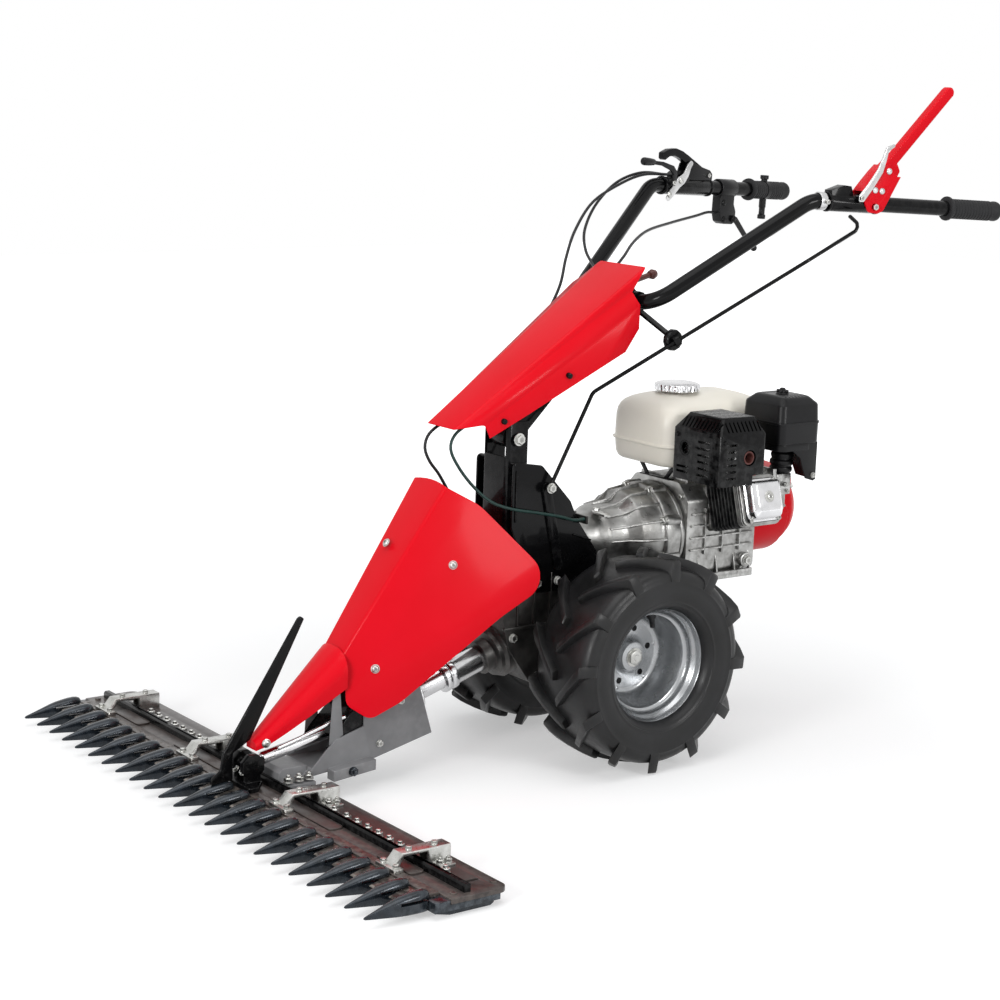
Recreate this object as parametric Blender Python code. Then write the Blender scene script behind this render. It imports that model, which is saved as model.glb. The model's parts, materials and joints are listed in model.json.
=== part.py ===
"""Walking tractor with a front finger-bar mower.

+X is the machine's left, -Y is forward and +Z is up. Everything is modelled with y = 0 at the wheel
axle and z = 0 on the ground, and the whole machine is then set so that its box is centred on the
origin. A piece that moves hangs from an empty on its joint's axis.
"""
import math

import bmesh
import bpy
from mathutils import Matrix, Vector

# Fits
GAP = 0.0003
RUNNING_GAP = 0.0005
SHEET = 0.0015

# Cutter bar: every height is built up from the ground
PITCH = 0.0508
GUARD_COUNT = 23
STROKE = 0.0508
SOLE_THICKNESS = 0.0104
GUARD_BASE_THICKNESS = 0.0090
BEAM_THICKNESS = 0.0080
BEAM_END = 0.0262
BEAM_FRONT = -0.688
BEAM_WIDTH = 0.103
GUARD_TIP_Y = -0.820
GUARD_ROOT_Y = -0.712
GUARD_HALF_WIDTH = 0.0115
KNIFE_BACK_WIDTH = 0.0205
KNIFE_BACK_THICKNESS = 0.0052
SECTION_THICKNESS = 0.0030
SECTION_LENGTH = 0.047
SECTION_BASE = 0.046
SECTION_TIP = 0.012
SLOT_DEPTH = 0.051
SLOT_HEIGHT = 0.0047
LIP_HEIGHT = 0.0118
LEDGE_HEIGHT = 0.0065

# Knife drive
HEAD_Z = 0.066
HEAD_Y = -0.685
CHEEK_RADIUS = 0.0215
CHEEK_THICKNESS = 0.0115
BALL_RADIUS = 0.0100
ARM_RADIUS = 0.0110
ARM_LENGTH = 0.180
ARM_SLOPE = 0.196

# Drive frame and the tube that couples the mower to the tractor
FRAME_HALF_WIDTH = 0.042
FRAME_WALL = 0.004
COUPLING_SLOPE = math.radians(17.6)
COUPLING_AT = (-0.248, 0.176)
COUPLING_LENGTH = 0.148
COUPLING_RADIUS = 0.024
SPIGOT_RADIUS = 0.016
SPIGOT_LENGTH = 0.030

# Wheels
TYRE_RADIUS = 0.190
LUG_HEIGHT = 0.014
LUGS_PER_SIDE = 12
LUG_SKEW = math.radians(22.5)
LUG_SHARE = 0.16
WHEEL_X = 0.162
TYRE_HALF_WIDTH = 0.075
RIM_RADIUS = 0.103
RIM_HALF_WIDTH = 0.0685
RIM_WALL = 0.0035
RIM_LIP = 0.0115
RIM_STEPS = 18
WELL_RADIUS = 0.0860
WELL = (-0.045, 0.026)
DISC_BACK = 0.040
HUB_FACE = -0.0100
AXLE_TUBE_RADIUS = 0.031

# Tractor
CASE_HALF_WIDTH = 0.050
CASE_TOP = 0.3447
TOWER_REAR = -0.0455
CRANK_Z = 0.400
BELL_Z = 0.375
BELL_REAR_Y = 0.150
BELL_RADIUS = 0.095
COLUMN_HALF_WIDTH = 0.034
COLUMN_WALL = 0.004
HINGE_Y = -0.184
HINGE_Z = 0.571

# Handlebars
TUBE_RADIUS = 0.0135
GRIP_RADIUS = 0.0178
GRIP_LENGTH = 0.118
HANDLE_END = (0.279, 0.704, 0.964)
HANDLE_BEND = (0.215, 0.300, 0.983)
HANDLE_LOW_X = 0.105
CLAMP_REACH = 0.325
ARM_HALF = 0.018

# Engine
CYLINDER_LEAN = math.radians(16)
CYLINDER_Y = 0.255
FIN_COUNT = 7
TANK_X = (-0.100, 0.070)
TANK_Y = (0.125, 0.380)
TANK_Z = (0.497, 0.623)
TANK_SEAM_Z = 0.536
CAP_RADIUS = 0.042

# Derived sizes
GUARD_BASE_BOTTOM = SOLE_THICKNESS + GAP
GUARD_BASE_TOP = GUARD_BASE_BOTTOM + GUARD_BASE_THICKNESS
BEAM_BOTTOM = GUARD_BASE_TOP + GAP
BEAM_TOP = BEAM_BOTTOM + BEAM_THICKNESS
BEAM_REAR = BEAM_FRONT + BEAM_WIDTH
LEDGE_TOP = GUARD_BASE_TOP + LEDGE_HEIGHT
KNIFE_BOTTOM = LEDGE_TOP + GAP
KNIFE_TOP = KNIFE_BOTTOM + KNIFE_BACK_THICKNESS
KNIFE_REAR = BEAM_FRONT - 0.002
KNIFE_FRONT = KNIFE_REAR - KNIFE_BACK_WIDTH
SLOT_TOP = LEDGE_TOP + SLOT_HEIGHT
SLOT_FRONT = GUARD_ROOT_Y - SLOT_DEPTH
LIP_TOP = SLOT_TOP + LIP_HEIGHT
AXLE_Z = TYRE_RADIUS
HANDLE_DIRECTION = (Vector(HANDLE_END) - Vector(HANDLE_BEND)).normalized()
AXLE_Y = -(GUARD_TIP_Y + HANDLE_END[1]) / 2
BORE_STEPS = 12
TUBE_BORE = (TUBE_RADIUS + GAP) / math.cos(math.pi / BORE_STEPS)

COLOURS = {
    "red": ((0.72, 0.01, 0.02), 0.35, 0.0),
    "black": ((0.012, 0.012, 0.013), 0.40, 0.0),
    "rubber": ((0.018, 0.018, 0.019), 0.75, 0.0),
    "bar_brown": ((0.055, 0.030, 0.026), 0.35, 0.8),
    "guard_blue": ((0.030, 0.045, 0.062), 0.35, 0.8),
    "zinc": ((0.62, 0.62, 0.60), 0.30, 1.0),
    "grey": ((0.16, 0.16, 0.165), 0.45, 0.2),
    "aluminium": ((0.50, 0.50, 0.50), 0.38, 1.0),
    "bright": ((0.75, 0.75, 0.76), 0.22, 1.0),
    "silver": ((0.58, 0.59, 0.60), 0.35, 0.9),
    "cream": ((0.74, 0.68, 0.58), 0.35, 0.0),
    "brown": ((0.10, 0.03, 0.025), 0.40, 0.0),
    "green": ((0.02, 0.06, 0.05), 0.40, 0.0),
}

for old in list(bpy.data.objects):
    bpy.data.objects.remove(old, do_unlink=True)

PLACES = {}


# Tools
def holder(name, at, parent=None, turn=None):
    """An empty at a place of the machine; it carries the pieces that turn or slide about it."""
    matrix = Matrix.Translation(at)
    if turn is not None:
        matrix = matrix @ turn.to_4x4()
    empty = bpy.data.objects.new(name, None)
    empty.empty_display_size = 0.03
    bpy.context.scene.collection.objects.link(empty)
    PLACES[empty.name] = matrix
    if parent is not None:
        empty.parent = parent
        matrix = PLACES[parent.name].inverted() @ matrix
    empty.matrix_local = matrix
    return empty


def material(name):
    """The Principled material of one finish."""
    if name in bpy.data.materials:
        return bpy.data.materials[name]
    colour, roughness, metallic = COLOURS[name]
    made = bpy.data.materials.new(name)
    made.use_nodes = True
    shader = made.node_tree.nodes["Principled BSDF"]
    shader.inputs["Base Color"].default_value = (*colour, 1.0)
    shader.inputs["Roughness"].default_value = roughness
    shader.inputs["Metallic"].default_value = metallic
    made.diffuse_color = (*colour, 1.0)
    return made


def solid(name, shape, finish, on, local=False, smooth=30):
    """An object from a bmesh given in machine coordinates, or in its holder's own."""
    bmesh.ops.recalc_face_normals(shape, faces=shape.faces)
    mesh = bpy.data.meshes.new(name)
    shape.to_mesh(mesh)
    shape.free()
    if not local:
        mesh.transform(PLACES[on.name].inverted())
    if smooth:
        mesh.shade_smooth()
        mesh.set_sharp_from_angle(angle=math.radians(smooth))
    made = bpy.data.objects.new(name, mesh)
    bpy.context.scene.collection.objects.link(made)
    made.parent = on
    if finish:
        mesh.materials.append(material(finish))
    return made


def tool(shape, on, local=False):
    """A hidden solid that a Boolean reads."""
    made = solid("tool", shape, None, on, local, smooth=0)
    made.hide_render = True
    made.display_type = "WIRE"
    return made


def combine(target, how, *shapes, local=False):
    """Join shapes to an object, or cut them out of it."""
    for shape in shapes:
        step = target.modifiers.new(how.lower(), "BOOLEAN")
        step.operation = how
        step.solver = "EXACT"
        step.object = tool(shape, target.parent, local)
    return target


def bevel(target, width, segments=1, angle=30):
    """Break the edges that are sharper than an angle."""
    step = target.modifiers.new("bevel", "BEVEL")
    step.width = width
    step.segments = segments
    step.limit_method = "ANGLE"
    step.angle_limit = math.radians(angle)
    return target


def extruded(outline, across, low, high):
    """A closed outline swept along X, Y or Z. Its points are (y, z), (x, z) or (x, y)."""
    order = {"X": lambda u, v, w: (w, u, v), "Y": lambda u, v, w: (u, w, v), "Z": lambda u, v, w: (u, v, w)}
    place = order[across]
    shape = bmesh.new()
    first = [shape.verts.new(place(u, v, low)) for u, v in outline]
    last = [shape.verts.new(place(u, v, high)) for u, v in outline]
    shape.faces.new(first)
    shape.faces.new(last)
    for i in range(len(outline)):
        j = (i + 1) % len(outline)
        shape.faces.new((first[i], first[j], last[j], last[i]))
    return shape


def block(x, y, z):
    """A box between the given limits."""
    return extruded([(x[0], y[0]), (x[1], y[0]), (x[1], y[1]), (x[0], y[1])], "Z", z[0], z[1])


def lofted(rings):
    """Rings with equal counts of points, joined in turn and closed at both ends."""
    shape = bmesh.new()
    loops = [[shape.verts.new(point) for point in ring] for ring in rings]
    count = len(loops[0])
    for low, high in zip(loops, loops[1:]):
        for i in range(count):
            j = (i + 1) % count
            shape.faces.new((low[i], low[j], high[j], high[i]))
    shape.faces.new(loops[0])
    shape.faces.new(loops[-1])
    return shape


def axis_frame(direction):
    """Two unit vectors square to a direction."""
    along = Vector(direction).normalized()
    side = along.cross(Vector((0, 0, 1))) if abs(along.z) < 0.95 else Vector((1, 0, 0))
    side.normalize()
    return along, side, side.cross(along)


def turned(profile, at, direction, steps=24, phase=0.0):
    """A profile of (radius, distance) points turned about an axis; radius 0 closes an end."""
    along, side, up = axis_frame(direction)
    shape = bmesh.new()
    rows = []
    for radius, distance in profile:
        centre = Vector(at) + along * distance
        if radius < 1e-6:
            rows.append([shape.verts.new(centre)])
            continue
        angles = [2 * math.pi * (i + phase) / steps for i in range(steps)]
        rows.append([shape.verts.new(centre + (side * math.cos(a) + up * math.sin(a)) * radius)
                     for a in angles])
    closed = len(rows[0]) > 1 and len(rows[-1]) > 1
    pairs = list(zip(rows, rows[1:]))
    if closed:
        pairs.append((rows[-1], rows[0]))
    for low, high in pairs:
        for i in range(steps):
            j = (i + 1) % steps
            if len(low) == 1:
                shape.faces.new((low[0], high[i], high[j]))
            elif len(high) == 1:
                shape.faces.new((low[i], low[j], high[0]))
            else:
                shape.faces.new((low[i], low[j], high[j], high[i]))
    return shape


def rod(radius, start, end, steps=16):
    """A plain round bar between two points."""
    start = Vector(start)
    length = (Vector(end) - start).length
    return turned([(0, 0), (radius, 0), (radius, length), (0, length)], start, Vector(end) - start, steps)


def rounded(outline, radius, steps=3):
    """An outline with its corners rounded; the radius may be one number or one per corner."""
    count = len(outline)
    radii = radius if isinstance(radius, (list, tuple)) else [radius] * count
    points = []
    for i, size in enumerate(radii):
        here = Vector(outline[i])
        before = Vector(outline[i - 1]) - here
        after = Vector(outline[(i + 1) % count]) - here
        if size <= 0:
            points.append(tuple(here))
            continue
        half = before.angle(after) / 2
        reach = min(size / math.tan(half), 0.45 * before.length, 0.45 * after.length)
        real = reach * math.tan(half)
        centre = here + (before.normalized() + after.normalized()).normalized() * (real / math.sin(half))
        start = here + before.normalized() * reach - centre
        end = here + after.normalized() * reach - centre
        for k in range(steps + 1):
            t = k / steps
            mixed = (start * (1 - t) + end * t)
            points.append(tuple(centre + mixed.normalized() * real))
    return points


def moved(outline, u, v):
    """An outline shifted in its own plane."""
    return [(a + u, b + v) for a, b in outline]


def smooth_route(points, spacing):
    """Points read at an even spacing from a smooth curve through the given ones."""
    knots = [Vector(p) for p in points]
    knots = [knots[0] * 2 - knots[1]] + knots + [knots[-1] * 2 - knots[-2]]
    fine = []
    for a, b, c, d in zip(knots, knots[1:], knots[2:], knots[3:]):
        for k in range(24):
            t = k / 24
            fine.append(0.5 * (2 * b + (c - a) * t + (2 * a - 5 * b + 4 * c - d) * t * t
                               + (3 * b - a - 3 * c + d) * t ** 3))
    fine.append(knots[-2])
    lengths = [0.0]
    for a, b in zip(fine, fine[1:]):
        lengths.append(lengths[-1] + (b - a).length)
    count = max(2, round(lengths[-1] / spacing))
    route = []
    place = 0
    for k in range(count + 1):
        wanted = lengths[-1] * k / count
        while place < len(fine) - 2 and lengths[place + 1] < wanted:
            place += 1
        share = (wanted - lengths[place]) / (lengths[place + 1] - lengths[place])
        route.append(fine[place].lerp(fine[place + 1], share))
    return route


def bent_route(points, radius, steps):
    """Straight runs joined by arcs of one bend radius."""
    knots = [Vector(p) for p in points]
    route = [knots[0]]
    for before, here, after in zip(knots, knots[1:], knots[2:]):
        back = (before - here).normalized()
        on = (after - here).normalized()
        half = back.angle(on) / 2
        reach = min(radius / math.tan(half), 0.45 * (before - here).length, 0.45 * (after - here).length)
        real = reach * math.tan(half)
        centre = here + (back + on).normalized() * (real / math.sin(half))
        start = here + back * reach - centre
        end = here + on * reach - centre
        for k in range(steps + 1):
            t = k / steps
            route.append(centre + (start * (1 - t) + end * t).normalized() * real)
    route.append(knots[-1])
    return route


def tube(name, route, radius, finish, on, sides=2, local=False):
    """A round tube along a route, as a curve with a bevel and closed ends."""
    curve = bpy.data.curves.new(name, "CURVE")
    curve.dimensions = "3D"
    curve.bevel_depth = radius
    curve.bevel_resolution = sides
    curve.use_fill_caps = True
    curve.resolution_u = 1
    curve.render_resolution_u = 0
    spline = curve.splines.new("POLY")
    spline.points.add(len(route) - 1)
    back = Matrix.Identity(4) if local else PLACES[on.name].inverted()
    for point, place in zip(spline.points, route):
        point.co = (*(back @ Vector(place)), 1.0)
    curve.materials.append(material(finish))
    made = bpy.data.objects.new(name, curve)
    bpy.context.scene.collection.objects.link(made)
    made.parent = on
    return made


# Bodies: each empty stands on its joint's axis
coupling_along = Vector((0, math.cos(COUPLING_SLOPE), math.sin(COUPLING_SLOPE)))
coupling_end = Vector((0, *COUPLING_AT)) + coupling_along * 0.022
arm_pivot = Vector((0, HEAD_Y + ARM_LENGTH, HEAD_Z + ARM_LENGTH * ARM_SLOPE))

machine = holder("machine", (0, 0, 0))
machine.location = (0, AXLE_Y, 0)
mower = holder("mower", coupling_end, machine)
knife_slide = holder("knife_slide", (0, HEAD_Y, HEAD_Z), mower)
arm_swing = holder("arm_swing", arm_pivot, mower)
wheel_left = holder("wheel_left", (WHEEL_X, 0, AXLE_Z), machine)
wheel_right = holder("wheel_right", (-WHEEL_X, 0, AXLE_Z), machine)
handlebars = holder("handlebars", (0, HINGE_Y, HINGE_Z), machine)


def handle_turn(side):
    """Axes of a handle's straight run: Y along the tube, Z nearly up."""
    along = Vector((side * HANDLE_DIRECTION.x, HANDLE_DIRECTION.y, HANDLE_DIRECTION.z))
    across = along.cross(Vector((0, 0, 1))).normalized()
    up = across.cross(along)
    return Matrix((across, along, up)).transposed()


handle_left = holder("handle_left", HANDLE_BEND, handlebars, handle_turn(1))
handle_right = holder("handle_right", (-HANDLE_BEND[0], *HANDLE_BEND[1:]), handlebars, handle_turn(-1))
HANDLE_RUN = (Vector(HANDLE_END) - Vector(HANDLE_BEND)).length


def on_handle(base, x, y, z):
    """A place given in a handle's own axes, in machine coordinates."""
    return (PLACES[base.name] @ Matrix.Translation((x, y, z))).translation


# Cutter beam: plate, guide rail and wear plates
RAIL_Y = -0.657
RAIL_WIDTH = 0.011
RAIL_TOP = 0.040
WEAR_FRONT = BEAM_FRONT + 0.0015
WEAR_REAR = RAIL_Y - 0.0015
WEAR_THICKNESS = 0.0035
CLIP_PITCHES = (-9.45, -3.45, 2.60, 8.70)
CLIP_X = [PITCH * share for share in CLIP_PITCHES]
SLOT_IN = 0.049

half = PITCH * (GUARD_COUNT - 1) / 2 + BEAM_END
plate = rounded([(-half, BEAM_FRONT), (half, BEAM_FRONT), (half, BEAM_REAR), (-half, BEAM_REAR)],
                [0, 0, 0.016, 0.016])
beam = solid("cutter_beam", extruded(plate, "Z", BEAM_BOTTOM, BEAM_TOP), "bar_brown", mower)
rail = [(RAIL_Y, BEAM_TOP - 0.002), (RAIL_Y, RAIL_TOP - 0.003), (RAIL_Y + 0.003, RAIL_TOP),
        (RAIL_Y + RAIL_WIDTH, RAIL_TOP), (RAIL_Y + RAIL_WIDTH, BEAM_TOP - 0.002)]
combine(beam, "UNION", extruded(rail, "X", -half + 0.012, half - 0.012))
for side in (-1, 1):
    for centre, reach in ((0.5 * (CLIP_X[2] + CLIP_X[3]) - 0.141, 0.083), (CLIP_X[3] - 0.026, 0.048)):
        ends = sorted((side * (centre - reach), side * (centre + reach)))
        pad = rounded([(ends[0], WEAR_FRONT), (ends[1], WEAR_FRONT), (ends[1], WEAR_REAR),
                       (ends[0], WEAR_REAR)],
                      0.009, 2)
        combine(beam, "UNION", extruded(pad, "Z", BEAM_TOP - 0.002, BEAM_TOP + WEAR_THICKNESS))
    middle = side * (half - SLOT_IN)
    slot = rounded([(middle - 0.004, -0.632), (middle + 0.004, -0.632), (middle + 0.004, -0.606),
                    (middle - 0.004, -0.606)], 0.0038, 1)
    combine(beam, "DIFFERENCE", extruded(slot, "Z", BEAM_BOTTOM - 0.002, BEAM_TOP + 0.002))

# Finger bar: one strip under the beam with a pointed, slotted guard at every pitch
BASE_HALF = PITCH * (GUARD_COUNT - 1) / 2 + GUARD_HALF_WIDTH + 0.006
BASE_FRONT = GUARD_ROOT_Y - 0.003
BASE_REAR = BEAM_REAR - 0.015
LEDGE_REAR = BEAM_FRONT - RUNNING_GAP
strip = [(BASE_REAR, GUARD_BASE_BOTTOM), (BASE_REAR, GUARD_BASE_TOP), (LEDGE_REAR, GUARD_BASE_TOP),
         (LEDGE_REAR, LEDGE_TOP + 0.001), (BASE_FRONT, LEDGE_TOP + 0.001), (BASE_FRONT, GUARD_BASE_BOTTOM)]
guards = solid("finger_bar", extruded(strip, "X", -BASE_HALF, BASE_HALF), "guard_blue", mower)


def guard_section(x, y, half_width, bottom, shoulder, ridge):
    """The five-sided section of a guard."""
    return [(x - half_width, y, bottom), (x + half_width, y, bottom), (x + half_width, y, shoulder),
            (x, y, ridge), (x - half_width, y, shoulder)]


GUARD_NECK_Y = SLOT_FRONT - 0.004
TIP_Z = 0.017
TIP_HALF = 0.0016


def guard(x):
    """One guard: deep at its root, then drawn out to a point."""
    return lofted([
        guard_section(x, GUARD_ROOT_Y, GUARD_HALF_WIDTH, GUARD_BASE_BOTTOM, LIP_TOP - 0.007, LIP_TOP),
        guard_section(x, GUARD_NECK_Y, GUARD_HALF_WIDTH * 0.80, GUARD_BASE_BOTTOM + 0.001, LIP_TOP - 0.011,
                      LIP_TOP - 0.005),
        guard_section(x, GUARD_TIP_Y, TIP_HALF, TIP_Z - TIP_HALF, TIP_Z + TIP_HALF, TIP_Z + 2 * TIP_HALF)])


row = bmesh.new()
for i in range(GUARD_COUNT):
    one = guard((i - (GUARD_COUNT - 1) / 2) * PITCH)
    copy = bpy.data.meshes.new("guard")
    bmesh.ops.recalc_face_normals(one, faces=one.faces)
    one.to_mesh(copy)
    one.free()
    row.from_mesh(copy)
    bpy.data.meshes.remove(copy)
combine(guards, "UNION", row)
combine(guards, "DIFFERENCE", block((-BASE_HALF - 0.01, BASE_HALF + 0.01), (SLOT_FRONT, LEDGE_REAR + 0.004),
                                    (LEDGE_TOP, SLOT_TOP)))
for side in (-1, 1):
    ends = sorted((side * (BASE_HALF - 0.024), side * (BASE_HALF - 0.002)))
    sole = [(BASE_REAR - 0.004, GUARD_BASE_BOTTOM + 0.002), (BASE_REAR - 0.004, 0.004),
            (BASE_REAR - 0.010, 0.0),
            (GUARD_ROOT_Y + 0.030, 0.0), (GUARD_ROOT_Y + 0.004, 0.006),
            (GUARD_ROOT_Y, GUARD_BASE_BOTTOM + 0.002)]
    combine(guards, "UNION", extruded(sole, "X", ends[0], ends[1]))

# Knife: a back strip with a row of tapered sections, half a pitch off the guards at mid stroke
SECTION_COUNT = GUARD_COUNT - 1
TIP_Y = KNIFE_FRONT - SECTION_LENGTH
KNIFE_HALF = PITCH * SECTION_COUNT / 2
teeth = [(KNIFE_HALF, KNIFE_REAR), (-KNIFE_HALF, KNIFE_REAR), (-KNIFE_HALF, KNIFE_FRONT)]
for i in range(SECTION_COUNT):
    centre = (i - (SECTION_COUNT - 1) / 2) * PITCH
    teeth += [(centre - SECTION_BASE / 2, KNIFE_FRONT), (centre - SECTION_TIP / 2, TIP_Y),
              (centre + SECTION_TIP / 2, TIP_Y), (centre + SECTION_BASE / 2, KNIFE_FRONT)]
teeth.append((KNIFE_HALF, KNIFE_FRONT))
knife = solid("knife", extruded(teeth, "Z", KNIFE_BOTTOM, KNIFE_BOTTOM + SECTION_THICKNESS), "bar_brown",
              knife_slide)
combine(knife, "UNION", block((-KNIFE_HALF + 0.001, KNIFE_HALF - 0.001),
                              (KNIFE_FRONT + 0.0005, KNIFE_REAR - 0.0005),
                              (KNIFE_BOTTOM + 0.001, KNIFE_TOP)))

# Knife head: two eight-sided cheeks on a foot, with the arm's ball between them
FOOT_BOTTOM = KNIFE_TOP + GAP
FOOT_TOP = FOOT_BOTTOM + 0.008
FOOT_HALF = 0.048
FOOT_FRONT = KNIFE_FRONT + 0.002
FOOT_REAR = HEAD_Y + CHEEK_RADIUS
CHEEK_IN = BALL_RADIUS + RUNNING_GAP
foot = rounded([(-FOOT_HALF, FOOT_FRONT), (FOOT_HALF, FOOT_FRONT), (FOOT_HALF, KNIFE_REAR - 0.001),
                (CHEEK_IN + CHEEK_THICKNESS, FOOT_REAR - 0.006),
                (-CHEEK_IN - CHEEK_THICKNESS, FOOT_REAR - 0.006),
                (-FOOT_HALF, KNIFE_REAR - 0.001)], 0.003, 1)
head = solid("knife_head", extruded(foot, "Z", FOOT_BOTTOM, FOOT_TOP), "black", knife_slide)
cheek = [(HEAD_Y + CHEEK_RADIUS * math.cos(math.pi * (k + 0.5) / 4), HEAD_Z + CHEEK_RADIUS
          * math.sin(math.pi * (k + 0.5) / 4)) for k in range(8)]
neck = [(HEAD_Y - 0.013, FOOT_TOP - 0.003), (HEAD_Y + 0.013, FOOT_TOP - 0.003), (HEAD_Y + 0.013, HEAD_Z),
        (HEAD_Y - 0.013, HEAD_Z)]
for side in (-1, 1):
    ends = sorted((side * CHEEK_IN, side * (CHEEK_IN + CHEEK_THICKNESS)))
    combine(head, "UNION", extruded(neck, "X", ends[0], ends[1]))
    combine(head, "UNION", extruded(cheek, "X", ends[0], ends[1]))

# Drive arm: a bright tube that swings about an upright pivot and ends in the ball
arm_direction = Vector((0, 1, ARM_SLOPE))
reach = (arm_pivot - Vector((0, HEAD_Y, HEAD_Z))).length
ball = [(0, -BALL_RADIUS)]
ball += [(BALL_RADIUS * math.sin(math.radians(a)), -BALL_RADIUS * math.cos(math.radians(a)))
         for a in (30, 60, 90, 120, 143)]
ball += [(0.0060, 0.022), (ARM_RADIUS, 0.027), (ARM_RADIUS, reach), (0, reach)]
FLOOR_AT_PIVOT = 0.0530
arm = solid("drive_arm", turned(ball, (0, HEAD_Y, HEAD_Z), arm_direction, 14), "bright", arm_swing)
boss = [(0, 0), (0.015, 0), (0.015, 0.022), (0.019, 0.024), (0.019, arm_pivot.z + 0.015 - FLOOR_AT_PIVOT),
        (0, arm_pivot.z + 0.015 - FLOOR_AT_PIVOT)]
combine(arm, "UNION", turned(boss, (0, arm_pivot.y, FLOOR_AT_PIVOT), (0, 0, 1), 16))

# Hold-down clips: a T-shaped foot on the knife back and an arm bolted behind the rail
CLIP_FOOT_HALF = 0.0275
CLIP_ARM_HALF = 0.012
CLIP_THICKNESS = 0.005
CLIP_ARM_Z = 0.050
CLIP_REAR = -0.598
CLIP_BOTTOM = KNIFE_TOP + GAP
for number, x in enumerate(CLIP_X, 1):
    front = KNIFE_FRONT + 0.0025
    back = KNIFE_REAR - 0.001
    toe = rounded([(x - CLIP_FOOT_HALF, front), (x + CLIP_FOOT_HALF, front), (x + CLIP_FOOT_HALF, back),
                   (x - CLIP_FOOT_HALF, back)], 0.003, 1)
    clip = solid(f"knife_clip_{number}", extruded(toe, "Z", CLIP_BOTTOM, CLIP_BOTTOM + CLIP_THICKNESS),
                 "zinc", mower)
    spine = [(back - 0.010, CLIP_BOTTOM + 0.001), (back - 0.001, CLIP_BOTTOM + 0.001),
             (back + 0.010, CLIP_ARM_Z),
             (CLIP_REAR, CLIP_ARM_Z), (CLIP_REAR, CLIP_ARM_Z + CLIP_THICKNESS),
             (back + 0.006, CLIP_ARM_Z + CLIP_THICKNESS),
             (back - 0.008, CLIP_BOTTOM + CLIP_THICKNESS + 0.002)]
    combine(clip, "UNION", extruded(spine, "X", x - CLIP_ARM_HALF, x + CLIP_ARM_HALF))
    for side in (-1, 1):
        ends = sorted((x + side * (CLIP_ARM_HALF - 0.004), x + side * (CLIP_ARM_HALF + 0.0002)))
        combine(clip, "UNION", block(ends, (CLIP_REAR - 0.040, CLIP_REAR + 0.0002),
                                     (BEAM_TOP + GAP, CLIP_ARM_Z + 0.002)))
    outer = 1 if x > 0 else -1
    ends = sorted((x + outer * (CLIP_ARM_HALF - 0.001), x + outer * (CLIP_ARM_HALF + 0.022)))
    combine(clip, "UNION", block(ends, (CLIP_REAR - 0.034, CLIP_REAR - 0.006),
                                 (BEAM_TOP + GAP + 0.0001, BEAM_TOP + GAP + 0.004)))

# Crop stick: a flat bar bolted on the middle guard, bent clear of the knife head
STICK_THICKNESS = 0.006


def ridge_z(y):
    """Height of a guard's ridge behind its neck."""
    return LIP_TOP - 0.005 * (y - GUARD_ROOT_Y) / (GUARD_NECK_Y - GUARD_ROOT_Y)


stick_rear = GUARD_ROOT_Y - 0.0005
stick = [(stick_rear, ridge_z(stick_rear) + GAP), (GUARD_ROOT_Y - 0.040, ridge_z(GUARD_ROOT_Y - 0.040) + GAP),
         (GUARD_ROOT_Y - 0.040, 0.050), (GUARD_ROOT_Y - 0.024, 0.062), (GUARD_ROOT_Y - 0.019, 0.090),
         (-0.5945, 0.2990), (-0.5890, 0.3020), (-0.5820, 0.2970), (-0.6810, 0.1060), (stick_rear, 0.088)]
solid("crop_stick", extruded(stick, "X", -STICK_THICKNESS / 2, STICK_THICKNESS / 2), "black", mower)

# Drive frame: an open channel on the beam, with a back plate square to the coupling tube
FRAME_BACK = coupling_end - coupling_along * COUPLING_LENGTH
back_top_z = 0.166
back_low_z = 0.078


def back_y(z):
    """The back plate's outer face at a height."""
    return FRAME_BACK.y - (z - FRAME_BACK.z) * math.tan(COUPLING_SLOPE)


BASE_TOP = BEAM_TOP + GAP + 0.008
wall = [(back_y(back_top_z), back_top_z), (back_y(back_low_z), back_low_z), (-0.469, 0.050), (-0.600, 0.038),
        (-0.558, 0.080), (-0.542, 0.094), (-0.487, 0.110), (-0.487, 0.128), (-0.462, 0.166)]
frame = solid("drive_frame", extruded(wall, "X", -FRAME_HALF_WIDTH, FRAME_HALF_WIDTH), "grey", mower,
              smooth=20)
hollow = [(back_y(0.200) - 0.006, 0.200), (back_y(back_low_z) - 0.006, back_low_z + 0.004), (-0.469, 0.0560),
          (-0.484, FLOOR_AT_PIVOT - GAP), (-0.640, FLOOR_AT_PIVOT - GAP), (-0.640, 0.200)]
inner = FRAME_HALF_WIDTH - FRAME_WALL
combine(frame, "DIFFERENCE", extruded(hollow, "X", -inner, inner))
combine(frame, "UNION", block((-0.058, 0.058), (-0.645, -0.5885), (BEAM_TOP + GAP, BASE_TOP)))
lump = [(-0.643, BASE_TOP - 0.002), (-0.643, 0.050), (-0.636, 0.0565), (-0.590, 0.0565),
        (-0.590, BASE_TOP - 0.002)]
combine(frame, "UNION", extruded(lump, "X", -0.030, 0.030))
for side in (-1, 1):
    ends = sorted((side * (FRAME_HALF_WIDTH - 0.002), side * (FRAME_HALF_WIDTH + 0.0195)))
    tab = [(-0.474, 0.038), (-0.474, 0.056), (-0.556, 0.048), (-0.556, 0.030)]
    combine(frame, "UNION", extruded(tab, "X", ends[0], ends[1]))


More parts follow.
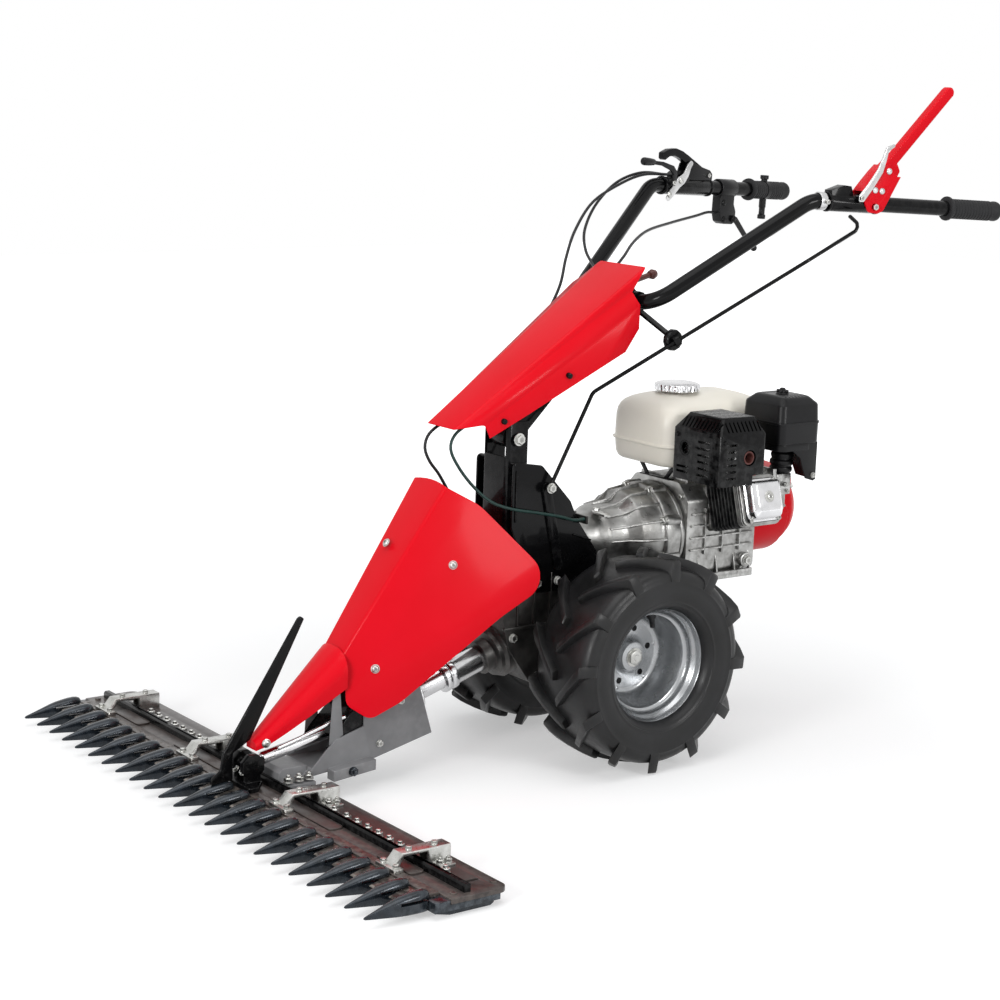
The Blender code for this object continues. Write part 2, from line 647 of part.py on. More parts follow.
# Coupling tube: flange on the back plate, two rings, and the spigot that turns in the collar
tube_profile = [(0, 0), (0.034, 0), (0.034, 0.008), (0.019, 0.009), (0.019, 0.063), (0.0275, 0.064),
                (0.0275, 0.074), (0.025, 0.0765), (0.0275, 0.079), (0.0275, 0.088), (COUPLING_RADIUS, 0.089),
                (COUPLING_RADIUS, COUPLING_LENGTH), (SPIGOT_RADIUS, COUPLING_LENGTH),
                (SPIGOT_RADIUS, COUPLING_LENGTH + SPIGOT_LENGTH), (0, COUPLING_LENGTH + SPIGOT_LENGTH)]
solid("coupling_tube", turned(tube_profile, FRAME_BACK + coupling_along * GAP, coupling_along, 16), "bright",
      mower)

# Nose cover: a folded half cone from the knife head up to the shield
NOSE_TIP = (-0.677, 0.104)
NOSE_REAR = (-0.5240, 0.2440)
NOSE_HALF = (0.015, 0.046)
NOSE_DROP = (0.014, 0.062)


def nose_ring(t):
    """The cover's open section at a share of its length."""
    y = NOSE_TIP[0] + (NOSE_REAR[0] - NOSE_TIP[0]) * t
    top = NOSE_TIP[1] + (NOSE_REAR[1] - NOSE_TIP[1]) * t
    half = NOSE_HALF[0] + (NOSE_HALF[1] - NOSE_HALF[0]) * t ** 0.85
    drop = NOSE_DROP[0] + (NOSE_DROP[1] - NOSE_DROP[0]) * t ** 0.8
    shape = [(1.00, 1.00), (1.00, 0.50), (0.86, 0.24), (0.62, 0.08), (0.32, 0.01), (0, 0)]
    side = [(half * u, y, top - drop * v) for u, v in shape]
    return side + [(-x, a, b) for x, a, b in reversed(side[:-1])]


def sheet(name, faces, finish, on, thickness=SHEET):
    """A folded sheet: faces given as loops of points, thickened evenly to both sides."""
    shape = bmesh.new()
    seen = {}
    for loop in faces:
        verts = []
        for point in loop:
            key = tuple(round(c, 6) for c in point)
            if key not in seen:
                seen[key] = shape.verts.new(point)
            verts.append(seen[key])
        shape.faces.new(verts)
    made = solid(name, shape, finish, on, smooth=20)
    step = made.modifiers.new("thickness", "SOLIDIFY")
    step.thickness = thickness
    step.offset = 0.0
    step.use_even_offset = True
    return made


nose_rings = [nose_ring(t) for t in (0.0, 0.12, 0.4, 0.7, 1.0)]
faces = []
for low, high in zip(nose_rings, nose_rings[1:]):
    for i in range(len(low) - 1):
        faces.append((low[i], low[i + 1], high[i + 1], high[i]))
faces.append(tuple(nose_rings[0]))
sheet("nose_cover", faces, "red", mower)

# Front shield: a narrow front face and two wide splayed cheeks with rounded outlines
CREASE_TOP = Vector((0.04705, -0.3387, 0.5032))
CREASE_LOW = Vector((0.03003, -0.5226, 0.2377))
CHEEK_OUT = Vector((0.120, -0.1930, 0.3640))
down_crease = (CREASE_LOW - CREASE_TOP).normalized()
cheek_normal = down_crease.cross(CHEEK_OUT - CREASE_TOP).normalized()
from_crease = cheek_normal.cross(down_crease)
CREASE_LENGTH = (CREASE_LOW - CREASE_TOP).length
outline = [(0.0, 0.0), (-0.006, 0.066), (0.030, 0.246), (0.134, 0.200), (0.342, 0.128), (0.394, 0.098),
           (0.394, 0.050), (CREASE_LENGTH, 0.0)]
cheek_outline = rounded(outline, [0, 0.10, 0.060, 0.30, 0.10, 0.022, 0.020, 0], 4)
left = []
for u, v in cheek_outline:
    point = CREASE_TOP + down_crease * u + from_crease * v
    left.append(tuple(point))
right = [(-x, y, z) for x, y, z in left]
ARCH = 0.006
crest = []
for share in (0.5, 0.0, -0.5):
    x = CREASE_TOP.x * share
    rise = ARCH * (1 - share * share)
    point = CREASE_TOP - down_crease * rise
    crest.append((x, point.y, point.z))
front = [left[0]] + crest + [right[0], right[-1], left[-1]]
sheet("front_shield", [left, right, front], "red", mower)


# Ears on the frame that carry the nose cover
EAR_FRONT = -0.553
ear_half = nose_ring((EAR_FRONT - NOSE_TIP[0]) / (NOSE_REAR[0] - NOSE_TIP[0]))[0][0]
NOSE_EAR = (0.0375, ear_half - SHEET / 2 - 2 * GAP)
for side in (-1, 1):
    ends = sorted((side * NOSE_EAR[0], side * NOSE_EAR[1]))
    ear = [(EAR_FRONT, 0.086), (EAR_FRONT + 0.006, 0.178), (-0.534, 0.186), (-0.526, 0.100)]
    combine(frame, "UNION", extruded(ear, "X", ends[0], ends[1]))

# Shield stay: a foot across the channel and two bars up to pads behind the cheeks
STAY_RADIUS = 0.005
SCREW_AT = (0.103, 0.081)
screw_at = CREASE_TOP + down_crease * SCREW_AT[0] + from_crease * SCREW_AT[1]
inside = cheek_normal if cheek_normal.x < 0 else -cheek_normal
stay = solid("shield_stay", block((-FRAME_HALF_WIDTH, FRAME_HALF_WIDTH), (-0.446, -0.392),
                                  (back_top_z + GAP, back_top_z + GAP + 0.005)), "black", mower)
for side in (-1, 1):
    pad_at = screw_at + inside * (SHEET / 2 + GAP)
    bar_end = pad_at + inside * 0.007
    flip = Vector((side, 1, 1))
    combine(stay, "UNION", turned([(0, 0), (0.013, 0), (0.013, 0.004), (0.007, 0.009), (0, 0.009)],
                                  pad_at * flip,
                                  inside * flip, 12),
            rod(STAY_RADIUS, bar_end * flip, (side * 0.034, -0.419, back_top_z + GAP + 0.002), 8))

# Wheels: a carcass with two staggered rows of slanted lugs
def tyre(name, on, side):
    """A ring of cells; the lug cells stand out by the lug height."""
    cells = LUGS_PER_SIDE * 4
    base = TYRE_RADIUS - LUG_HEIGHT
    bead = (RIM_RADIUS + GAP) / math.cos(math.pi * (0.5 - LUG_SHARE) / LUGS_PER_SIDE)
    tread = [(0.060, base - 0.0025), (0.004, base)]
    wall_in = [(-0.0600, bead), (-TYRE_HALF_WIDTH, bead + 0.038), (-0.0705, bead + 0.060)]
    profile = wall_in + [(-a, r) for a, r in tread] + [(a, r) for a, r in reversed(tread)]
    profile += [(-a, r) for a, r in reversed(wall_in)]
    edge = 0.0705

    def place(a, r, angle):
        skew = LUG_SKEW * min(abs(a), edge) / edge if r > bead + 0.055 else LUG_SKEW
        turn = angle - skew
        return (side * a, r * math.cos(turn), r * math.sin(turn))

    shape = bmesh.new()
    rows = []
    starts = (0.0, LUG_SHARE, 0.5, 0.5 + LUG_SHARE)
    for k in range(cells):
        angle = 2 * math.pi * (k // 4 + starts[k % 4]) / LUGS_PER_SIDE
        rows.append([shape.verts.new(place(a, r, angle)) for a, r in profile])
    lug_faces = {-1: [], 1: []}
    for k in range(cells):
        near = rows[k]
        far = rows[(k + 1) % cells]
        for i in range(len(profile)):
            j = (i + 1) % len(profile)
            face = shape.faces.new((near[i], near[j], far[j], far[i]))
            middle = (profile[i][0] + profile[j][0]) / 2
            radius = min(profile[i][1], profile[j][1])
            row_side = -1 if middle < 0 else 1
            lug = k % 4 == (0 if row_side < 0 else 2)
            if lug and radius > bead + 0.055 and abs(middle) > 0.004:
                lug_faces[row_side].append((k, face))
    bmesh.ops.recalc_face_normals(shape, faces=shape.faces)
    groups = {}
    for row_side, found in lug_faces.items():
        for k, face in found:
            groups.setdefault((row_side, k), []).append(face)
    for faces_of_lug in groups.values():
        grown = bmesh.ops.extrude_face_region(shape, geom=faces_of_lug)
        tops = [v for v in grown["geom"] if isinstance(v, bmesh.types.BMVert)]
        bmesh.ops.delete(shape, geom=faces_of_lug, context="FACES_ONLY")
        for v in tops:
            out = Vector((0, v.co.y, v.co.z)).normalized()
            v.co += out * (LUG_HEIGHT if abs(v.co.x) < 0.062 else LUG_HEIGHT - 0.001)
    made = solid(name, shape, "rubber", on, local=True, smooth=35)
    return made


def rim(name, on, side):
    """A barrel with bead seats, a well between them and rolled lips."""
    edge = RIM_HALF_WIDTH
    lip = RIM_RADIUS + RIM_LIP
    inner = RIM_RADIUS - RIM_WALL
    profile = [(RIM_RADIUS, 0.0055 - edge), (lip, 0.0035 - edge), (lip, -edge), (inner, 0.010 - edge),
               (inner, WELL[0] - RIM_WALL), (WELL_RADIUS, WELL[0]), (WELL_RADIUS, WELL[1]),
               (inner, WELL[1] + 2 * RIM_WALL), (inner, edge - 0.010), (lip, edge), (lip, edge - 0.0035),
               (RIM_RADIUS, edge - 0.0055), (RIM_RADIUS, WELL[1] + 2 * RIM_WALL),
               (WELL_RADIUS + RIM_WALL, WELL[1]), (WELL_RADIUS + RIM_WALL, WELL[0]),
               (RIM_RADIUS, WELL[0] - RIM_WALL)]
    return solid(name, turned([(r, side * a) for r, a in profile], (0, 0, 0), (1, 0, 0), RIM_STEPS), "silver",
                 on, local=True)


def wheel_disc(name, on, side):
    """The pressed disc in the barrel, with its raised hub and the socket on the axle."""
    reach = WELL_RADIUS - GAP
    socket = AXLE_TUBE_RADIUS + 0.010
    back = -DISC_BACK
    profile = [(0, back), (socket, back), (socket, back + 0.003), (reach, back + 0.003),
               (reach, back + 0.008),
               (0.036, back + 0.0085), (0.031, back + 0.012), (0.0275, HUB_FACE), (0.016, HUB_FACE),
               (0.016, HUB_FACE + 0.008), (0, HUB_FACE + 0.008)]
    return solid(name, turned([(r, side * a) for r, a in profile], (0, 0, 0), (1, 0, 0), RIM_STEPS), "silver",
                 on, local=True)


for side, on, word in ((1, wheel_left, "left"), (-1, wheel_right, "right")):
    tyre(f"tyre_{word}", on, side)
    rim(f"rim_{word}", on, side)
    wheel_disc(f"wheel_disc_{word}", on, side)

# Gearbox: a case over the axle, its axle tubes, a nose with the coupling collar
case = [(-0.150, 0.140), (-0.198, 0.205), (-0.215, 0.270), (-0.215, CASE_TOP), (TOWER_REAR - 0.001, CASE_TOP),
        (TOWER_REAR - 0.001, CASE_TOP - 0.031), (0.045, CASE_TOP - 0.031), (0.060, 0.270), (0.060, 0.170),
        (0.010, 0.120),
        (-0.080, 0.118)]
gearbox = solid("gearbox", extruded(rounded(case, 0.012, 2), "X", -CASE_HALF_WIDTH, CASE_HALF_WIDTH),
                "aluminium",
                machine)
AXLE_TUBE_END = WHEEL_X - DISC_BACK - GAP
axle = [(0, -AXLE_TUBE_END), (AXLE_TUBE_RADIUS, -AXLE_TUBE_END), (AXLE_TUBE_RADIUS, -0.078), (0.046, -0.066),
        (0.060, -0.062), (0.060, 0.062), (0.046, 0.066), (AXLE_TUBE_RADIUS, 0.078),
        (AXLE_TUBE_RADIUS, AXLE_TUBE_END), (0, AXLE_TUBE_END)]
combine(gearbox, "UNION", turned(axle, (0, 0, AXLE_Z), (1, 0, 0), 16))
COLLAR_LENGTH = SPIGOT_LENGTH + 0.001
collar = [(0, COLLAR_LENGTH), (SPIGOT_RADIUS + RUNNING_GAP, COLLAR_LENGTH), (SPIGOT_RADIUS + RUNNING_GAP, 0),
          (0.031, 0), (0.031, 0.018), (0.043, 0.020), (0.043, 0.028), (0.050, 0.032), (0.050, 0.080),
          (0, 0.080)]
combine(gearbox, "UNION", turned(collar, coupling_end + coupling_along * 2 * GAP, coupling_along, 16))
tower = [(-0.120, CASE_TOP - 0.010), (-0.120, 0.420), (-0.110, 0.432), (TOWER_REAR, 0.432),
         (TOWER_REAR, 0.330)]
combine(gearbox, "UNION", extruded(tower, "X", -0.032, 0.032))

# Clutch housing: a bell between the gearbox tower and the engine
bell_front = TOWER_REAR + GAP
bell = [(0, bell_front), (0.046, bell_front), (0.048, -0.010), (0.058, 0.010), (0.060, 0.050), (0.078, 0.070),
        (0.082, 0.112), (BELL_RADIUS, 0.120), (BELL_RADIUS, BELL_REAR_Y), (0, BELL_REAR_Y)]
bell_housing = solid("clutch_housing", turned(bell, (0, 0, BELL_Z), (0, 1, 0), 20), "aluminium", machine)
RIB_COUNT = 6
for i in range(RIB_COUNT):
    angle = math.radians(20 + i * 140 / (RIB_COUNT - 1))
    outward = Vector((math.cos(angle), 0, math.sin(angle)))
    across = Vector((-math.sin(angle), 0, math.cos(angle))) * 0.003
    centre = Vector((0, 0, BELL_Z))
    inner = centre + outward * 0.040
    ring = []
    for y, r in ((0.012, 0.057), (0.122, 0.090)):
        ring.append([inner - across + Vector((0, y, 0)), inner + across + Vector((0, y, 0)),
                     centre + outward * r + across + Vector((0, y, 0)),
                     centre + outward * r - across + Vector((0, y, 0))])
    combine(bell_housing, "UNION", lofted(ring))

# Column and its support bracket on the gearbox
FOOT_Z = CASE_TOP + GAP
channel = [(-COLUMN_HALF_WIDTH, -0.205), (COLUMN_HALF_WIDTH, -0.205), (COLUMN_HALF_WIDTH, -0.160),
           (COLUMN_HALF_WIDTH - COLUMN_WALL, -0.160), (COLUMN_HALF_WIDTH - COLUMN_WALL, -0.201),
           (-COLUMN_HALF_WIDTH + COLUMN_WALL, -0.201), (-COLUMN_HALF_WIDTH + COLUMN_WALL, -0.160),
           (-COLUMN_HALF_WIDTH, -0.160)]
column = solid("column", extruded(channel, "Z", FOOT_Z, 0.600), "black", machine)
combine(column, "UNION", block((-0.045, 0.045), (-0.212, -0.152), (FOOT_Z + 0.0001, FOOT_Z + 0.006)))
combine(column, "DIFFERENCE",
        block((-COLUMN_HALF_WIDTH + COLUMN_WALL, COLUMN_HALF_WIDTH - COLUMN_WALL), (-0.220, -0.190),
              (0.540, 0.620)),
        rod(0.0064, (-0.060, HINGE_Y, HINGE_Z), (0.060, HINGE_Y, HINGE_Z), 12))
PLATE_X = (CASE_HALF_WIDTH + GAP, CASE_HALF_WIDTH + GAP + 0.004)
LEVER_PIN = (-0.133, 0.487)
plate = [(-0.204, 0.535), (-0.142, 0.525), (-0.077, 0.457), (-0.060, 0.422), (-0.014, 0.362), (-0.014, 0.300),
         (-0.150, 0.300), (-0.204, 0.420)]
plate = rounded(plate, [0.008, 0.012, 0.010, 0, 0.006, 0.006, 0.01, 0.01], 2)
bracket = solid("support_bracket", extruded(plate, "X", *PLATE_X), "black", machine)
combine(bracket, "UNION", extruded(plate, "X", -PLATE_X[1], -PLATE_X[0]),
        block((-PLATE_X[1] + 0.001, PLATE_X[1] - 0.001), (-0.150, -0.146), (0.444, 0.518)),
        rod(0.0045, (PLATE_X[1] - 0.002, *LEVER_PIN), (PLATE_X[1] + 0.0070, *LEVER_PIN), 12))
strip_swing = holder("strip_swing", (PLATE_X[1] + 0.001, *LEVER_PIN), machine)
STRIP_END = (-0.102, 0.346)


def capsule(start, end, radius, steps=4):
    """A strip with round ends between two points of a plane."""
    start, end = Vector(start), Vector(end)
    lean = math.atan2(end.y - start.y, end.x - start.x)
    points = []
    for centre, first in ((end, lean - math.pi / 2), (start, lean + math.pi / 2)):
        for k in range(steps + 1):
            angle = first + math.pi * k / steps
            points.append((centre.x + radius * math.cos(angle), centre.y + radius * math.sin(angle)))
    return points


strip_x = (PLATE_X[1] + RUNNING_GAP, PLATE_X[1] + RUNNING_GAP + 0.004)
strip_lever = solid("strip_lever", extruded(capsule(LEVER_PIN, STRIP_END, 0.009), "X", *strip_x), "black",
                    strip_swing)
combine(strip_lever, "DIFFERENCE", rod(0.0050, (strip_x[0] - 0.003, *LEVER_PIN),
                                       (strip_x[1] + 0.003, *LEVER_PIN), 12))

# Steering arm, its bolt and the clamp that holds the handlebar
ARM_DIRECTION = Vector((math.cos(math.radians(45)), math.sin(math.radians(45))))
ARM_NORMAL = Vector((-ARM_DIRECTION.y, ARM_DIRECTION.x))
HINGE = Vector((HINGE_Y, HINGE_Z))
ARM_END = CLAMP_REACH - 0.0230
bar = [HINGE + Vector((math.cos(a), math.sin(a))) * ARM_HALF
       for a in (math.radians(135 + 30 * k) for k in range(7))]
bar += [HINGE + ARM_DIRECTION * ARM_END - ARM_NORMAL * ARM_HALF,
        HINGE + ARM_DIRECTION * ARM_END + ARM_NORMAL * ARM_HALF]
arm_bar = solid("steering_arm", extruded([tuple(p) for p in bar], "X", -ARM_HALF, ARM_HALF), "black",
                handlebars)
bolt = [(0, -0.0405), (0.010, -0.0405), (0.010, -0.0345), (0.006, -0.0345), (0.006, 0.0345), (0.010, 0.0345),
        (0.010, 0.0405), (0, 0.0405)]
combine(arm_bar, "UNION", turned(bolt, (0, HINGE_Y, HINGE_Z), (1, 0, 0), 12))

# Hood: a folded cover over the steering arm
HOOD_TOP = ((0.040, -0.320, 0.597), (0.063, 0.0615, 0.8595))
HOOD_FOLD = ((0.047, -0.262, 0.602), (0.088, 0.018, 0.786))
HOOD_LOW = ((0.050, -0.253, 0.579), (0.062, -0.189, 0.614), (0.090, -0.046, 0.696))
HOOD_BACK = ((0.075, 0.032, 0.833), (0.083, 0.016, 0.820))
HOOD_TAIL = ((0.090, 0.029, 0.757), (0.090, 0.001, 0.718))
faces = []
for side in (1, -1):
    def at(point):
        return (side * point[0], point[1], point[2])

    faces.append([at(HOOD_FOLD[0]), at(HOOD_FOLD[1]), at(HOOD_BACK[1]), at(HOOD_BACK[0]), at(HOOD_TOP[1]),
                  at(HOOD_TOP[0])])
    faces.append([at(HOOD_FOLD[0]), at(HOOD_LOW[0]), at(HOOD_LOW[1]), at(HOOD_LOW[2]), at(HOOD_FOLD[1])])
    faces.append([at(HOOD_FOLD[1]), at(HOOD_LOW[2]), at(HOOD_TAIL[1]), at(HOOD_TAIL[0])])
faces.append([HOOD_TOP[0], HOOD_TOP[1], (-HOOD_TOP[1][0], *HOOD_TOP[1][1:]),
              (-HOOD_TOP[0][0], *HOOD_TOP[0][1:])])
sheet("hood", faces, "red", handlebars)


def hood_under(y):
    """Height of the hood's inner face above the middle line."""
    share = (y - HOOD_TOP[0][1]) / (HOOD_TOP[1][1] - HOOD_TOP[0][1])
    return HOOD_TOP[0][2] + (HOOD_TOP[1][2] - HOOD_TOP[0][2]) * share - SHEET * 0.65 - GAP


def arm_top(y):
    """Height of the steering arm's upper face."""
    start = HINGE + ARM_NORMAL * ARM_HALF
    return start.y + (y - start.x) * ARM_DIRECTION.y / ARM_DIRECTION.x


STAND_BACK = 0.0559
rear_stand = HINGE.x + ARM_DIRECTION.x * (ARM_END - STAND_BACK)
for y in (-0.130, rear_stand):
    stand = [(y, arm_top(y) - 0.003), (y + 0.022, arm_top(y + 0.022) - 0.003),
             (y + 0.022, hood_under(y + 0.022)),
             (y, hood_under(y))]
    combine(arm_bar, "UNION", extruded(stand, "X", -0.0165, 0.0165))

# Handlebar: one bent tube through the clamp
clamp_centre = HINGE + ARM_DIRECTION * CLAMP_REACH
tube_low = (HANDLE_LOW_X, clamp_centre.x, clamp_centre.y)
TUBE_END = Vector(HANDLE_END) - HANDLE_DIRECTION * 0.006
left_route = bent_route([(0, *tube_low[1:]), tube_low, HANDLE_BEND, TUBE_END], 0.055, 4)
right_route = [(-x, y, z) for x, y, z in reversed(left_route[1:])]
tube("handlebar", right_route + [tuple(p) for p in left_route[1:]], TUBE_RADIUS, "black", handlebars, 2)
jaw = [HINGE + ARM_DIRECTION * (ARM_END + GAP) - ARM_NORMAL * 0.022,
       HINGE + ARM_DIRECTION * (CLAMP_REACH + 0.0205) - ARM_NORMAL * 0.022,
       HINGE + ARM_DIRECTION * (CLAMP_REACH + 0.0205) + ARM_NORMAL * 0.022,
       HINGE + ARM_DIRECTION * (ARM_END + GAP) + ARM_NORMAL * 0.022]
clamp = solid("handlebar_clamp", extruded([tuple(p) for p in jaw], "X", -0.044, 0.044), "black", handlebars)
combine(clamp, "DIFFERENCE", rod(TUBE_BORE, (-0.06, *tube_low[1:]), (0.06, *tube_low[1:]), BORE_STEPS))
lock_pin = clamp_centre + ARM_DIRECTION * 0.026
combine(clamp, "UNION", rod(0.0075, (0, *(clamp_centre + ARM_DIRECTION * 0.018)), (0, *lock_pin), 12))
lock_turn = holder("lock_turn", (0, *lock_pin), handlebars)
lock_base = (0, *(lock_pin + ARM_DIRECTION * GAP))
lock = solid("lock_lever", rod(0.0085, lock_base, (0, *(lock_pin + ARM_DIRECTION * 0.013)), 12), "brown",
             lock_turn)
lock_start = (0, *(lock_pin + ARM_DIRECTION * 0.0065))
combine(lock, "UNION", rod(0.0050, lock_start, (0, 0.122, 0.838), 10),
        turned([(0, -0.010), (0.007, -0.007), (0.0095, 0), (0.007, 0.007), (0, 0.010)], (0, 0.130, 0.8395),
               (0, 1, 0.12), 10))

# Grips
for base, word in ((handle_left, "left"), (handle_right, "right")):
    end = HANDLE_RUN
    start = end - GRIP_LENGTH
    bore = TUBE_BORE
    grip = [(0, end - 0.006 + GAP), (bore, end - 0.006 + GAP), (bore, start), (GRIP_RADIUS + 0.004, start),
            (GRIP_RADIUS + 0.004, start + 0.006), (GRIP_RADIUS, start + 0.010), (GRIP_RADIUS, end - 0.006),
            (GRIP_RADIUS - 0.005, end), (0, end)]
    solid(f"grip_{word}", turned(grip, (0, 0, 0), (0, 1, 0), BORE_STEPS), "rubber", base, local=True)


def sleeve(name, base, start, end, finish="black", outer=0.0165):
    """A ring clamped round the straight run of a handle."""
    ring = [(TUBE_BORE, start), (TUBE_BORE, end), (outer, end), (outer, start)]
    return solid(name, turned(ring, (0, 0, 0), (0, 1, 0), BORE_STEPS), finish, base, local=True)


def pivot(name, base, side, y, z, x=0.0):
    """An empty on a lever's pin, with the handle's own axes."""
    return holder(name, on_handle(base, x, y, z), base.parent, handle_turn(side))


# Left handle: carrier sleeve, red clutch lever in a fork, silver latch
SLEEVE_RADIUS = 0.0165
FORK_IN = SLEEVE_RADIUS + RUNNING_GAP
FORK_OUT = FORK_IN + 0.004
CLUTCH_PIN = (0.1206, -0.0040)
LATCH_PIN = (0.088, 0.010)
carrier = sleeve("lever_carrier", handle_left, 0.030, 0.140)
rise = [(0.034, 0.008), (0.034, 0.020), (0.060, 0.030), (0.074, 0.029), (0.079, 0.018), (0.079, 0.008)]
combine(carrier, "UNION", extruded(rise, "X", -0.011, 0.011),
        rod(0.0045, (SLEEVE_RADIUS - 0.003, *CLUTCH_PIN), (FORK_OUT + 0.002, *CLUTCH_PIN), 10),
        rod(0.0045, (-SLEEVE_RADIUS + 0.003, *CLUTCH_PIN), (-FORK_OUT - 0.002, *CLUTCH_PIN), 10),
        rod(0.0040, (SLEEVE_RADIUS - 0.006, *LATCH_PIN), (FORK_OUT + 0.0055, *LATCH_PIN), 10), local=True)
combine(carrier, "DIFFERENCE", rod(TUBE_BORE, (0, 0.020, 0), (0, 0.150, 0), BORE_STEPS), local=True)
clutch_turn = pivot("clutch_turn", handle_left, 1, *CLUTCH_PIN)
body = [(0.108, -0.014), (0.093, 0.012), (0.128, 0.056), (0.1548, 0.0842), (0.2618, 0.2085),
        (0.2672, 0.2130), (0.2740, 0.2120), (0.2785, 0.2060), (0.2780, 0.1990), (0.1692, 0.0718),
        (0.1760, 0.0600), (0.140, -0.010), (0.128, -0.016)]
clutch = solid("clutch_lever", extruded(moved(body, -CLUTCH_PIN[0], -CLUTCH_PIN[1]), "X", -FORK_OUT,
                                        FORK_OUT), "red",
               clutch_turn, local=True)
throat = moved([(0.080, -0.030), (0.080, 0.020), (0.130, 0.024), (0.205, 0.066), (0.215, -0.030)],
               -CLUTCH_PIN[0],
               -CLUTCH_PIN[1])
blade = moved([(0.100, 0.100), (0.138, 0.068), (0.180, 0.066), (0.320, 0.170), (0.320, 0.240),
               (0.240, 0.240)], -CLUTCH_PIN[0], -CLUTCH_PIN[1])
combine(clutch, "DIFFERENCE", extruded(throat, "X", -FORK_IN, FORK_IN), extruded(blade, "X", 0.009, 0.030),
        extruded(blade, "X", -0.030, -0.009), rod(0.0050, (-0.030, 0, 0), (0.030, 0, 0), 10), local=True)
latch_turn = pivot("latch_turn", handle_left, 1, *LATCH_PIN)
LATCH_X = (FORK_OUT + 0.001, FORK_OUT + 0.004)
strap = moved([(0.083, 0.003), (0.094, 0.004), (0.128, 0.056), (0.136, 0.095), (0.150, 0.103), (0.148, 0.107),
               (0.131, 0.101), (0.117, 0.060), (0.083, 0.014)], -LATCH_PIN[0], -LATCH_PIN[1])
latch = solid("latch_lever", extruded(strap, "X", *LATCH_X), "silver", latch_turn, local=True)
combine(latch, "DIFFERENCE", rod(0.0045, (0.010, 0, 0), (0.040, 0, 0), 10), local=True)

# Right handle: housing, brake lever above it, throttle and a silver lever on its inner side
BRAKE_PIN = (0.154, 0.0230)
SILVER_PIN = (0.062, 0.010)
THROTTLE_PIN = (0.034, 0.006)
housing = sleeve("brake_housing", handle_right, 0.026, 0.168)
lug = [(0.058, 0.006), (0.058, 0.024), (0.066, 0.029), (0.088, 0.029), (0.096, 0.020), (0.096, 0.006)]
ear = [(0.144, 0.006), (0.144, 0.024), (0.149, 0.029), (0.159, 0.029), (0.164, 0.024), (0.164, 0.006)]
combine(housing, "UNION", extruded(lug, "X", -0.012, 0.012), extruded(ear, "X", 0.0055, 0.0095),
        extruded(ear, "X", -0.0095, -0.0055), rod(0.0030, (-0.0075, *BRAKE_PIN), (0.0075, *BRAKE_PIN), 8),
        rod(0.0040, (SLEEVE_RADIUS - 0.006, *SILVER_PIN), (0.0220, *SILVER_PIN), 10),
        rod(0.0040, (SLEEVE_RADIUS - 0.006, *THROTTLE_PIN), (0.0270, *THROTTLE_PIN), 10), local=True)
combine(housing, "DIFFERENCE", rod(TUBE_BORE, (0, 0.015, 0), (0, 0.180, 0), BORE_STEPS), local=True)
brake_turn = pivot("brake_turn", handle_right, -1, *BRAKE_PIN)
squeeze = [(0.022, 0.060), (0.040, 0.067), (0.058, 0.069), (0.078, 0.064), (0.098, 0.055), (0.158, 0.0280),
           (0.1600, 0.0210), (0.153, 0.0180), (0.092, 0.045), (0.074, 0.053), (0.056, 0.058), (0.040, 0.056),
           (0.026, 0.050)]
brake = solid("brake_lever", extruded(moved(squeeze, -BRAKE_PIN[0], -BRAKE_PIN[1]), "X", -0.0050, 0.0050),
              "black",
              brake_turn, local=True)
combine(brake, "DIFFERENCE", rod(0.0034, (-0.010, 0, 0), (0.010, 0, 0), 8), local=True)
silver_turn = pivot("silver_turn", handle_right, -1, *SILVER_PIN)
strap = [(0.026, -0.020), (0.034, -0.022), (0.068, 0.006), (0.084, 0.028), (0.078, 0.033), (0.056, 0.016)]
silver = solid("silver_lever", extruded(moved(strap, -SILVER_PIN[0], -SILVER_PIN[1]), "X",
                                        SLEEVE_RADIUS + 0.001,
                                        SLEEVE_RADIUS + 0.004), "silver", silver_turn, local=True)
combine(silver, "DIFFERENCE", rod(0.0045, (0.010, 0, 0), (0.030, 0, 0), 10), local=True)
throttle_turn = pivot("throttle_turn", handle_right, -1, *THROTTLE_PIN)
strap = [(0.028, 0.000), (0.041, 0.001), (0.044, 0.026), (0.032, 0.038), (0.002, 0.044), (-0.052, 0.046),
         (-0.056, 0.042), (-0.052, 0.038), (0.000, 0.036), (0.026, 0.028), (0.033, 0.022)]
throttle = solid("throttle_lever", extruded(moved(strap, -THROTTLE_PIN[0], -THROTTLE_PIN[1]), "X", 0.0215,
                                            0.0255),
                 "black", throttle_turn, local=True)
combine(throttle, "UNION", extruded(moved([(-0.056, 0.036), (-0.056, 0.048), (-0.008, 0.047),
                                           (-0.008, 0.035)],
                                          -THROTTLE_PIN[0], -THROTTLE_PIN[1]), "X", 0.0185, 0.0285),
        local=True)
combine(throttle, "DIFFERENCE", rod(0.0045, (0.010, 0, 0), (0.040, 0, 0), 10), local=True)

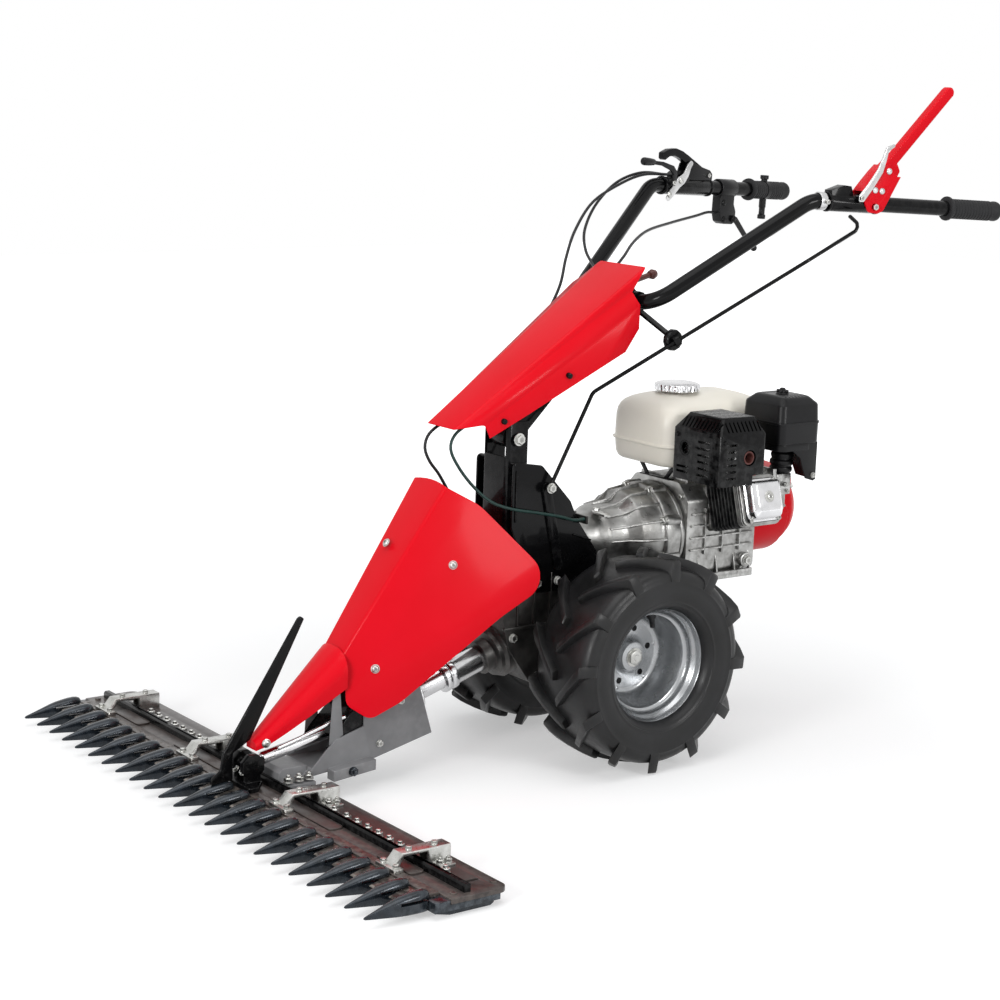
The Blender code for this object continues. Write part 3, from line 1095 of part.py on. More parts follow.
# Lever box under the right handle
BOX_PIN = (0.238, -0.058)
box = sleeve("lever_box", handle_right, 0.196, 0.244)
combine(box, "UNION", extruded(rounded([(0.196, -0.010), (0.196, -0.066), (0.246, -0.070), (0.248, -0.010)],
                                       0.006, 2),
                               "X", -0.011, 0.011),
        rod(0.0035, (0.008, *BOX_PIN), (0.0165, *BOX_PIN), 8), local=True)
combine(box, "DIFFERENCE", rod(TUBE_BORE, (0, 0.185, 0), (0, 0.255, 0), BORE_STEPS), local=True)
side_turn = pivot("side_turn", handle_right, -1, *BOX_PIN)
strap = [(0.230, -0.062), (0.236, -0.050), (0.250, -0.056), (0.300, -0.102), (0.318, -0.112), (0.314, -0.121),
         (0.294, -0.112), (0.244, -0.068)]
side_lever = solid("side_lever", extruded(moved(strap, -BOX_PIN[0], -BOX_PIN[1]), "X", 0.0116, 0.0150),
                   "black",
                   side_turn, local=True)
combine(side_lever, "DIFFERENCE", rod(0.0040, (0.005, 0, 0), (0.020, 0, 0), 8), local=True)

# Control rod from the strip lever to the clutch lever, with its guide on the handlebar
ROD_RADIUS = 0.0035
ROD_X = PLATE_X[1] + 0.0070 + GAP + ROD_RADIUS
ROD_EYE = on_handle(handle_left, 0.0250, 0.066, -0.022)
ROD_BEND = (0.069, -0.050, 0.648)
ROD_KNEE = (0.238, 0.278, 0.8815)
rod_route = bent_route([(ROD_X, -0.133, 0.487), ROD_BEND, ROD_KNEE, (0.249, 0.392, 0.938), ROD_EYE], 0.020, 4)
tube("control_rod", rod_route, ROD_RADIUS, "black", handlebars, 1)
guide_at = Vector((0.060, *tube_low[1:]))
sideways = Vector((1, 0, 0))
collar_solid = [(0, -0.008), (TUBE_RADIUS + 0.0045, -0.008), (TUBE_RADIUS + 0.0045, 0.008), (0, 0.008)]
guide = solid("rod_guide", turned(collar_solid, guide_at, sideways, BORE_STEPS), "black", handlebars)
rod_slope = (Vector(ROD_KNEE) - Vector(ROD_BEND)).normalized()
ROD_AT = Vector(ROD_BEND) + rod_slope * 0.170
strap_top = guide_at + Vector((0.002, 0.004, -TUBE_RADIUS - 0.0020))
strap_low = ROD_AT + Vector((-0.012, 0.0, 0.004))
ring = []
for place, half in ((strap_top, 0.0065), (strap_low, 0.0060)):
    ring.append([place + Vector((0, a * half, b * 0.0025)) for a, b in ((-1, -1), (1, -1), (1, 1), (-1, 1))])
combine(guide, "UNION", lofted(ring),
        turned([(0, 0), (0.017, 0), (0.019, 0.004), (0.019, 0.010), (0.015, 0.015), (0, 0.016)],
               ROD_AT + Vector((-0.0052, 0.0007, 0.0004)), -sideways, 12, 0.3),
        turned([(0, -0.005), (0.0095, -0.005), (0.0095, 0.005), (0, 0.005)], ROD_AT, rod_slope, 10))
combine(guide, "DIFFERENCE",
        turned([(0, -0.030), (ROD_RADIUS + 0.0008, -0.030), (ROD_RADIUS + 0.0008, 0.030), (0, 0.030)], ROD_AT,
               rod_slope, 10),
        turned([(0, -0.030), (TUBE_BORE, -0.030), (TUBE_BORE, 0.030), (0, 0.030)], guide_at, sideways,
               BORE_STEPS))

# Cables: two from the right-hand controls through the hood to the gearbox, one from the lever box,
# and one from the clutch fork
CABLE_RADIUS = 0.0027
CABLE_STEP = 0.0172
start = [on_handle(handle_right, 0.005, 0.058 - GAP, 0.0205), on_handle(handle_right, 0.005, 0.038, 0.0205)]
route = start + [(-0.2105, 0.276, 1.002), (-0.205, 0.215, 0.985), (-0.192, 0.142, 0.953),
                 (-0.172, 0.088, 0.905),
                 (-0.150, 0.052, 0.858), (-0.128, 0.022, 0.808), (-0.116, -0.022, 0.746),
                 (-0.108, -0.056, 0.689),
                 (-0.084, -0.088, 0.654), (-0.056, -0.126, 0.640), (-0.036, -0.188, 0.633),
                 (-0.028, -0.250, 0.616),
                 (-0.025, -0.300, 0.597), (-0.023, -0.327, 0.581), (-0.021, -0.336, 0.559),
                 (-0.019, -0.327, 0.535),
                 (-0.017, -0.306, 0.508), (-0.014, -0.280, 0.460), (-0.013, -0.267, 0.400),
                 (-0.013, -0.259, 0.345),
                 (-0.013, -0.250, 0.316), (-0.013, -0.237, 0.309), (-0.013, -0.215 - GAP, 0.309)]
tube("brake_cable", smooth_route(route, CABLE_STEP), CABLE_RADIUS, "rubber", machine)
start = [on_handle(handle_right, -0.005, 0.058 - GAP, 0.0205), on_handle(handle_right, -0.005, 0.038, 0.0205)]
route = start + [(-0.219, 0.276, 1.005), (-0.215, 0.215, 0.987), (-0.200, 0.156, 0.948),
                 (-0.172, 0.110, 0.905),
                 (-0.140, 0.088, 0.872), (-0.098, 0.072, 0.850), (-0.070, 0.060, 0.842),
                 (-0.050, 0.0470, 0.8385),
                 (-0.036, 0.030, 0.8255), (-0.026, 0.010, 0.8090), (-0.022, 0.000, 0.8020)]
tube("throttle_cable", smooth_route(route, CABLE_STEP), CABLE_RADIUS, "rubber", machine)
box_front = on_handle(handle_right, 0.0, 0.196 - GAP, -0.048)
route = [box_front, on_handle(handle_right, 0.0, 0.172, -0.048), (-0.226, 0.425, 0.922),
         (-0.185, 0.330, 0.914),
         (-0.130, 0.225, 0.905), (-0.080, 0.150, 0.889), (-0.045, 0.100, 0.868), (-0.029, 0.066, 0.8490),
         (-0.021, 0.0447, 0.8372), (-0.013, 0.028, 0.8255), (-0.009, 0.0140, 0.8175)]
tube("box_cable", smooth_route(route, CABLE_STEP), CABLE_RADIUS, "rubber", handlebars)
# Engine: crankcase, finned cylinder and head as one casting
lean_s = Vector((math.cos(CYLINDER_LEAN), math.sin(CYLINDER_LEAN)))
lean_t = Vector((-lean_s.y, lean_s.x))


def leaned(s0, s1, t0, t1):
    """A rectangle along the leaning cylinder, as (x, z) points."""
    origin = Vector((0, CRANK_Z))
    return [tuple(origin + lean_s * s + lean_t * t) for s, t in ((s0, t0), (s1, t0), (s1, t1), (s0, t1))]


CASE_FRONT = BELL_REAR_Y + GAP
CASE_BACK = 0.330
crankcase = rounded([(-0.088, 0.300), (0.088, 0.300), (0.088, 0.440), (0.060, 0.470), (-0.060, 0.470),
                     (-0.088, 0.440)],
                    0.012, 2)
engine = solid("engine_block", extruded(crankcase, "Y", CASE_FRONT + 0.012, CASE_BACK), "aluminium", machine)
combine(engine, "UNION",
        turned([(0, CASE_FRONT), (0.090, CASE_FRONT), (0.090, CASE_FRONT + 0.010),
                (0.080, CASE_FRONT + 0.016),
                (0, CASE_FRONT + 0.016)], (0, 0, BELL_Z), (0, 1, 0), 20),
        extruded(leaned(0.030, 0.172, -0.036, 0.036), "Y", CYLINDER_Y - 0.036, CYLINDER_Y + 0.036),
        block((-0.096, 0.096), (0.190, 0.322), (0.290, 0.304)),
        block((-0.060, 0.050), (0.165, 0.185), (0.462, TANK_Z[0] - GAP)),
        block((-0.060, 0.050), (0.300, 0.320), (0.462, TANK_Z[0] - GAP)))
FIN_PITCH = 0.0095
for i in range(FIN_COUNT):
    start = 0.097 + i * FIN_PITCH
    combine(engine, "UNION", extruded(leaned(start, start + 0.003, -0.045, 0.045), "Y", CYLINDER_Y - 0.045,
                                      CYLINDER_Y + 0.045))
combine(engine, "UNION", extruded(leaned(0.166, 0.188, -0.044, 0.044), "Y", CYLINDER_Y - 0.044,
                                  CYLINDER_Y + 0.044))
COVER_S = 0.188 + GAP
cover = solid("valve_cover", extruded(leaned(COVER_S, COVER_S + 0.022, -0.038, 0.038), "Y",
                                      CYLINDER_Y - 0.040,
                                      CYLINDER_Y + 0.040), "bright", machine)
bevel(cover, 0.005)

# Blower housing and recoil starter behind the crankcase
shroud = rounded([(-0.100, 0.312), (0.104, 0.312), (0.112, 0.480), (-0.060, 0.490), (-0.100, 0.440)],
                 [0.05, 0.03, 0.03, 0.03, 0.04], 3)
blower = solid("blower_housing", extruded(shroud, "Y", CASE_BACK + GAP, 0.412), "red", machine)
bevel(blower, 0.006, 1)
recoil = [(0, 0.412 + GAP), (0.078, 0.412 + GAP), (0.078, 0.430), (0.068, 0.448), (0.030, 0.452), (0, 0.452)]
starter = solid("recoil_starter", turned(recoil, (0, 0, CRANK_Z), (0, 1, 0), 20), "red", machine)
PULL_AT = (-0.052, 0.440, 0.470)
combine(starter, "UNION", rod(0.010, (PULL_AT[0], PULL_AT[1], 0.445), (PULL_AT[0], PULL_AT[1], PULL_AT[2]),
                              12))
pull = holder("starter_pull", (PULL_AT[0], PULL_AT[1], PULL_AT[2]), machine)
pull_grip = solid("starter_grip", rod(0.0060, (PULL_AT[0], PULL_AT[1], PULL_AT[2] + GAP),
                                      (PULL_AT[0], PULL_AT[1], PULL_AT[2] + 0.016), 10), "rubber", pull)
combine(pull_grip, "UNION", rod(0.0075, (PULL_AT[0] - 0.028, PULL_AT[1], PULL_AT[2] + 0.018),
                                (PULL_AT[0] + 0.028, PULL_AT[1], PULL_AT[2] + 0.018), 10))

# Fuel tank and cap
tank_middle = Vector(((TANK_X[0] + TANK_X[1]) / 2, (TANK_Y[0] + TANK_Y[1]) / 2))
tank_half = Vector(((TANK_X[1] - TANK_X[0]) / 2, (TANK_Y[1] - TANK_Y[0]) / 2))


def tank_ring(z, inset, radius):
    """The tank's outline at a height, drawn in by an inset."""
    u = tank_half.x - inset
    v = tank_half.y - inset
    outline = rounded([(-u, -v), (u, -v), (u, v), (-u, v)], radius, 3)
    return [(tank_middle.x + a, tank_middle.y + b, z) for a, b in outline]


seam = 0.0016
tank = solid("fuel_tank", lofted([
    tank_ring(TANK_Z[0], 0.010, 0.026), tank_ring(TANK_Z[0] + 0.012, 0.002, 0.032),
    tank_ring(TANK_SEAM_Z - seam, 0.001, 0.033), tank_ring(TANK_SEAM_Z - seam + 0.0001, -0.0035, 0.036),
    tank_ring(TANK_SEAM_Z + seam - 0.0001, -0.0035, 0.036), tank_ring(TANK_SEAM_Z + seam, 0.001, 0.033),
    tank_ring(0.584, 0.002, 0.032), tank_ring(0.601, 0.012, 0.030), tank_ring(0.612, 0.028, 0.026),
    tank_ring(TANK_Z[1], 0.044, 0.020)]), "cream", machine)
CAP_AT = (-0.012, 0.212, TANK_Z[1] + GAP)
cap_turn = holder("cap_turn", CAP_AT, machine)
cap = [(0, 0), (0.030, 0), (0.031, 0.003), (CAP_RADIUS, 0.003), (CAP_RADIUS, 0.014),
       (CAP_RADIUS - 0.007, 0.018),
       (0, 0.019)]
fuel_cap = solid("fuel_cap", turned(cap, CAP_AT, (0, 0, 1), 20), "zinc", cap_turn)

# Muffler guard: a folded box with slots and an outlet
GUARD_X = (0.0755, 0.2025)
GUARD_Y = (0.132, 0.239)
GUARD_Z = (0.487, 0.577, 0.605)
hood_line = [(GUARD_X[0], GUARD_Z[0]), (GUARD_X[1], GUARD_Z[0]), (GUARD_X[1], GUARD_Z[1]),
             (GUARD_X[1] - 0.018, GUARD_Z[2]), (GUARD_X[0] + 0.022, GUARD_Z[2]), (GUARD_X[0], GUARD_Z[1])]
muffler = solid("muffler_guard", extruded(hood_line, "Y", *GUARD_Y), "black", machine)
combine(muffler, "DIFFERENCE",
        extruded(leaned(0.050, 0.240, -0.080, 0.045 + GAP), "Y", CYLINDER_Y - 0.045 - GAP,
                 CYLINDER_Y + 0.060),
        rod(0.0135, (GUARD_X[1] - 0.006, 0.170, 0.545), (GUARD_X[1] + 0.010, 0.170, 0.545), 12),
        rod(0.0120, (0.104, GUARD_Y[0] - 0.010, 0.545), (0.104, GUARD_Y[0] + 0.006, 0.545), 12))
for i in range(5):
    y = GUARD_Y[0] + 0.016 + i * 0.019
    combine(muffler, "DIFFERENCE", block((GUARD_X[0] + 0.032, GUARD_X[1] - 0.030), (y - 0.003, y + 0.003),
                                         (GUARD_Z[2] - 0.005, GUARD_Z[2] + 0.010)))
for i in range(4):
    x = GUARD_X[0] + 0.052 + i * 0.016
    combine(muffler, "DIFFERENCE", block((x - 0.003, x + 0.003), (GUARD_Y[0] - 0.010, GUARD_Y[0] + 0.005),
                                         (0.512, 0.566)))

# Carburettor and air cleaner on the cylinder's rear face
carb_front = CYLINDER_Y + 0.045 + GAP
carburettor = solid("carburettor", block((0.118, 0.156), (carb_front + 0.008, 0.352), (0.448, 0.490)),
                    "aluminium",
                    machine)
combine(carburettor, "UNION", block((0.114, 0.160), (carb_front, carb_front + 0.010), (0.440, 0.500)),
        rod(0.017, (0.136, 0.333, 0.425), (0.136, 0.333, 0.450), 16))
CLEANER_Z = 0.548
base = solid("cleaner_base", block((0.088, 0.182), (0.292, 0.378), (0.534, CLEANER_Z)), "black", machine)
combine(base, "UNION", block((0.114, 0.158), (0.318, 0.366), (0.490 + GAP, 0.536)))
top = rounded([(0.080, 0.285), (0.190, 0.285), (0.190, 0.385), (0.080, 0.385)], 0.022, 3)
cleaner = solid("air_cleaner", extruded(top, "Z", CLEANER_Z + GAP, 0.632), "black", machine)
combine(cleaner, "UNION", turned([(0, 0.628), (0.012, 0.628), (0.012, 0.640), (0.009, 0.643), (0, 0.643)],
                                 (0.135, 0.335, 0), (0, 0, 1), 12))
bevel(cleaner, 0.006)

# Clutch fork lever on top of the bell
FORK_AT = (0.030, 0.000)
FORK_Z = 0.4245
combine(bell_housing, "UNION", rod(0.0075, (*FORK_AT, 0.395), (*FORK_AT, FORK_Z), 12))
fork_turn = holder("fork_turn", (*FORK_AT, FORK_Z), machine)
fork = solid("fork_lever", extruded(capsule(FORK_AT, (0.064, -0.006), 0.0075), "Z", FORK_Z + GAP,
                                    FORK_Z + GAP + 0.004),
             "zinc", fork_turn)
combine(fork, "UNION", rod(0.0055, (*FORK_AT, FORK_Z + 0.003), (*FORK_AT, FORK_Z + 0.009), 10))


STOP_Y = (-0.0530, -0.0490)
combine(gearbox, "UNION", block((0.025, 0.070), STOP_Y, (0.416, 0.4300)))
route = [(0.064, STOP_Y[0] - GAP, 0.4250), (0.064, -0.076, 0.4250), (0.0665, -0.110, 0.4350),
         (0.0660, -0.160, 0.4460),
         (0.0620, -0.213, 0.4570), (0.0545, -0.251, 0.4720), (0.0430, -0.279, 0.4980),
         (0.0340, -0.303, 0.5300),
         (0.0290, -0.318, 0.5620), (0.0240, -0.306, 0.5860), (0.0200, -0.270, 0.6050),
         (0.0140, -0.215, 0.6340),
         (0.0105, -0.170, 0.6620), (0.0100, -0.1318, 0.6800)]
tube("clutch_cable", smooth_route(route, CABLE_STEP), CABLE_RADIUS, "green", machine)
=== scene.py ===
# %% [markdown]
# # A walking finger-bar mower, dressed for a studio picture
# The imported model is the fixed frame: every node has its true size and place there. This script
# keeps that frame and gives it a finer skin, the small fasteners and the finishes of the real
# machine. All places are written in metres with y = 0 at the wheel axle, as a designer of the
# machine would write them, and SHIFT moves them into the frame, whose origin lies under the middle.

# %% Load the frame
import json
import math

import bmesh
import bpy
from mathutils import Matrix, Vector


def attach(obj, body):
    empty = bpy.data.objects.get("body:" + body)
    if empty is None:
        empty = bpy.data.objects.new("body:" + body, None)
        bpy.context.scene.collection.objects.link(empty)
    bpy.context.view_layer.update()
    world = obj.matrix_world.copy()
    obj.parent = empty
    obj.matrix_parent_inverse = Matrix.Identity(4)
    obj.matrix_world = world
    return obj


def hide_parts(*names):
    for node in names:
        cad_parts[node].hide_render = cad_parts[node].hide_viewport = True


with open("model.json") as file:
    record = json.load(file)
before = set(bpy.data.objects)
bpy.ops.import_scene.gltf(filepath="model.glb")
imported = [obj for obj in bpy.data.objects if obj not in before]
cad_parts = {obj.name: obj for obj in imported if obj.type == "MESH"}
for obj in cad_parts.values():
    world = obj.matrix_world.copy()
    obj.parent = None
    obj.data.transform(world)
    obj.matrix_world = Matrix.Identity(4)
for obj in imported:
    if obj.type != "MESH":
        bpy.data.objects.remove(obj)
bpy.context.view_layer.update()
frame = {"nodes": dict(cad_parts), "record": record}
SHIFT = Vector((0.0, 0.058, 0.0))


# %% [markdown]
# ## Camera
# The picture was taken with a long lens from the machine's front left, a little above the hood.
# Pan, tilt and roll are turned into the camera's own three axes.

# %% Camera
LENS_MM = 80.15
CAMERA_AT = Vector((3.0202, -2.4429, 1.2025)) + SHIFT
PAN, TILT, ROLL = (math.radians(a) for a in (53.28, 11.158, 1.971))

ahead = Vector((-math.sin(PAN) * math.cos(TILT), math.cos(PAN) * math.cos(TILT), -math.sin(TILT)))
level = Vector((math.cos(PAN), math.sin(PAN), 0.0))
upward = level.cross(ahead)
across = level * math.cos(ROLL) + upward * math.sin(ROLL)
camera_data = bpy.data.cameras.new("camera")
camera_data.lens = LENS_MM
camera_data.sensor_width = 36.0
camera_data.clip_end = 60.0
camera = bpy.data.objects.new("camera", camera_data)
bpy.context.scene.collection.objects.link(camera)
turn = Matrix((across, (-ahead).cross(across), -ahead)).transposed()
camera.matrix_world = Matrix.Translation(CAMERA_AT) @ turn.to_4x4()
bpy.context.scene.camera = camera
bpy.context.scene.view_settings.view_transform = "Standard"

# %% [markdown]
# ## Light and floor
# A product picture on white: one wide soft lamp overhead, two small ones left and right of the camera,
# and an even world. Camera, mirror and glass rays see a plain white world, so the background is white
# without putting more light on the machine. The floor glows a little for the same rays, more so away
# from the machine, and keeps only the soft shadow at its feet.

# %% Helpers for nodes
def set_inputs(tree, node, inputs):
    """Give each input of a node its value, or a link when it is given a socket."""
    for label, value in inputs.items():
        if isinstance(value, bpy.types.NodeSocket):
            tree.links.new(value, node.inputs[label])
        else:
            node.inputs[label].default_value = value
    return node


def new_node(tree, kind, inputs=None, **settings):
    """A new node with its settings and its inputs."""
    made = tree.nodes.new(kind)
    for label, value in settings.items():
        setattr(made, label, value)
    return set_inputs(tree, made, inputs or {})


def maths(tree, how, a, b):
    """One Math node; a and b may be numbers or sockets."""
    return new_node(tree, "ShaderNodeMath", {0: a, 1: b}, operation=how).outputs[0]


def spread(tree, value, low, high, to_low=0.0, to_high=1.0):
    """Stretch a value's range."""
    return new_node(
        tree, "ShaderNodeMapRange", {"Value": value, "From Min": low, "From Max": high, "To Min": to_low,
            "To Max": to_high}).outputs[0]


def object_place(tree):
    """The place of a shaded point in its object's own coordinates."""
    return tree.nodes.new("ShaderNodeTexCoord").outputs["Object"]


# %% Lamps and world
WHITE = (1.0, 1.0, 1.0, 1.0)
SOFT_WHITE = (0.96, 0.98, 1.0, 1.0)
WORLD_STRENGTH = 0.52
MIDDLE = (0.0, 0.0, 0.5)


def lamp(name, at, size, watts):
    """A square soft lamp that looks at the machine's middle."""
    data = bpy.data.lights.new(name, "AREA")
    data.shape = "SQUARE"
    data.size = size
    data.energy = watts
    made = bpy.data.objects.new(name, data)
    made.location = at
    made.rotation_euler = (Vector(MIDDLE) - Vector(at)).to_track_quat("-Z", "Y").to_euler()
    bpy.context.scene.collection.objects.link(made)


lamp("lamp_over", (0.6, -0.7, 4.0), 3.2, 60.0)
lamp("lamp_left", (1.5, -3.9, 1.5), 1.1, 66.0)
lamp("lamp_right", (4.0, 0.8, 1.8), 1.0, 46.0)

world = bpy.data.worlds.new("studio")
bpy.context.scene.world = world
world.use_nodes = True
tree = world.node_tree
tree.nodes.clear()
rays = tree.nodes.new("ShaderNodeLightPath").outputs
seen = maths(tree, "MAXIMUM", rays["Is Camera Ray"], rays["Is Transmission Ray"])
shiny = maths(tree, "MAXIMUM", seen, rays["Is Glossy Ray"])
soft = new_node(tree, "ShaderNodeBackground", {"Color": SOFT_WHITE, "Strength": WORLD_STRENGTH})
white = new_node(tree, "ShaderNodeBackground", {"Color": WHITE, "Strength": 1.0})
both = new_node(tree, "ShaderNodeMixShader", {0: shiny, 1: soft.outputs[0], 2: white.outputs[0]})
new_node(tree, "ShaderNodeOutputWorld", {"Surface": both.outputs[0]})

# %% Floor
FLOOR_HALF = 9.0
FLOOR_DROP = 0.0004
FLOOR_GREY = (0.62, 0.62, 0.62, 1.0)
GLOW_NEAR, GLOW_FAR = 0.7, 3.2
floor_shape = bmesh.new()
bmesh.ops.create_grid(floor_shape, x_segments=1, y_segments=1, size=FLOOR_HALF)
floor_mesh = bpy.data.meshes.new("floor")
floor_shape.to_mesh(floor_mesh)
floor_shape.free()
floor = bpy.data.objects.new("floor", floor_mesh)
floor.location.z = -FLOOR_DROP
bpy.context.scene.collection.objects.link(floor)
pale = bpy.data.materials.new("pale_floor")
pale.use_nodes = True
tree = pale.node_tree
rays = tree.nodes.new("ShaderNodeLightPath").outputs
direct = maths(tree, "MAXIMUM", rays["Is Camera Ray"], rays["Is Glossy Ray"])
away = new_node(tree, "ShaderNodeVectorMath", {0: object_place(tree)}, operation="LENGTH")
fade = spread(tree, away.outputs["Value"], GLOW_NEAR, GLOW_FAR, 0.42, 1.0)
set_inputs(tree, tree.nodes["Principled BSDF"], {"Base Color": FLOOR_GREY, "Roughness": 0.9,
        "Specular IOR Level": 0.1, "Emission Color": WHITE, "Emission Strength": maths(tree, "MULTIPLY",
            direct, fade)})
floor.data.materials.append(pale)

# %% [markdown]
# ## Finishes
# Paint, plated steel, castings and rubber all vary a little from place to place. Four node groups
# make that variation: a drift of tone, a fine grain, worn edges with painted shade in the hollows,
# and the drawn lines of machined metal. Each material places them with its own values and keeps its own
# shader.

# %% Node groups
FLOAT = "NodeSocketFloat"
COLOUR = "NodeSocketColor"
GREY = (0.5, 0.5, 0.5, 1.0)
BLACK = (0.0, 0.0, 0.0, 1.0)


def new_group(name, inputs, outputs):
    """An empty shader group; returns it with the sockets it is given and its output node."""
    group = bpy.data.node_groups.new(name, "ShaderNodeTree")
    for label, kind, value in inputs:
        socket = group.interface.new_socket(name=label, in_out="INPUT", socket_type=kind)
        socket.default_value = value
    for label, kind in outputs:
        group.interface.new_socket(name=label, in_out="OUTPUT", socket_type=kind)
    return group, group.nodes.new("NodeGroupInput").outputs, group.nodes.new("NodeGroupOutput")


def noise(tree, place, scale, detail=3.0, rough=0.55):
    """A noise texture; its scale may be a number or a socket."""
    return new_node(
        tree, "ShaderNodeTexNoise", {"Vector": place, "Scale": scale, "Detail": detail,
            "Roughness": rough}).outputs[0]


def mixed(tree, share, a, b):
    """A colour mix; a and b may be colours or sockets."""
    return new_node(tree, "ShaderNodeMix", {0: share, 6: a, 7: b}, data_type="RGBA").outputs[2]


def tone_group():
    """Colour and roughness that drift over the surface."""
    group, given, out = new_group(
        "tone_drift", [("Colour", COLOUR, GREY), ("Shade", COLOUR, GREY), ("Size", FLOAT, 20.0),
                       ("Roughness", FLOAT, 0.4), ("Spread", FLOAT, 0.1)],
        [("Colour", COLOUR), ("Roughness", FLOAT)])
    place = object_place(group)
    drift = spread(group, noise(group, place, given["Size"]), 0.32, 0.68)
    smaller = maths(group, "MULTIPLY", given["Size"], 3.7)
    uneven = maths(group, "SUBTRACT", noise(group, place, smaller, 2.0), 0.5)
    swing = maths(group, "MULTIPLY", uneven, given["Spread"])
    set_inputs(group, out, {"Colour": mixed(group, drift, given["Shade"], given["Colour"]),
                            "Roughness": maths(group, "ADD", given["Roughness"], swing)})
    return group


def grain_group():
    """The height of a fine grain: soft for paint, sharper with more Pits for a sand casting."""
    group, given, out = new_group(
        "fine_grain", [("Size", FLOAT, 600.0), ("Pits", FLOAT, 0.0)], [("Height", FLOAT)])
    place = object_place(group)
    fine = noise(group, place, given["Size"], 4.0, 0.6)
    cells = new_node(
        group, "ShaderNodeTexVoronoi", {"Vector": place, "Scale": maths(group, "MULTIPLY", given["Size"],
                0.8)})
    pits = maths(group, "MULTIPLY", cells.outputs["Distance"], given["Pits"])
    set_inputs(group, out, {"Height": maths(group, "ADD", fine, pits)})
    return group


def wear_and_shade_group():
    """Edges that are rubbed lighter, and painted shade that darkens the hollows towards black."""
    group, given, out = new_group(
        "worn_edges_and_hollow_shade", [("Colour", COLOUR, GREY), ("Worn", COLOUR, GREY), ("Amount", FLOAT, 0.5),
                       ("Hollow", FLOAT, 0.3)], [("Colour", COLOUR)])
    sharp = group.nodes.new("ShaderNodeNewGeometry").outputs["Pointiness"]
    edge = spread(group, sharp, 0.52, 0.6)
    patchy = spread(group, noise(group, object_place(group), 90.0, 4.0), 0.42, 0.62)
    rubbed_share = maths(group, "MULTIPLY", maths(group, "MULTIPLY", edge, patchy), given["Amount"])
    rubbed = mixed(group, rubbed_share, given["Colour"], given["Worn"])
    # Painted shade: hollows, found by pointiness, are darkened towards black.
    deep = maths(group, "MULTIPLY", spread(group, sharp, 0.49, 0.42), given["Hollow"])
    set_inputs(group, out, {"Colour": mixed(group, deep, rubbed, BLACK)})
    return group


def drawn_group():
    """Long fine lines, as left by a lathe or a rolling mill, along X, Y or Z by the stretch."""
    group, given, out = new_group(
        "drawn_lines", [("Stretch", "NodeSocketVector", (1.0, 1.0, 1.0)), ("Size", FLOAT, 300.0)],
        [("Height", FLOAT)])
    longer = new_node(
        group, "ShaderNodeVectorMath", {0: object_place(group), 1: given["Stretch"]}, operation="MULTIPLY")
    set_inputs(group, out, {"Height": noise(group, longer.outputs[0], given["Size"], 2.0)})
    return group


GROUPS = {"tone": tone_group(), "grain": grain_group(), "wear": wear_and_shade_group(), "drawn": drawn_group()}


def placed(tree, kind, **values):
    """A group node with its inputs set by value or by link."""
    return new_node(tree, "ShaderNodeGroup", values, node_tree=GROUPS[kind]).outputs


def finish(name, colour, shade, roughness, metallic=0.0, swing=0.12, size=14.0, coat=0.0,
           coat_rough=0.1, grain=(700.0, 0.0), depth=0.0001, worn=None, worn_amount=0.5, hollow=0.25,
           stretch=None, specular=0.5):
    """One material of the machine: its tones, grain, worn edges, painted shade in its hollows, and shader.
    """
    made = bpy.data.materials.new(name)
    made.use_nodes = True
    tree = made.node_tree
    tone = placed(
        tree, "tone", Colour=(*colour, 1.0), Shade=(*shade, 1.0), Size=size, Roughness=roughness,
        Spread=swing)
    edges = placed(
        tree, "wear", Colour=tone["Colour"], Worn=(*(worn or colour), 1.0), Amount=worn_amount
        if worn else 0.0, Hollow=hollow)
    if stretch:
        height = placed(tree, "drawn", Stretch=stretch, Size=grain[0])["Height"]
    else:
        height = placed(tree, "grain", Size=grain[0], Pits=grain[1])["Height"]
    bump = new_node(tree, "ShaderNodeBump", {"Strength": 1.0, "Distance": depth, "Height": height})
    set_inputs(tree, tree.nodes["Principled BSDF"], {"Base Color": edges["Colour"],
            "Roughness": tone["Roughness"], "Metallic": metallic, "IOR": 1.5,
            "Specular IOR Level": specular, "Coat Weight": coat, "Coat Roughness": coat_rough,
            "Normal": bump.outputs[0]})
    made.diffuse_color = (*colour, 1.0)
    return made


# The hollow value of each finish sets how much painted shade darkens its hollows.
red_enamel = finish(
    "red_enamel", (0.72, 0.002, 0.012), (0.67, 0.001, 0.008), 0.4, coat=0.08, coat_rough=0.14,
    swing=0.06, size=6.0, grain=(260.0, 0.0), depth=0.00003, hollow=0.1, specular=0.08)
black_paint = finish(
    "black_paint", (0.0035, 0.0035, 0.004), (0.0018, 0.0018, 0.002), 0.26, coat=0.18,
    coat_rough=0.07, swing=0.1, grain=(420.0, 0.0), depth=0.00004, worn=(0.05, 0.05, 0.05), worn_amount=0.4,
    specular=0.06)
black_plastic = finish(
    "black_plastic", (0.006, 0.006, 0.007), (0.004, 0.004, 0.0045), 0.34, swing=0.12, size=30.0,
    grain=(1500.0, 0.4), depth=0.00005, specular=0.22)
grip_rubber = finish(
    "grip_rubber", (0.012, 0.012, 0.013), (0.008, 0.008, 0.009), 0.6, swing=0.15, size=40.0,
    grain=(1300.0, 0.3), depth=0.00006, specular=0.3)
tyre_rubber = finish(
    "tyre_rubber", (0.012, 0.012, 0.013), (0.005, 0.005, 0.005), 0.36, swing=0.3, size=16.0,
    grain=(900.0, 0.3), depth=0.00012, worn=(0.03, 0.027, 0.024), worn_amount=0.6, specular=0.32)
cable_sheath = finish(
    "cable_sheath", (0.009, 0.009, 0.01), (0.006, 0.006, 0.007), 0.35, swing=0.1, size=60.0,
    grain=(900.0, 0.0), depth=0.00003, specular=0.3)
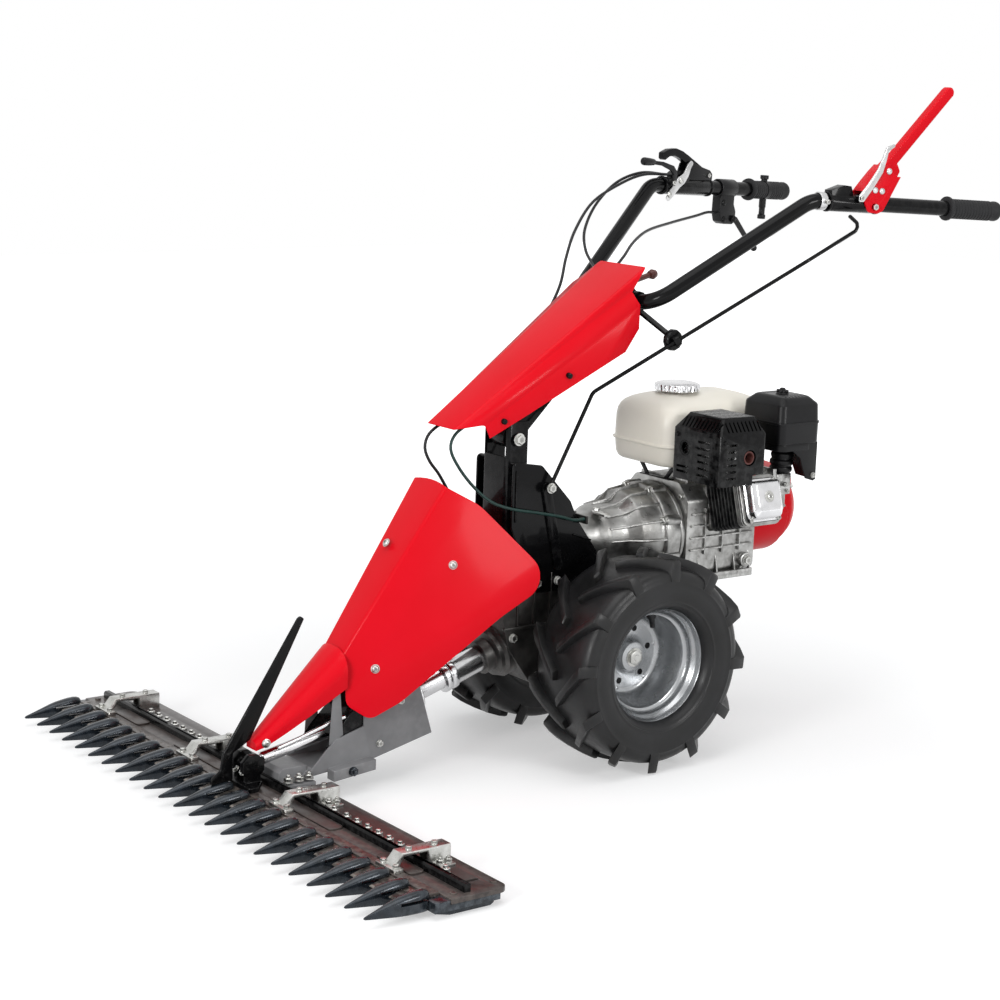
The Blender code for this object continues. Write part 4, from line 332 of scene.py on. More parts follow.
green_sheath = finish(
    "green_sheath", (0.012, 0.04, 0.034), (0.008, 0.028, 0.024), 0.35, swing=0.1, size=60.0,
    grain=(900.0, 0.0), depth=0.00003, specular=0.3)
bar_varnish = finish(
    "bar_varnish", (0.058, 0.046, 0.043), (0.034, 0.027, 0.025), 0.36, swing=0.22, size=18.0,
    coat=0.2, coat_rough=0.18, grain=(300.0, 0.3), depth=0.0001, worn=(0.2, 0.17, 0.15), worn_amount=0.6,
    specular=0.3)
guard_steel = finish(
    "guard_steel", (0.018, 0.025, 0.034), (0.008, 0.011, 0.015), 0.26, swing=0.2, size=55.0,
    coat=0.3, coat_rough=0.16, metallic=0.5, grain=(500.0, 0.2), depth=0.00008, worn=(0.12, 0.14, 0.16),
    worn_amount=0.6, specular=0.4)
knife_steel = finish(
    "knife_steel", (0.085, 0.07, 0.06), (0.05, 0.042, 0.037), 0.3, swing=0.2, size=40.0,
    metallic=0.7, grain=(240.0, 0.0), depth=0.00005, stretch=(1.0, 0.05, 1.0), worn=(0.3, 0.27, 0.24),
    worn_amount=0.8)
zinc_plate = finish(
    "zinc_plate", (0.6, 0.6, 0.58), (0.42, 0.42, 0.4), 0.3, swing=0.2, size=60.0, metallic=1.0,
    grain=(600.0, 0.0), depth=0.00005, hollow=0.5)
frame_grey = finish(
    "frame_grey", (0.21, 0.21, 0.215), (0.16, 0.16, 0.165), 0.42, swing=0.12, size=16.0, coat=0.15,
    coat_rough=0.25, grain=(380.0, 0.2), depth=0.00008, worn=(0.34, 0.34, 0.34), specular=0.3)
# A darker copy of the cast alloy for the gearbox: its darkness is painted shade, for the shadow the gearbox
# lies in between the shield and the wheels.
cast_alloy_painted_shade = finish(
    "cast_alloy_painted_shade", (0.12, 0.115, 0.11), (0.035, 0.034, 0.033), 0.38, swing=0.3, size=22.0,
    grain=(700.0, 0.5), depth=0.00012, metallic=0.8, hollow=0.5)
cast_alloy = finish(
    "cast_alloy", (0.38, 0.38, 0.37), (0.16, 0.157, 0.15), 0.33, swing=0.3, size=22.0,
    metallic=0.95, grain=(420.0, 0.6), depth=0.00022, worn=(0.72, 0.72, 0.71), worn_amount=0.7, hollow=0.75)
bright_steel = finish(
    "bright_steel", (0.74, 0.74, 0.75), (0.6, 0.6, 0.61), 0.18, swing=0.12, size=25.0,
    metallic=1.0, grain=(500.0, 0.0), depth=0.00003, hollow=0.5)
rim_silver = finish(
    "rim_silver", (0.46, 0.47, 0.48), (0.36, 0.37, 0.38), 0.26, swing=0.1, size=9.0, metallic=0.9,
    coat=0.2, coat_rough=0.12, grain=(420.0, 0.0), depth=0.00004, hollow=0.35)
lever_silver = finish(
    "lever_silver", (0.62, 0.62, 0.62), (0.46, 0.46, 0.46), 0.27, swing=0.1, size=50.0,
    metallic=1.0, grain=(500.0, 0.0), depth=0.00003)
tank_cream = finish(
    "tank_cream", (0.88, 0.84, 0.75), (0.84, 0.8, 0.7), 0.34, swing=0.08, size=7.0,
    grain=(600.0, 0.1), depth=0.00004, hollow=0.1, coat=0.12, coat_rough=0.2, specular=0.3)
brown_lacquer = finish(
    "brown_lacquer", (0.12, 0.035, 0.028), (0.085, 0.024, 0.02), 0.34, swing=0.1, size=40.0,
    grain=(600.0, 0.1), depth=0.00004, specular=0.3)
fin_black = finish(
    "fin_black", (0.016, 0.016, 0.017), (0.008, 0.008, 0.009), 0.36, swing=0.2, size=60.0,
    metallic=0.3, coat=0.3, coat_rough=0.2, grain=(520.0, 0.7), depth=0.0002, worn=(0.1, 0.1, 0.1),
    worn_amount=0.6)
brass = finish(
    "brass", (0.55, 0.42, 0.22), (0.4, 0.3, 0.15), 0.3, swing=0.15, size=60.0, metallic=1.0,
    grain=(600.0, 0.0), depth=0.00004, hollow=0.4)
FINISH_OF_SLOT = {
    "red": red_enamel, "black": black_paint, "rubber": grip_rubber, "bar_brown": bar_varnish,
    "guard_blue": guard_steel, "zinc": zinc_plate, "grey": frame_grey, "aluminium": cast_alloy,
    "bright": bright_steel, "silver": lever_silver, "cream": tank_cream, "brown": brown_lacquer,
    "green": green_sheath}

# %% [markdown]
# ## A finer copy of a node
# Most nodes have the right shape and only lack the broken edges of a real part. Their mesh is copied,
# its loose triangles are joined, flat areas become one face, and a small Bevel rounds each edge. The
# copy stands for the node.

# %% Helpers for pieces
BODY_OF = {n: body for body, group in frame["record"]["behaviour"]["bodies"].items() for n in group}
NODE_SLOT = {row["node"]: row["material_slot"] for row in frame["record"]["subparts"]}
SMOOTH = math.radians(36)
SIDES = (("left", 1), ("right", -1))


def stand(name, mesh, material, body, *replaced):
    """An object from a mesh in the frame's place, with its finish, that rides a body."""
    made = bpy.data.objects.new(name, mesh)
    bpy.context.scene.collection.objects.link(made)
    mesh.materials.clear()
    mesh.materials.append(material)
    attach(made, body)
    if replaced:
        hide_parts(*replaced)
    return made


def baked(shape, *modifiers):
    """A mesh from a bmesh after modifiers given as (kind, settings), with smooth shading."""
    mesh = bpy.data.meshes.new("raw")
    shape.to_mesh(mesh)
    shape.free()
    mesh.shade_smooth()
    holder = bpy.data.objects.new("raw", mesh)
    bpy.context.scene.collection.objects.link(holder)
    for kind, settings in modifiers:
        step = holder.modifiers.new(kind.lower(), kind)
        for label, value in settings.items():
            setattr(step, label, value)
    depsgraph = bpy.context.evaluated_depsgraph_get()
    done = bpy.data.meshes.new_from_object(holder.evaluated_get(depsgraph))
    bpy.data.objects.remove(holder)
    bpy.data.meshes.remove(mesh)
    done.set_sharp_from_angle(angle=SMOOTH)
    return done


def rounding(width, segments=2, angle=32):
    """Settings of a Bevel on the edges that are sharper than an angle."""
    return ("BEVEL", {"width": width, "segments": segments, "limit_method": "ANGLE",
                      "angle_limit": math.radians(angle), "miter_outer": "MITER_ARC",
                      "harden_normals": False})


def reopened(mesh):
    """A bmesh of a mesh, to be worked on."""
    shape = bmesh.new()
    shape.from_mesh(mesh)
    return shape


def copied(node):
    """A bmesh of a node, with its triangles joined into whole faces."""
    shape = reopened(frame["nodes"][node].data)
    bmesh.ops.remove_doubles(shape, verts=shape.verts, dist=3e-6)
    bmesh.ops.dissolve_limit(shape, angle_limit=math.radians(0.7), verts=shape.verts, edges=shape.edges)
    return shape


def finer(node, name, material=None, width=0.0006, segments=2, angle=32):
    """A node's copy with rounded edges, standing for it."""
    mesh = baked(copied(node), rounding(width, segments, angle))
    return stand(name, mesh, material or FINISH_OF_SLOT[NODE_SLOT[node]], BODY_OF[node], node)


# %% [markdown]
# ## Shapes from profiles
# A turned part is a profile spun about an axis, a drawn part is an outline swept along one, and a
# lofted part joins rings. These three helpers, and a round bar along a route, make nearly every piece.

# %% Shape helpers
def turned(profile, at=(0, 0, 0), direction=(0, 0, 1), steps=64):
    """(radius, distance) points spun about an axis; radius 0 closes an end, and no radius 0 makes a ring."""
    along = Vector(direction).normalized()
    side = along.cross(Vector((0, 0, 1))) if abs(along.z) < 0.95 else Vector((1, 0, 0))
    side.normalize()
    up = side.cross(along)
    shape = bmesh.new()
    rows = []
    for radius, distance in profile:
        centre = Vector(at) + along * distance
        if radius < 1e-6:
            rows.append([shape.verts.new(centre)])
            continue
        angles = [2 * math.pi * i / steps for i in range(steps)]
        rows.append([shape.verts.new(centre + (side * math.cos(a) + up * math.sin(a)) * radius)
                     for a in angles])
    pairs = list(zip(rows, rows[1:]))
    if len(rows[0]) > 1 and len(rows[-1]) > 1:
        pairs.append((rows[-1], rows[0]))
    for low, high in pairs:
        for i in range(steps):
            j = (i + 1) % steps
            if len(low) == 1:
                shape.faces.new((low[0], high[i], high[j]))
            elif len(high) == 1:
                shape.faces.new((low[i], low[j], high[0]))
            else:
                shape.faces.new((low[i], low[j], high[j], high[i]))
    bmesh.ops.recalc_face_normals(shape, faces=shape.faces)
    return shape


def drawn(outline, axis, low, high):
    """A closed outline swept along X, Y or Z; its points are (y, z), (x, z) or (x, y)."""
    order = {"X": lambda u, v, w: (w, u, v), "Y": lambda u, v, w: (u, w, v), "Z": lambda u, v, w: (u, v, w)}
    shape = bmesh.new()
    first = [shape.verts.new(order[axis](u, v, low)) for u, v in outline]
    last = [shape.verts.new(order[axis](u, v, high)) for u, v in outline]
    shape.faces.new(first)
    shape.faces.new(last)
    for i in range(len(outline)):
        j = (i + 1) % len(outline)
        shape.faces.new((first[i], first[j], last[j], last[i]))
    bmesh.ops.recalc_face_normals(shape, faces=shape.faces)
    return shape


def lofted(rings):
    """Rings of equal counts joined in turn."""
    shape = bmesh.new()
    loops = [[shape.verts.new(point) for point in ring] for ring in rings]
    count = len(loops[0])
    for low, high in zip(loops, loops[1:]):
        for i in range(count):
            j = (i + 1) % count
            shape.faces.new((low[i], low[j], high[j], high[i]))
    shape.faces.new(loops[0])
    shape.faces.new(loops[-1])
    bmesh.ops.recalc_face_normals(shape, faces=shape.faces)
    return shape


def rounded(outline, radius, steps=5):
    """An outline with rounded corners; the radius is one number or one per corner."""
    count = len(outline)
    radii = radius if isinstance(radius, (list, tuple)) else [radius] * count
    points = []
    for i, size in enumerate(radii):
        here = Vector(outline[i])
        before = Vector(outline[i - 1]) - here
        after = Vector(outline[(i + 1) % count]) - here
        if size <= 0:
            points.append(tuple(here))
            continue
        half = before.angle(after) / 2
        reach = min(size / math.tan(half), 0.45 * before.length, 0.45 * after.length)
        real = reach * math.tan(half)
        centre = here + (before.normalized() + after.normalized()).normalized() * (real / math.sin(half))
        start = here + before.normalized() * reach - centre
        end = here + after.normalized() * reach - centre
        for k in range(steps + 1):
            t = k / steps
            points.append(tuple(centre + (start * (1 - t) + end * t).normalized() * real))
    return points


def joined(*shapes):
    """Several bmeshes as one."""
    whole = bmesh.new()
    for shape in shapes:
        part = bpy.data.meshes.new("part")
        shape.to_mesh(part)
        shape.free()
        whole.from_mesh(part)
        bpy.data.meshes.remove(part)
    return whole


def shifted(shape, offset=SHIFT):
    """Move a bmesh; by default from the maker's coordinates to the frame's."""
    bmesh.ops.translate(shape, verts=shape.verts, vec=offset)
    return shape


def edged(shapes, *bevel):
    """A mesh of one shape or a list of them, moved to the frame's place, with rounded edges."""
    whole = joined(*shapes) if isinstance(shapes, list) else shapes
    return baked(shifted(whole), rounding(*bevel))


def span(side, near, far):
    """The two x limits, in rising order, of a piece on one side of the middle."""
    return sorted((side * near, side * far))


def around(count, first=0.0):
    """(cos, sin) of even steps round a circle, from a first angle in degrees."""
    angles = [math.radians(first + 360.0 * k / count) for k in range(count)]
    return [(math.cos(a), math.sin(a)) for a in angles]


def smooth_route(points, spacing):
    """Points at an even spacing on a smooth curve through the given ones."""
    knots = [Vector(p) for p in points]
    knots = [knots[0] * 2 - knots[1]] + knots + [knots[-1] * 2 - knots[-2]]
    fine = []
    for a, b, c, d in zip(knots, knots[1:], knots[2:], knots[3:]):
        for k in range(24):
            t = k / 24
            fine.append(0.5 * (2 * b + (c - a) * t + (2 * a - 5 * b + 4 * c - d) * t * t
                               + (3 * b - a - 3 * c + d) * t ** 3))
    fine.append(knots[-2])
    lengths = [0.0]
    for a, b in zip(fine, fine[1:]):
        lengths.append(lengths[-1] + (b - a).length)
    count = max(2, round(lengths[-1] / spacing))
    route = []
    place = 0
    for k in range(count + 1):
        wanted = lengths[-1] * k / count
        while place < len(fine) - 2 and lengths[place + 1] < wanted:
            place += 1
        share = (wanted - lengths[place]) / (lengths[place + 1] - lengths[place])
        route.append(fine[place].lerp(fine[place + 1], share))
    return route


def bent_route(points, radius, steps):
    """Straight runs joined by arcs of one radius."""
    knots = [Vector(p) for p in points]
    route = [knots[0]]
    for before, here, after in zip(knots, knots[1:], knots[2:]):
        back = (before - here).normalized()
        on = (after - here).normalized()
        half = back.angle(on) / 2
        reach = min(radius / math.tan(half), 0.45 * (before - here).length, 0.45 * (after - here).length)
        real = reach * math.tan(half)
        centre = here + (back + on).normalized() * (real / math.sin(half))
        start = here + back * reach - centre
        end = here + on * reach - centre
        for k in range(steps + 1):
            t = k / steps
            route.append(centre + (start * (1 - t) + end * t).normalized() * real)
    route.append(knots[-1])
    return route


def bar(route, radius, sides=12, cap=0.25):
    """A round bar along a route, with slightly rounded ends."""
    points = [Vector(p) for p in route]
    tangents = []
    for i in range(len(points)):
        before = points[max(i - 1, 0)]
        after = points[min(i + 1, len(points) - 1)]
        tangents.append((after - before).normalized())
    side = tangents[0].cross(Vector((0.13, 0.21, 0.97))).normalized()
    rings = []
    for i, (point, tangent) in enumerate(zip(points, tangents)):
        side = (side - tangent * side.dot(tangent)).normalized()
        up = tangent.cross(side)
        circle = [side * math.cos(2 * math.pi * k / sides) + up * math.sin(2 * math.pi * k / sides)
                  for k in range(sides)]
        if i == 0:
            rings.append([point + c * radius * (1 - cap) for c in circle])
            rings.append([point + tangent * radius * cap + c * radius for c in circle])
        elif i == len(points) - 1:
            rings.append([point - tangent * radius * cap + c * radius for c in circle])
            rings.append([point + c * radius * (1 - cap) for c in circle])
        else:
            rings.append([point + c * radius for c in circle])
    return lofted(rings)


# %% [markdown]
# ## Control cables
# Four sheathed cables run from the handle controls into the machine. They are fixed lengths of stiff
# sheath, held at both ends, so each one is a smooth curve through a few points.

# %% Handle axes
HANDLE_BEND = Vector((0.215, 0.3, 0.983))
HANDLE_END = Vector((0.279, 0.704, 0.964))
HANDLE_RUN = (HANDLE_END - HANDLE_BEND).length


def handle_axes(side):
    """The frame of a handle's straight run: Y along the tube, Z nearly up, in the frame's place."""
    run = (HANDLE_END - HANDLE_BEND).normalized()
    along = Vector((side * run.x, run.y, run.z))
    wide = along.cross(Vector((0, 0, 1))).normalized()
    turned_to = Matrix((wide, along, wide.cross(along))).transposed().to_4x4()
    return Matrix.Translation(
        Vector((side * HANDLE_BEND.x, HANDLE_BEND.y, HANDLE_BEND.z)) + SHIFT) @ turned_to


def on_handle(side, x, y, z):
    """A place given along a handle, in the maker's coordinates."""
    return tuple(handle_axes(side) @ Vector((x, y, z)) - SHIFT)


def to_handle(shape, side):
    """Move a bmesh from a handle's own axes to the frame's place."""
    shape.transform(handle_axes(side))
    return shape


def facing_x(side, x, y, z, sign=1):
    """A fastener's place and direction on the side of a lever."""
    return (on_handle(side, x, y, z), handle_axes(side).to_3x3() @ Vector((sign, 0, 0)))


# %% Cords
CABLE_RADIUS = 0.0027
GAP = 0.0003
CABLE_ROUTES = {
    "brake_cable": [on_handle(-1, 0.005, 0.058 - GAP, 0.0205), on_handle(-1, 0.005, 0.038, 0.0205),
                    (-0.2105, 0.276, 1.002), (-0.205, 0.215, 0.985), (-0.192, 0.142, 0.953),
                    (-0.172, 0.088, 0.905), (-0.15, 0.052, 0.858), (-0.128, 0.022, 0.808),
                    (-0.116, -0.022, 0.746), (-0.108, -0.056, 0.689), (-0.084, -0.088, 0.654),
                    (-0.056, -0.126, 0.64), (-0.036, -0.188, 0.633), (-0.028, -0.25, 0.616),
                    (-0.025, -0.3, 0.597), (-0.023, -0.327, 0.581), (-0.021, -0.336, 0.559),
                    (-0.019, -0.327, 0.535), (-0.017, -0.306, 0.508), (-0.014, -0.28, 0.46),
                    (-0.013, -0.267, 0.4), (-0.013, -0.259, 0.345), (-0.013, -0.25, 0.316),
                    (-0.013, -0.237, 0.309), (-0.013, -0.215 - GAP, 0.309)],
    "throttle_cable": [on_handle(-1, -0.005, 0.058 - GAP, 0.0205), on_handle(-1, -0.005, 0.038, 0.0205),
                       (-0.219, 0.276, 1.005), (-0.215, 0.215, 0.987), (-0.2, 0.156, 0.948),
                       (-0.172, 0.11, 0.905), (-0.14, 0.088, 0.872), (-0.098, 0.072, 0.85),
                       (-0.07, 0.06, 0.842), (-0.05, 0.047, 0.8385), (-0.036, 0.03, 0.8255),
                       (-0.026, 0.01, 0.809), (-0.022, 0.0, 0.802)],
    "box_cable": [on_handle(-1, 0.0, 0.196 - GAP, -0.048), on_handle(-1, 0.0, 0.172, -0.048),
                  (-0.226, 0.425, 0.922), (-0.185, 0.33, 0.914), (-0.13, 0.225, 0.905),
                  (-0.08, 0.15, 0.889), (-0.045, 0.1, 0.868), (-0.029, 0.066, 0.849),
                  (-0.021, 0.0447, 0.8372), (-0.013, 0.028, 0.8255), (-0.009, 0.014, 0.8175)],
    "clutch_cable": [(0.064, -0.053 - GAP, 0.425), (0.064, -0.076, 0.425), (0.0665, -0.11, 0.435),
                     (0.066, -0.16, 0.446), (0.062, -0.213, 0.457), (0.0545, -0.251, 0.472),
                     (0.043, -0.279, 0.498), (0.034, -0.303, 0.53), (0.029, -0.318, 0.562),
                     (0.024, -0.306, 0.586), (0.02, -0.27, 0.605), (0.014, -0.215, 0.634),
                     (0.0105, -0.17, 0.662), (0.01, -0.1318, 0.68)],}


def cable(name, points, sheath, node):
    """A sheathed cable along a smooth route, standing for its node."""
    route = [p + SHIFT for p in smooth_route(points, 0.0065)]
    mesh = baked(bar(route, CABLE_RADIUS, 12, 0.1))
    made = stand(name, mesh, sheath, "tractor", node)


for node, points in CABLE_ROUTES.items():
    sheath = green_sheath if node == "clutch_cable" else cable_sheath
    cable(f"{node}_sheath", points, sheath, node)

# %% [markdown]
# ## Things that repeat
# A row of bolts, a ring of tyre lugs or a stack of fins is one shape and a rule. Two Geometry Nodes
# trees hold the rules: one sets a fastener on every point it is given, turned to face along a stored
# direction, and the other sets copies in a ring about the X axis or in a straight row.

# %% Geometry Nodes trees
def gn_tree(name, inputs):
    """An empty Geometry Nodes tree with named inputs; returns it with the sockets it is given."""
    tree = bpy.data.node_groups.new(name, "GeometryNodeTree")
    for label, kind in (("Geometry", "NodeSocketGeometry"), *inputs):
        tree.interface.new_socket(name=label, in_out="INPUT", socket_type=kind)
    tree.interface.new_socket(name="Geometry", in_out="OUTPUT", socket_type="NodeSocketGeometry")
    return tree, tree.nodes.new("NodeGroupInput").outputs


def copies_on(tree, given, points, rotation):
    """The end of both trees: the part on every point, made real and given its finish."""
    part = new_node(tree, "GeometryNodeObjectInfo", {"As Instance": True, "Object": given["Part"]})
    copies = new_node(
        tree, "GeometryNodeInstanceOnPoints", {"Points": points, "Instance": part.outputs["Geometry"],
            "Rotation": rotation})
    real = new_node(tree, "GeometryNodeRealizeInstances", {0: copies.outputs[0]})
    paint = new_node(
        tree, "GeometryNodeSetMaterial", {"Geometry": real.outputs[0], "Material": given["Finish"]})
    new_node(tree, "NodeGroupOutput", {0: paint.outputs[0]})
    return tree


def scatter_tree():
    """Copies of a part on every given point, its Z axis along the stored direction 'facing'."""
    tree, given = gn_tree("set_on_points", [("Part", "NodeSocketObject"), ("Finish", "NodeSocketMaterial")])
    facing = new_node(tree, "GeometryNodeInputNamedAttribute", {"Name": "facing"}, data_type="FLOAT_VECTOR")
    turn_to = new_node(tree, "FunctionNodeAlignRotationToVector", {"Vector": facing.outputs[0]}, axis="Z")
    return copies_on(tree, given, given["Geometry"], turn_to.outputs["Rotation"])


def pattern_tree():
    """Count copies of a part, each stepped by Step and turned by Turn about X from the one before."""
    tree, given = gn_tree(
        "stepped_copies", [("Part", "NodeSocketObject"), ("Finish", "NodeSocketMaterial"),
                           ("Count", "NodeSocketInt"), ("Start", "NodeSocketVector"),
                           ("Step", "NodeSocketVector"), ("Turn", "NodeSocketFloat"),
                           ("First Turn", "NodeSocketFloat")])
    line = new_node(
        tree, "GeometryNodeMeshLine", {"Count": given["Count"], "Start Location": given["Start"],
            "Offset": given["Step"]})
    index = tree.nodes.new("GeometryNodeInputIndex").outputs[0]
    angle = new_node(
        tree, "ShaderNodeMath", {0: index, 1: given["Turn"], 2: given["First Turn"]},
        operation="MULTIPLY_ADD")
    axes = new_node(tree, "ShaderNodeCombineXYZ", {0: angle.outputs[0]})
    return copies_on(tree, given, line.outputs[0], axes.outputs[0])


SCATTER = scatter_tree()
PATTERN = pattern_tree()


def grown(tree, points, part, material, **values):
    """Run a tree on a mesh of points with a part, and return the plain mesh it makes."""
    part_holder = bpy.data.objects.new("part", part)
    holder = bpy.data.objects.new("points", points)
    for made in (part_holder, holder):
        bpy.context.scene.collection.objects.link(made)
    step = holder.modifiers.new("rule", "NODES")
    step.node_group = tree
    sockets = {s.name: s.identifier for s in tree.interface.items_tree if s.in_out == "INPUT"}
    for label, value in {"Part": part_holder, "Finish": material, **values}.items():
        step[sockets[label]] = value
    depsgraph = bpy.context.evaluated_depsgraph_get()
    mesh = bpy.data.meshes.new_from_object(holder.evaluated_get(depsgraph))
    bpy.data.objects.remove(holder)
    bpy.data.objects.remove(part_holder)
    mesh.shade_smooth()
    mesh.set_sharp_from_angle(angle=SMOOTH)
    return mesh


def stepped(part, material, count, start=(0, 0, 0), step=(0, 0, 0), turn_by=0.0, first=0.0):
    """Copies of a bmesh in a row or a ring, as a mesh."""
    return grown(
        PATTERN, bpy.data.meshes.new("none"), baked(part), material,
        **{"Count": count, "Start": Vector(start), "Step": Vector(step), "Turn": turn_by,
           "First Turn": first})


def set_on(spots, part, material):
    """Copies of a mesh on (point, direction) spots, in the frame's place."""
    points = bpy.data.meshes.new("spots")
    points.from_pydata([Vector(p) + SHIFT for p, _ in spots], [], [])
    facing = points.attributes.new("facing", "FLOAT_VECTOR", "POINT")
    for item, (_, direction) in zip(facing.data, spots):
        item.vector = Vector(direction).normalized()
    return grown(SCATTER, points, part.copy(), material)


WASHER = 0.0014
DISH = 0.0003


def hex_bolt(across_flats, head, washer=0.0, stud=0.0):
    """A hex head on a washer, or a nut with its stud end, standing along Z from the seat."""
    seat = 0.0
    shapes = []
    if washer:
        seat = WASHER
        shapes.append(
            turned([(0, 0), (washer, 0), (washer, seat * 0.8), (washer - DISH, seat), (0, seat)], steps=24))
    radius = across_flats / math.sqrt(3)
    top = seat + head
    dished = top if stud else top - DISH
    shapes.append(
        turned([(0, seat), (radius, seat), (radius, seat + head * 0.86), (radius * 0.87, top),
                (radius * 0.62, top), (radius * 0.58, dished), (0, dished)], steps=6))
    if stud:
        end = top + stud
        core = across_flats * 0.29
        shapes.append(
            turned([(0, seat), (core, seat), (core, end - core * 0.25), (core * 0.75, end), (0, end)],
                   steps=14))
    return baked(joined(*shapes))


M6 = hex_bolt(0.01, 0.004, 0.0062)
M8 = hex_bolt(0.013, 0.0053, 0.0082)
M6_NUT = hex_bolt(0.01, 0.005, 0.0062, 0.0035)
M8_NUT = hex_bolt(0.013, 0.0065, 0.0082, 0.0045)


def bolts(name, body, material, spots, part=M6):
    """Fasteners as one piece that rides a body."""
    return stand(name, set_on(spots, part, material), material, body)


def on_sides(x, *places):
    """Spots on the faces at x left and right, facing out, one for each (y, z)."""
    return [((side * x, y, z), (side, 0, 0)) for side in (-1, 1) for y, z in places]


# %% [markdown]
# ## Red covers
# The hood, the shield and the nose are pressed sheets of steel. Each is drawn as an open surface of flat
# faces, its folds are rounded by a Bevel while it is still open, and Solidify then gives it the
# thickness of the sheet. The nose is a lofted half cone, so its section is a smooth curve.

# %% Pressed sheets
SHEET = 0.0015


def folded(faces, fold):
    """A sheet from loops of points, with rounded folds and broken edges."""
    shape = bmesh.new()
    seen = {}
    for loop in faces:
        verts = []
        for point in loop:
            key = tuple(round(c, 6) for c in point)
            if key not in seen:
                seen[key] = shape.verts.new(point)
            verts.append(seen[key])
        shape.faces.new(verts)
    bmesh.ops.recalc_face_normals(shape, faces=shape.faces)
    shifted(shape)
    steps = [("SOLIDIFY", {"thickness": SHEET, "offset": 0.0, "use_even_offset": True})]
    if fold:
        steps.insert(
            0, ("BEVEL", {"width": fold, "segments": 5, "limit_method": "ANGLE",
                          "angle_limit": math.radians(12)}))
    return baked(shape, *steps, rounding(0.0004, 2, 60))


# %% Hood
HOOD_TOP = ((0.04, -0.32, 0.597), (0.063, 0.0615, 0.8595))
HOOD_FOLD = ((0.047, -0.262, 0.602), (0.088, 0.018, 0.786))
HOOD_LOW = ((0.05, -0.253, 0.579), (0.062, -0.189, 0.614), (0.09, -0.046, 0.696))
HOOD_BACK = ((0.075, 0.032, 0.833), (0.083, 0.016, 0.82))
HOOD_TAIL = ((0.09, 0.029, 0.757), (0.09, 0.001, 0.718))
faces = []
for side in (1, -1):
    loops = [[HOOD_FOLD[0], HOOD_FOLD[1], HOOD_BACK[1], HOOD_BACK[0], HOOD_TOP[1], HOOD_TOP[0]],
             [HOOD_FOLD[0], HOOD_LOW[0], HOOD_LOW[1], HOOD_LOW[2], HOOD_FOLD[1]],
             [HOOD_FOLD[1], HOOD_LOW[2], HOOD_TAIL[1], HOOD_TAIL[0]]]
    faces += [[(side * x, y, z) for x, y, z in loop] for loop in loops]
faces.append(
    [HOOD_TOP[0], HOOD_TOP[1], (-HOOD_TOP[1][0], *HOOD_TOP[1][1:]), (-HOOD_TOP[0][0], *HOOD_TOP[0][1:])])
stand("hood_sheet", folded(faces, 0.0035), red_enamel, "tractor", "hood")

# %% Front shield
CREASE_TOP = Vector((0.04705, -0.3387, 0.5032))
CREASE_LOW = Vector((0.03003, -0.5226, 0.2377))
CHEEK_OUT = Vector((0.12, -0.193, 0.364))
down_crease = (CREASE_LOW - CREASE_TOP).normalized()
cheek_normal = down_crease.cross(CHEEK_OUT - CREASE_TOP).normalized()
from_crease = cheek_normal.cross(down_crease)
cheek_facing = cheek_normal if cheek_normal.x > 0 else -cheek_normal
outline = [(0.0, 0.0), (-0.006, 0.066), (0.03, 0.246), (0.134, 0.2), (0.342, 0.128), (0.394, 0.098),
           (0.394, 0.05), ((CREASE_LOW - CREASE_TOP).length, 0.0)]
cheek_outline = rounded(outline, [0, 0.1, 0.06, 0.3, 0.1, 0.022, 0.02, 0], 10)


def on_cheek(u, v, lift=0.0):
    """A place on the left cheek, measured down its crease and out from it."""
    return CREASE_TOP + down_crease * u + from_crease * v + cheek_facing * lift


ARCH = 0.006
left = [tuple(on_cheek(u, v)) for u, v in cheek_outline]
right = [(-x, y, z) for x, y, z in left]
crest = []
for share in (0.8, 0.6, 0.3, 0.0, -0.3, -0.6, -0.8):
    point = CREASE_TOP - down_crease * ARCH * (1 - share * share)
    crest.append((CREASE_TOP.x * share, point.y, point.z))
front = [left[0]] + crest + [right[0], right[-1], left[-1]]
stand("shield_sheet", folded([left, right, front], 0.0045), red_enamel, "mower", "front_shield")

# %% Nose cover
NOSE_TIP = (-0.677, 0.104)
NOSE_REAR = (-0.524, 0.244)
NOSE_HALF = (0.015, 0.046)
NOSE_DROP = (0.014, 0.062)
NOSE_SECTION = [(1.0, 1.0), (1.0, 0.5), (0.86, 0.24), (0.62, 0.08), (0.32, 0.01), (0, 0)]


def nose_size(t):
    """The nose cover at a share of its length: its y, its top, its half width and its drop."""
    y = NOSE_TIP[0] + (NOSE_REAR[0] - NOSE_TIP[0]) * t
    top = NOSE_TIP[1] + (NOSE_REAR[1] - NOSE_TIP[1]) * t
    half = NOSE_HALF[0] + (NOSE_HALF[1] - NOSE_HALF[0]) * t ** 0.85
    drop = NOSE_DROP[0] + (NOSE_DROP[1] - NOSE_DROP[0]) * t ** 0.8
    return y, top, half, drop


def nose_ring(t):
    """The open section of the nose cover at a share of its length."""
    y, top, half, drop = nose_size(t)
    side = [Vector((half * u, y, top - drop * v)) for u, v in NOSE_SECTION]
    whole = side + [Vector((-p.x, p.y, p.z)) for p in reversed(side[:-1])]
    return [tuple(p) for p in smooth_route(whole, (half * 2 + drop * 2) / 60)]


rings = [nose_ring(k / 14) for k in range(15)]
count = min(len(ring) for ring in rings)
rings = [[ring[round(i * (len(ring) - 1) / (count - 1))] for i in range(count)] for ring in rings]
faces = []
for low, high in zip(rings, rings[1:]):
    for i in range(count - 1):
        faces.append((low[i], low[i + 1], high[i + 1], high[i]))
faces.append(tuple(rings[0]))
stand("nose_cover_sheet", folded(faces, 0.0), red_enamel, "mower", "nose_cover")

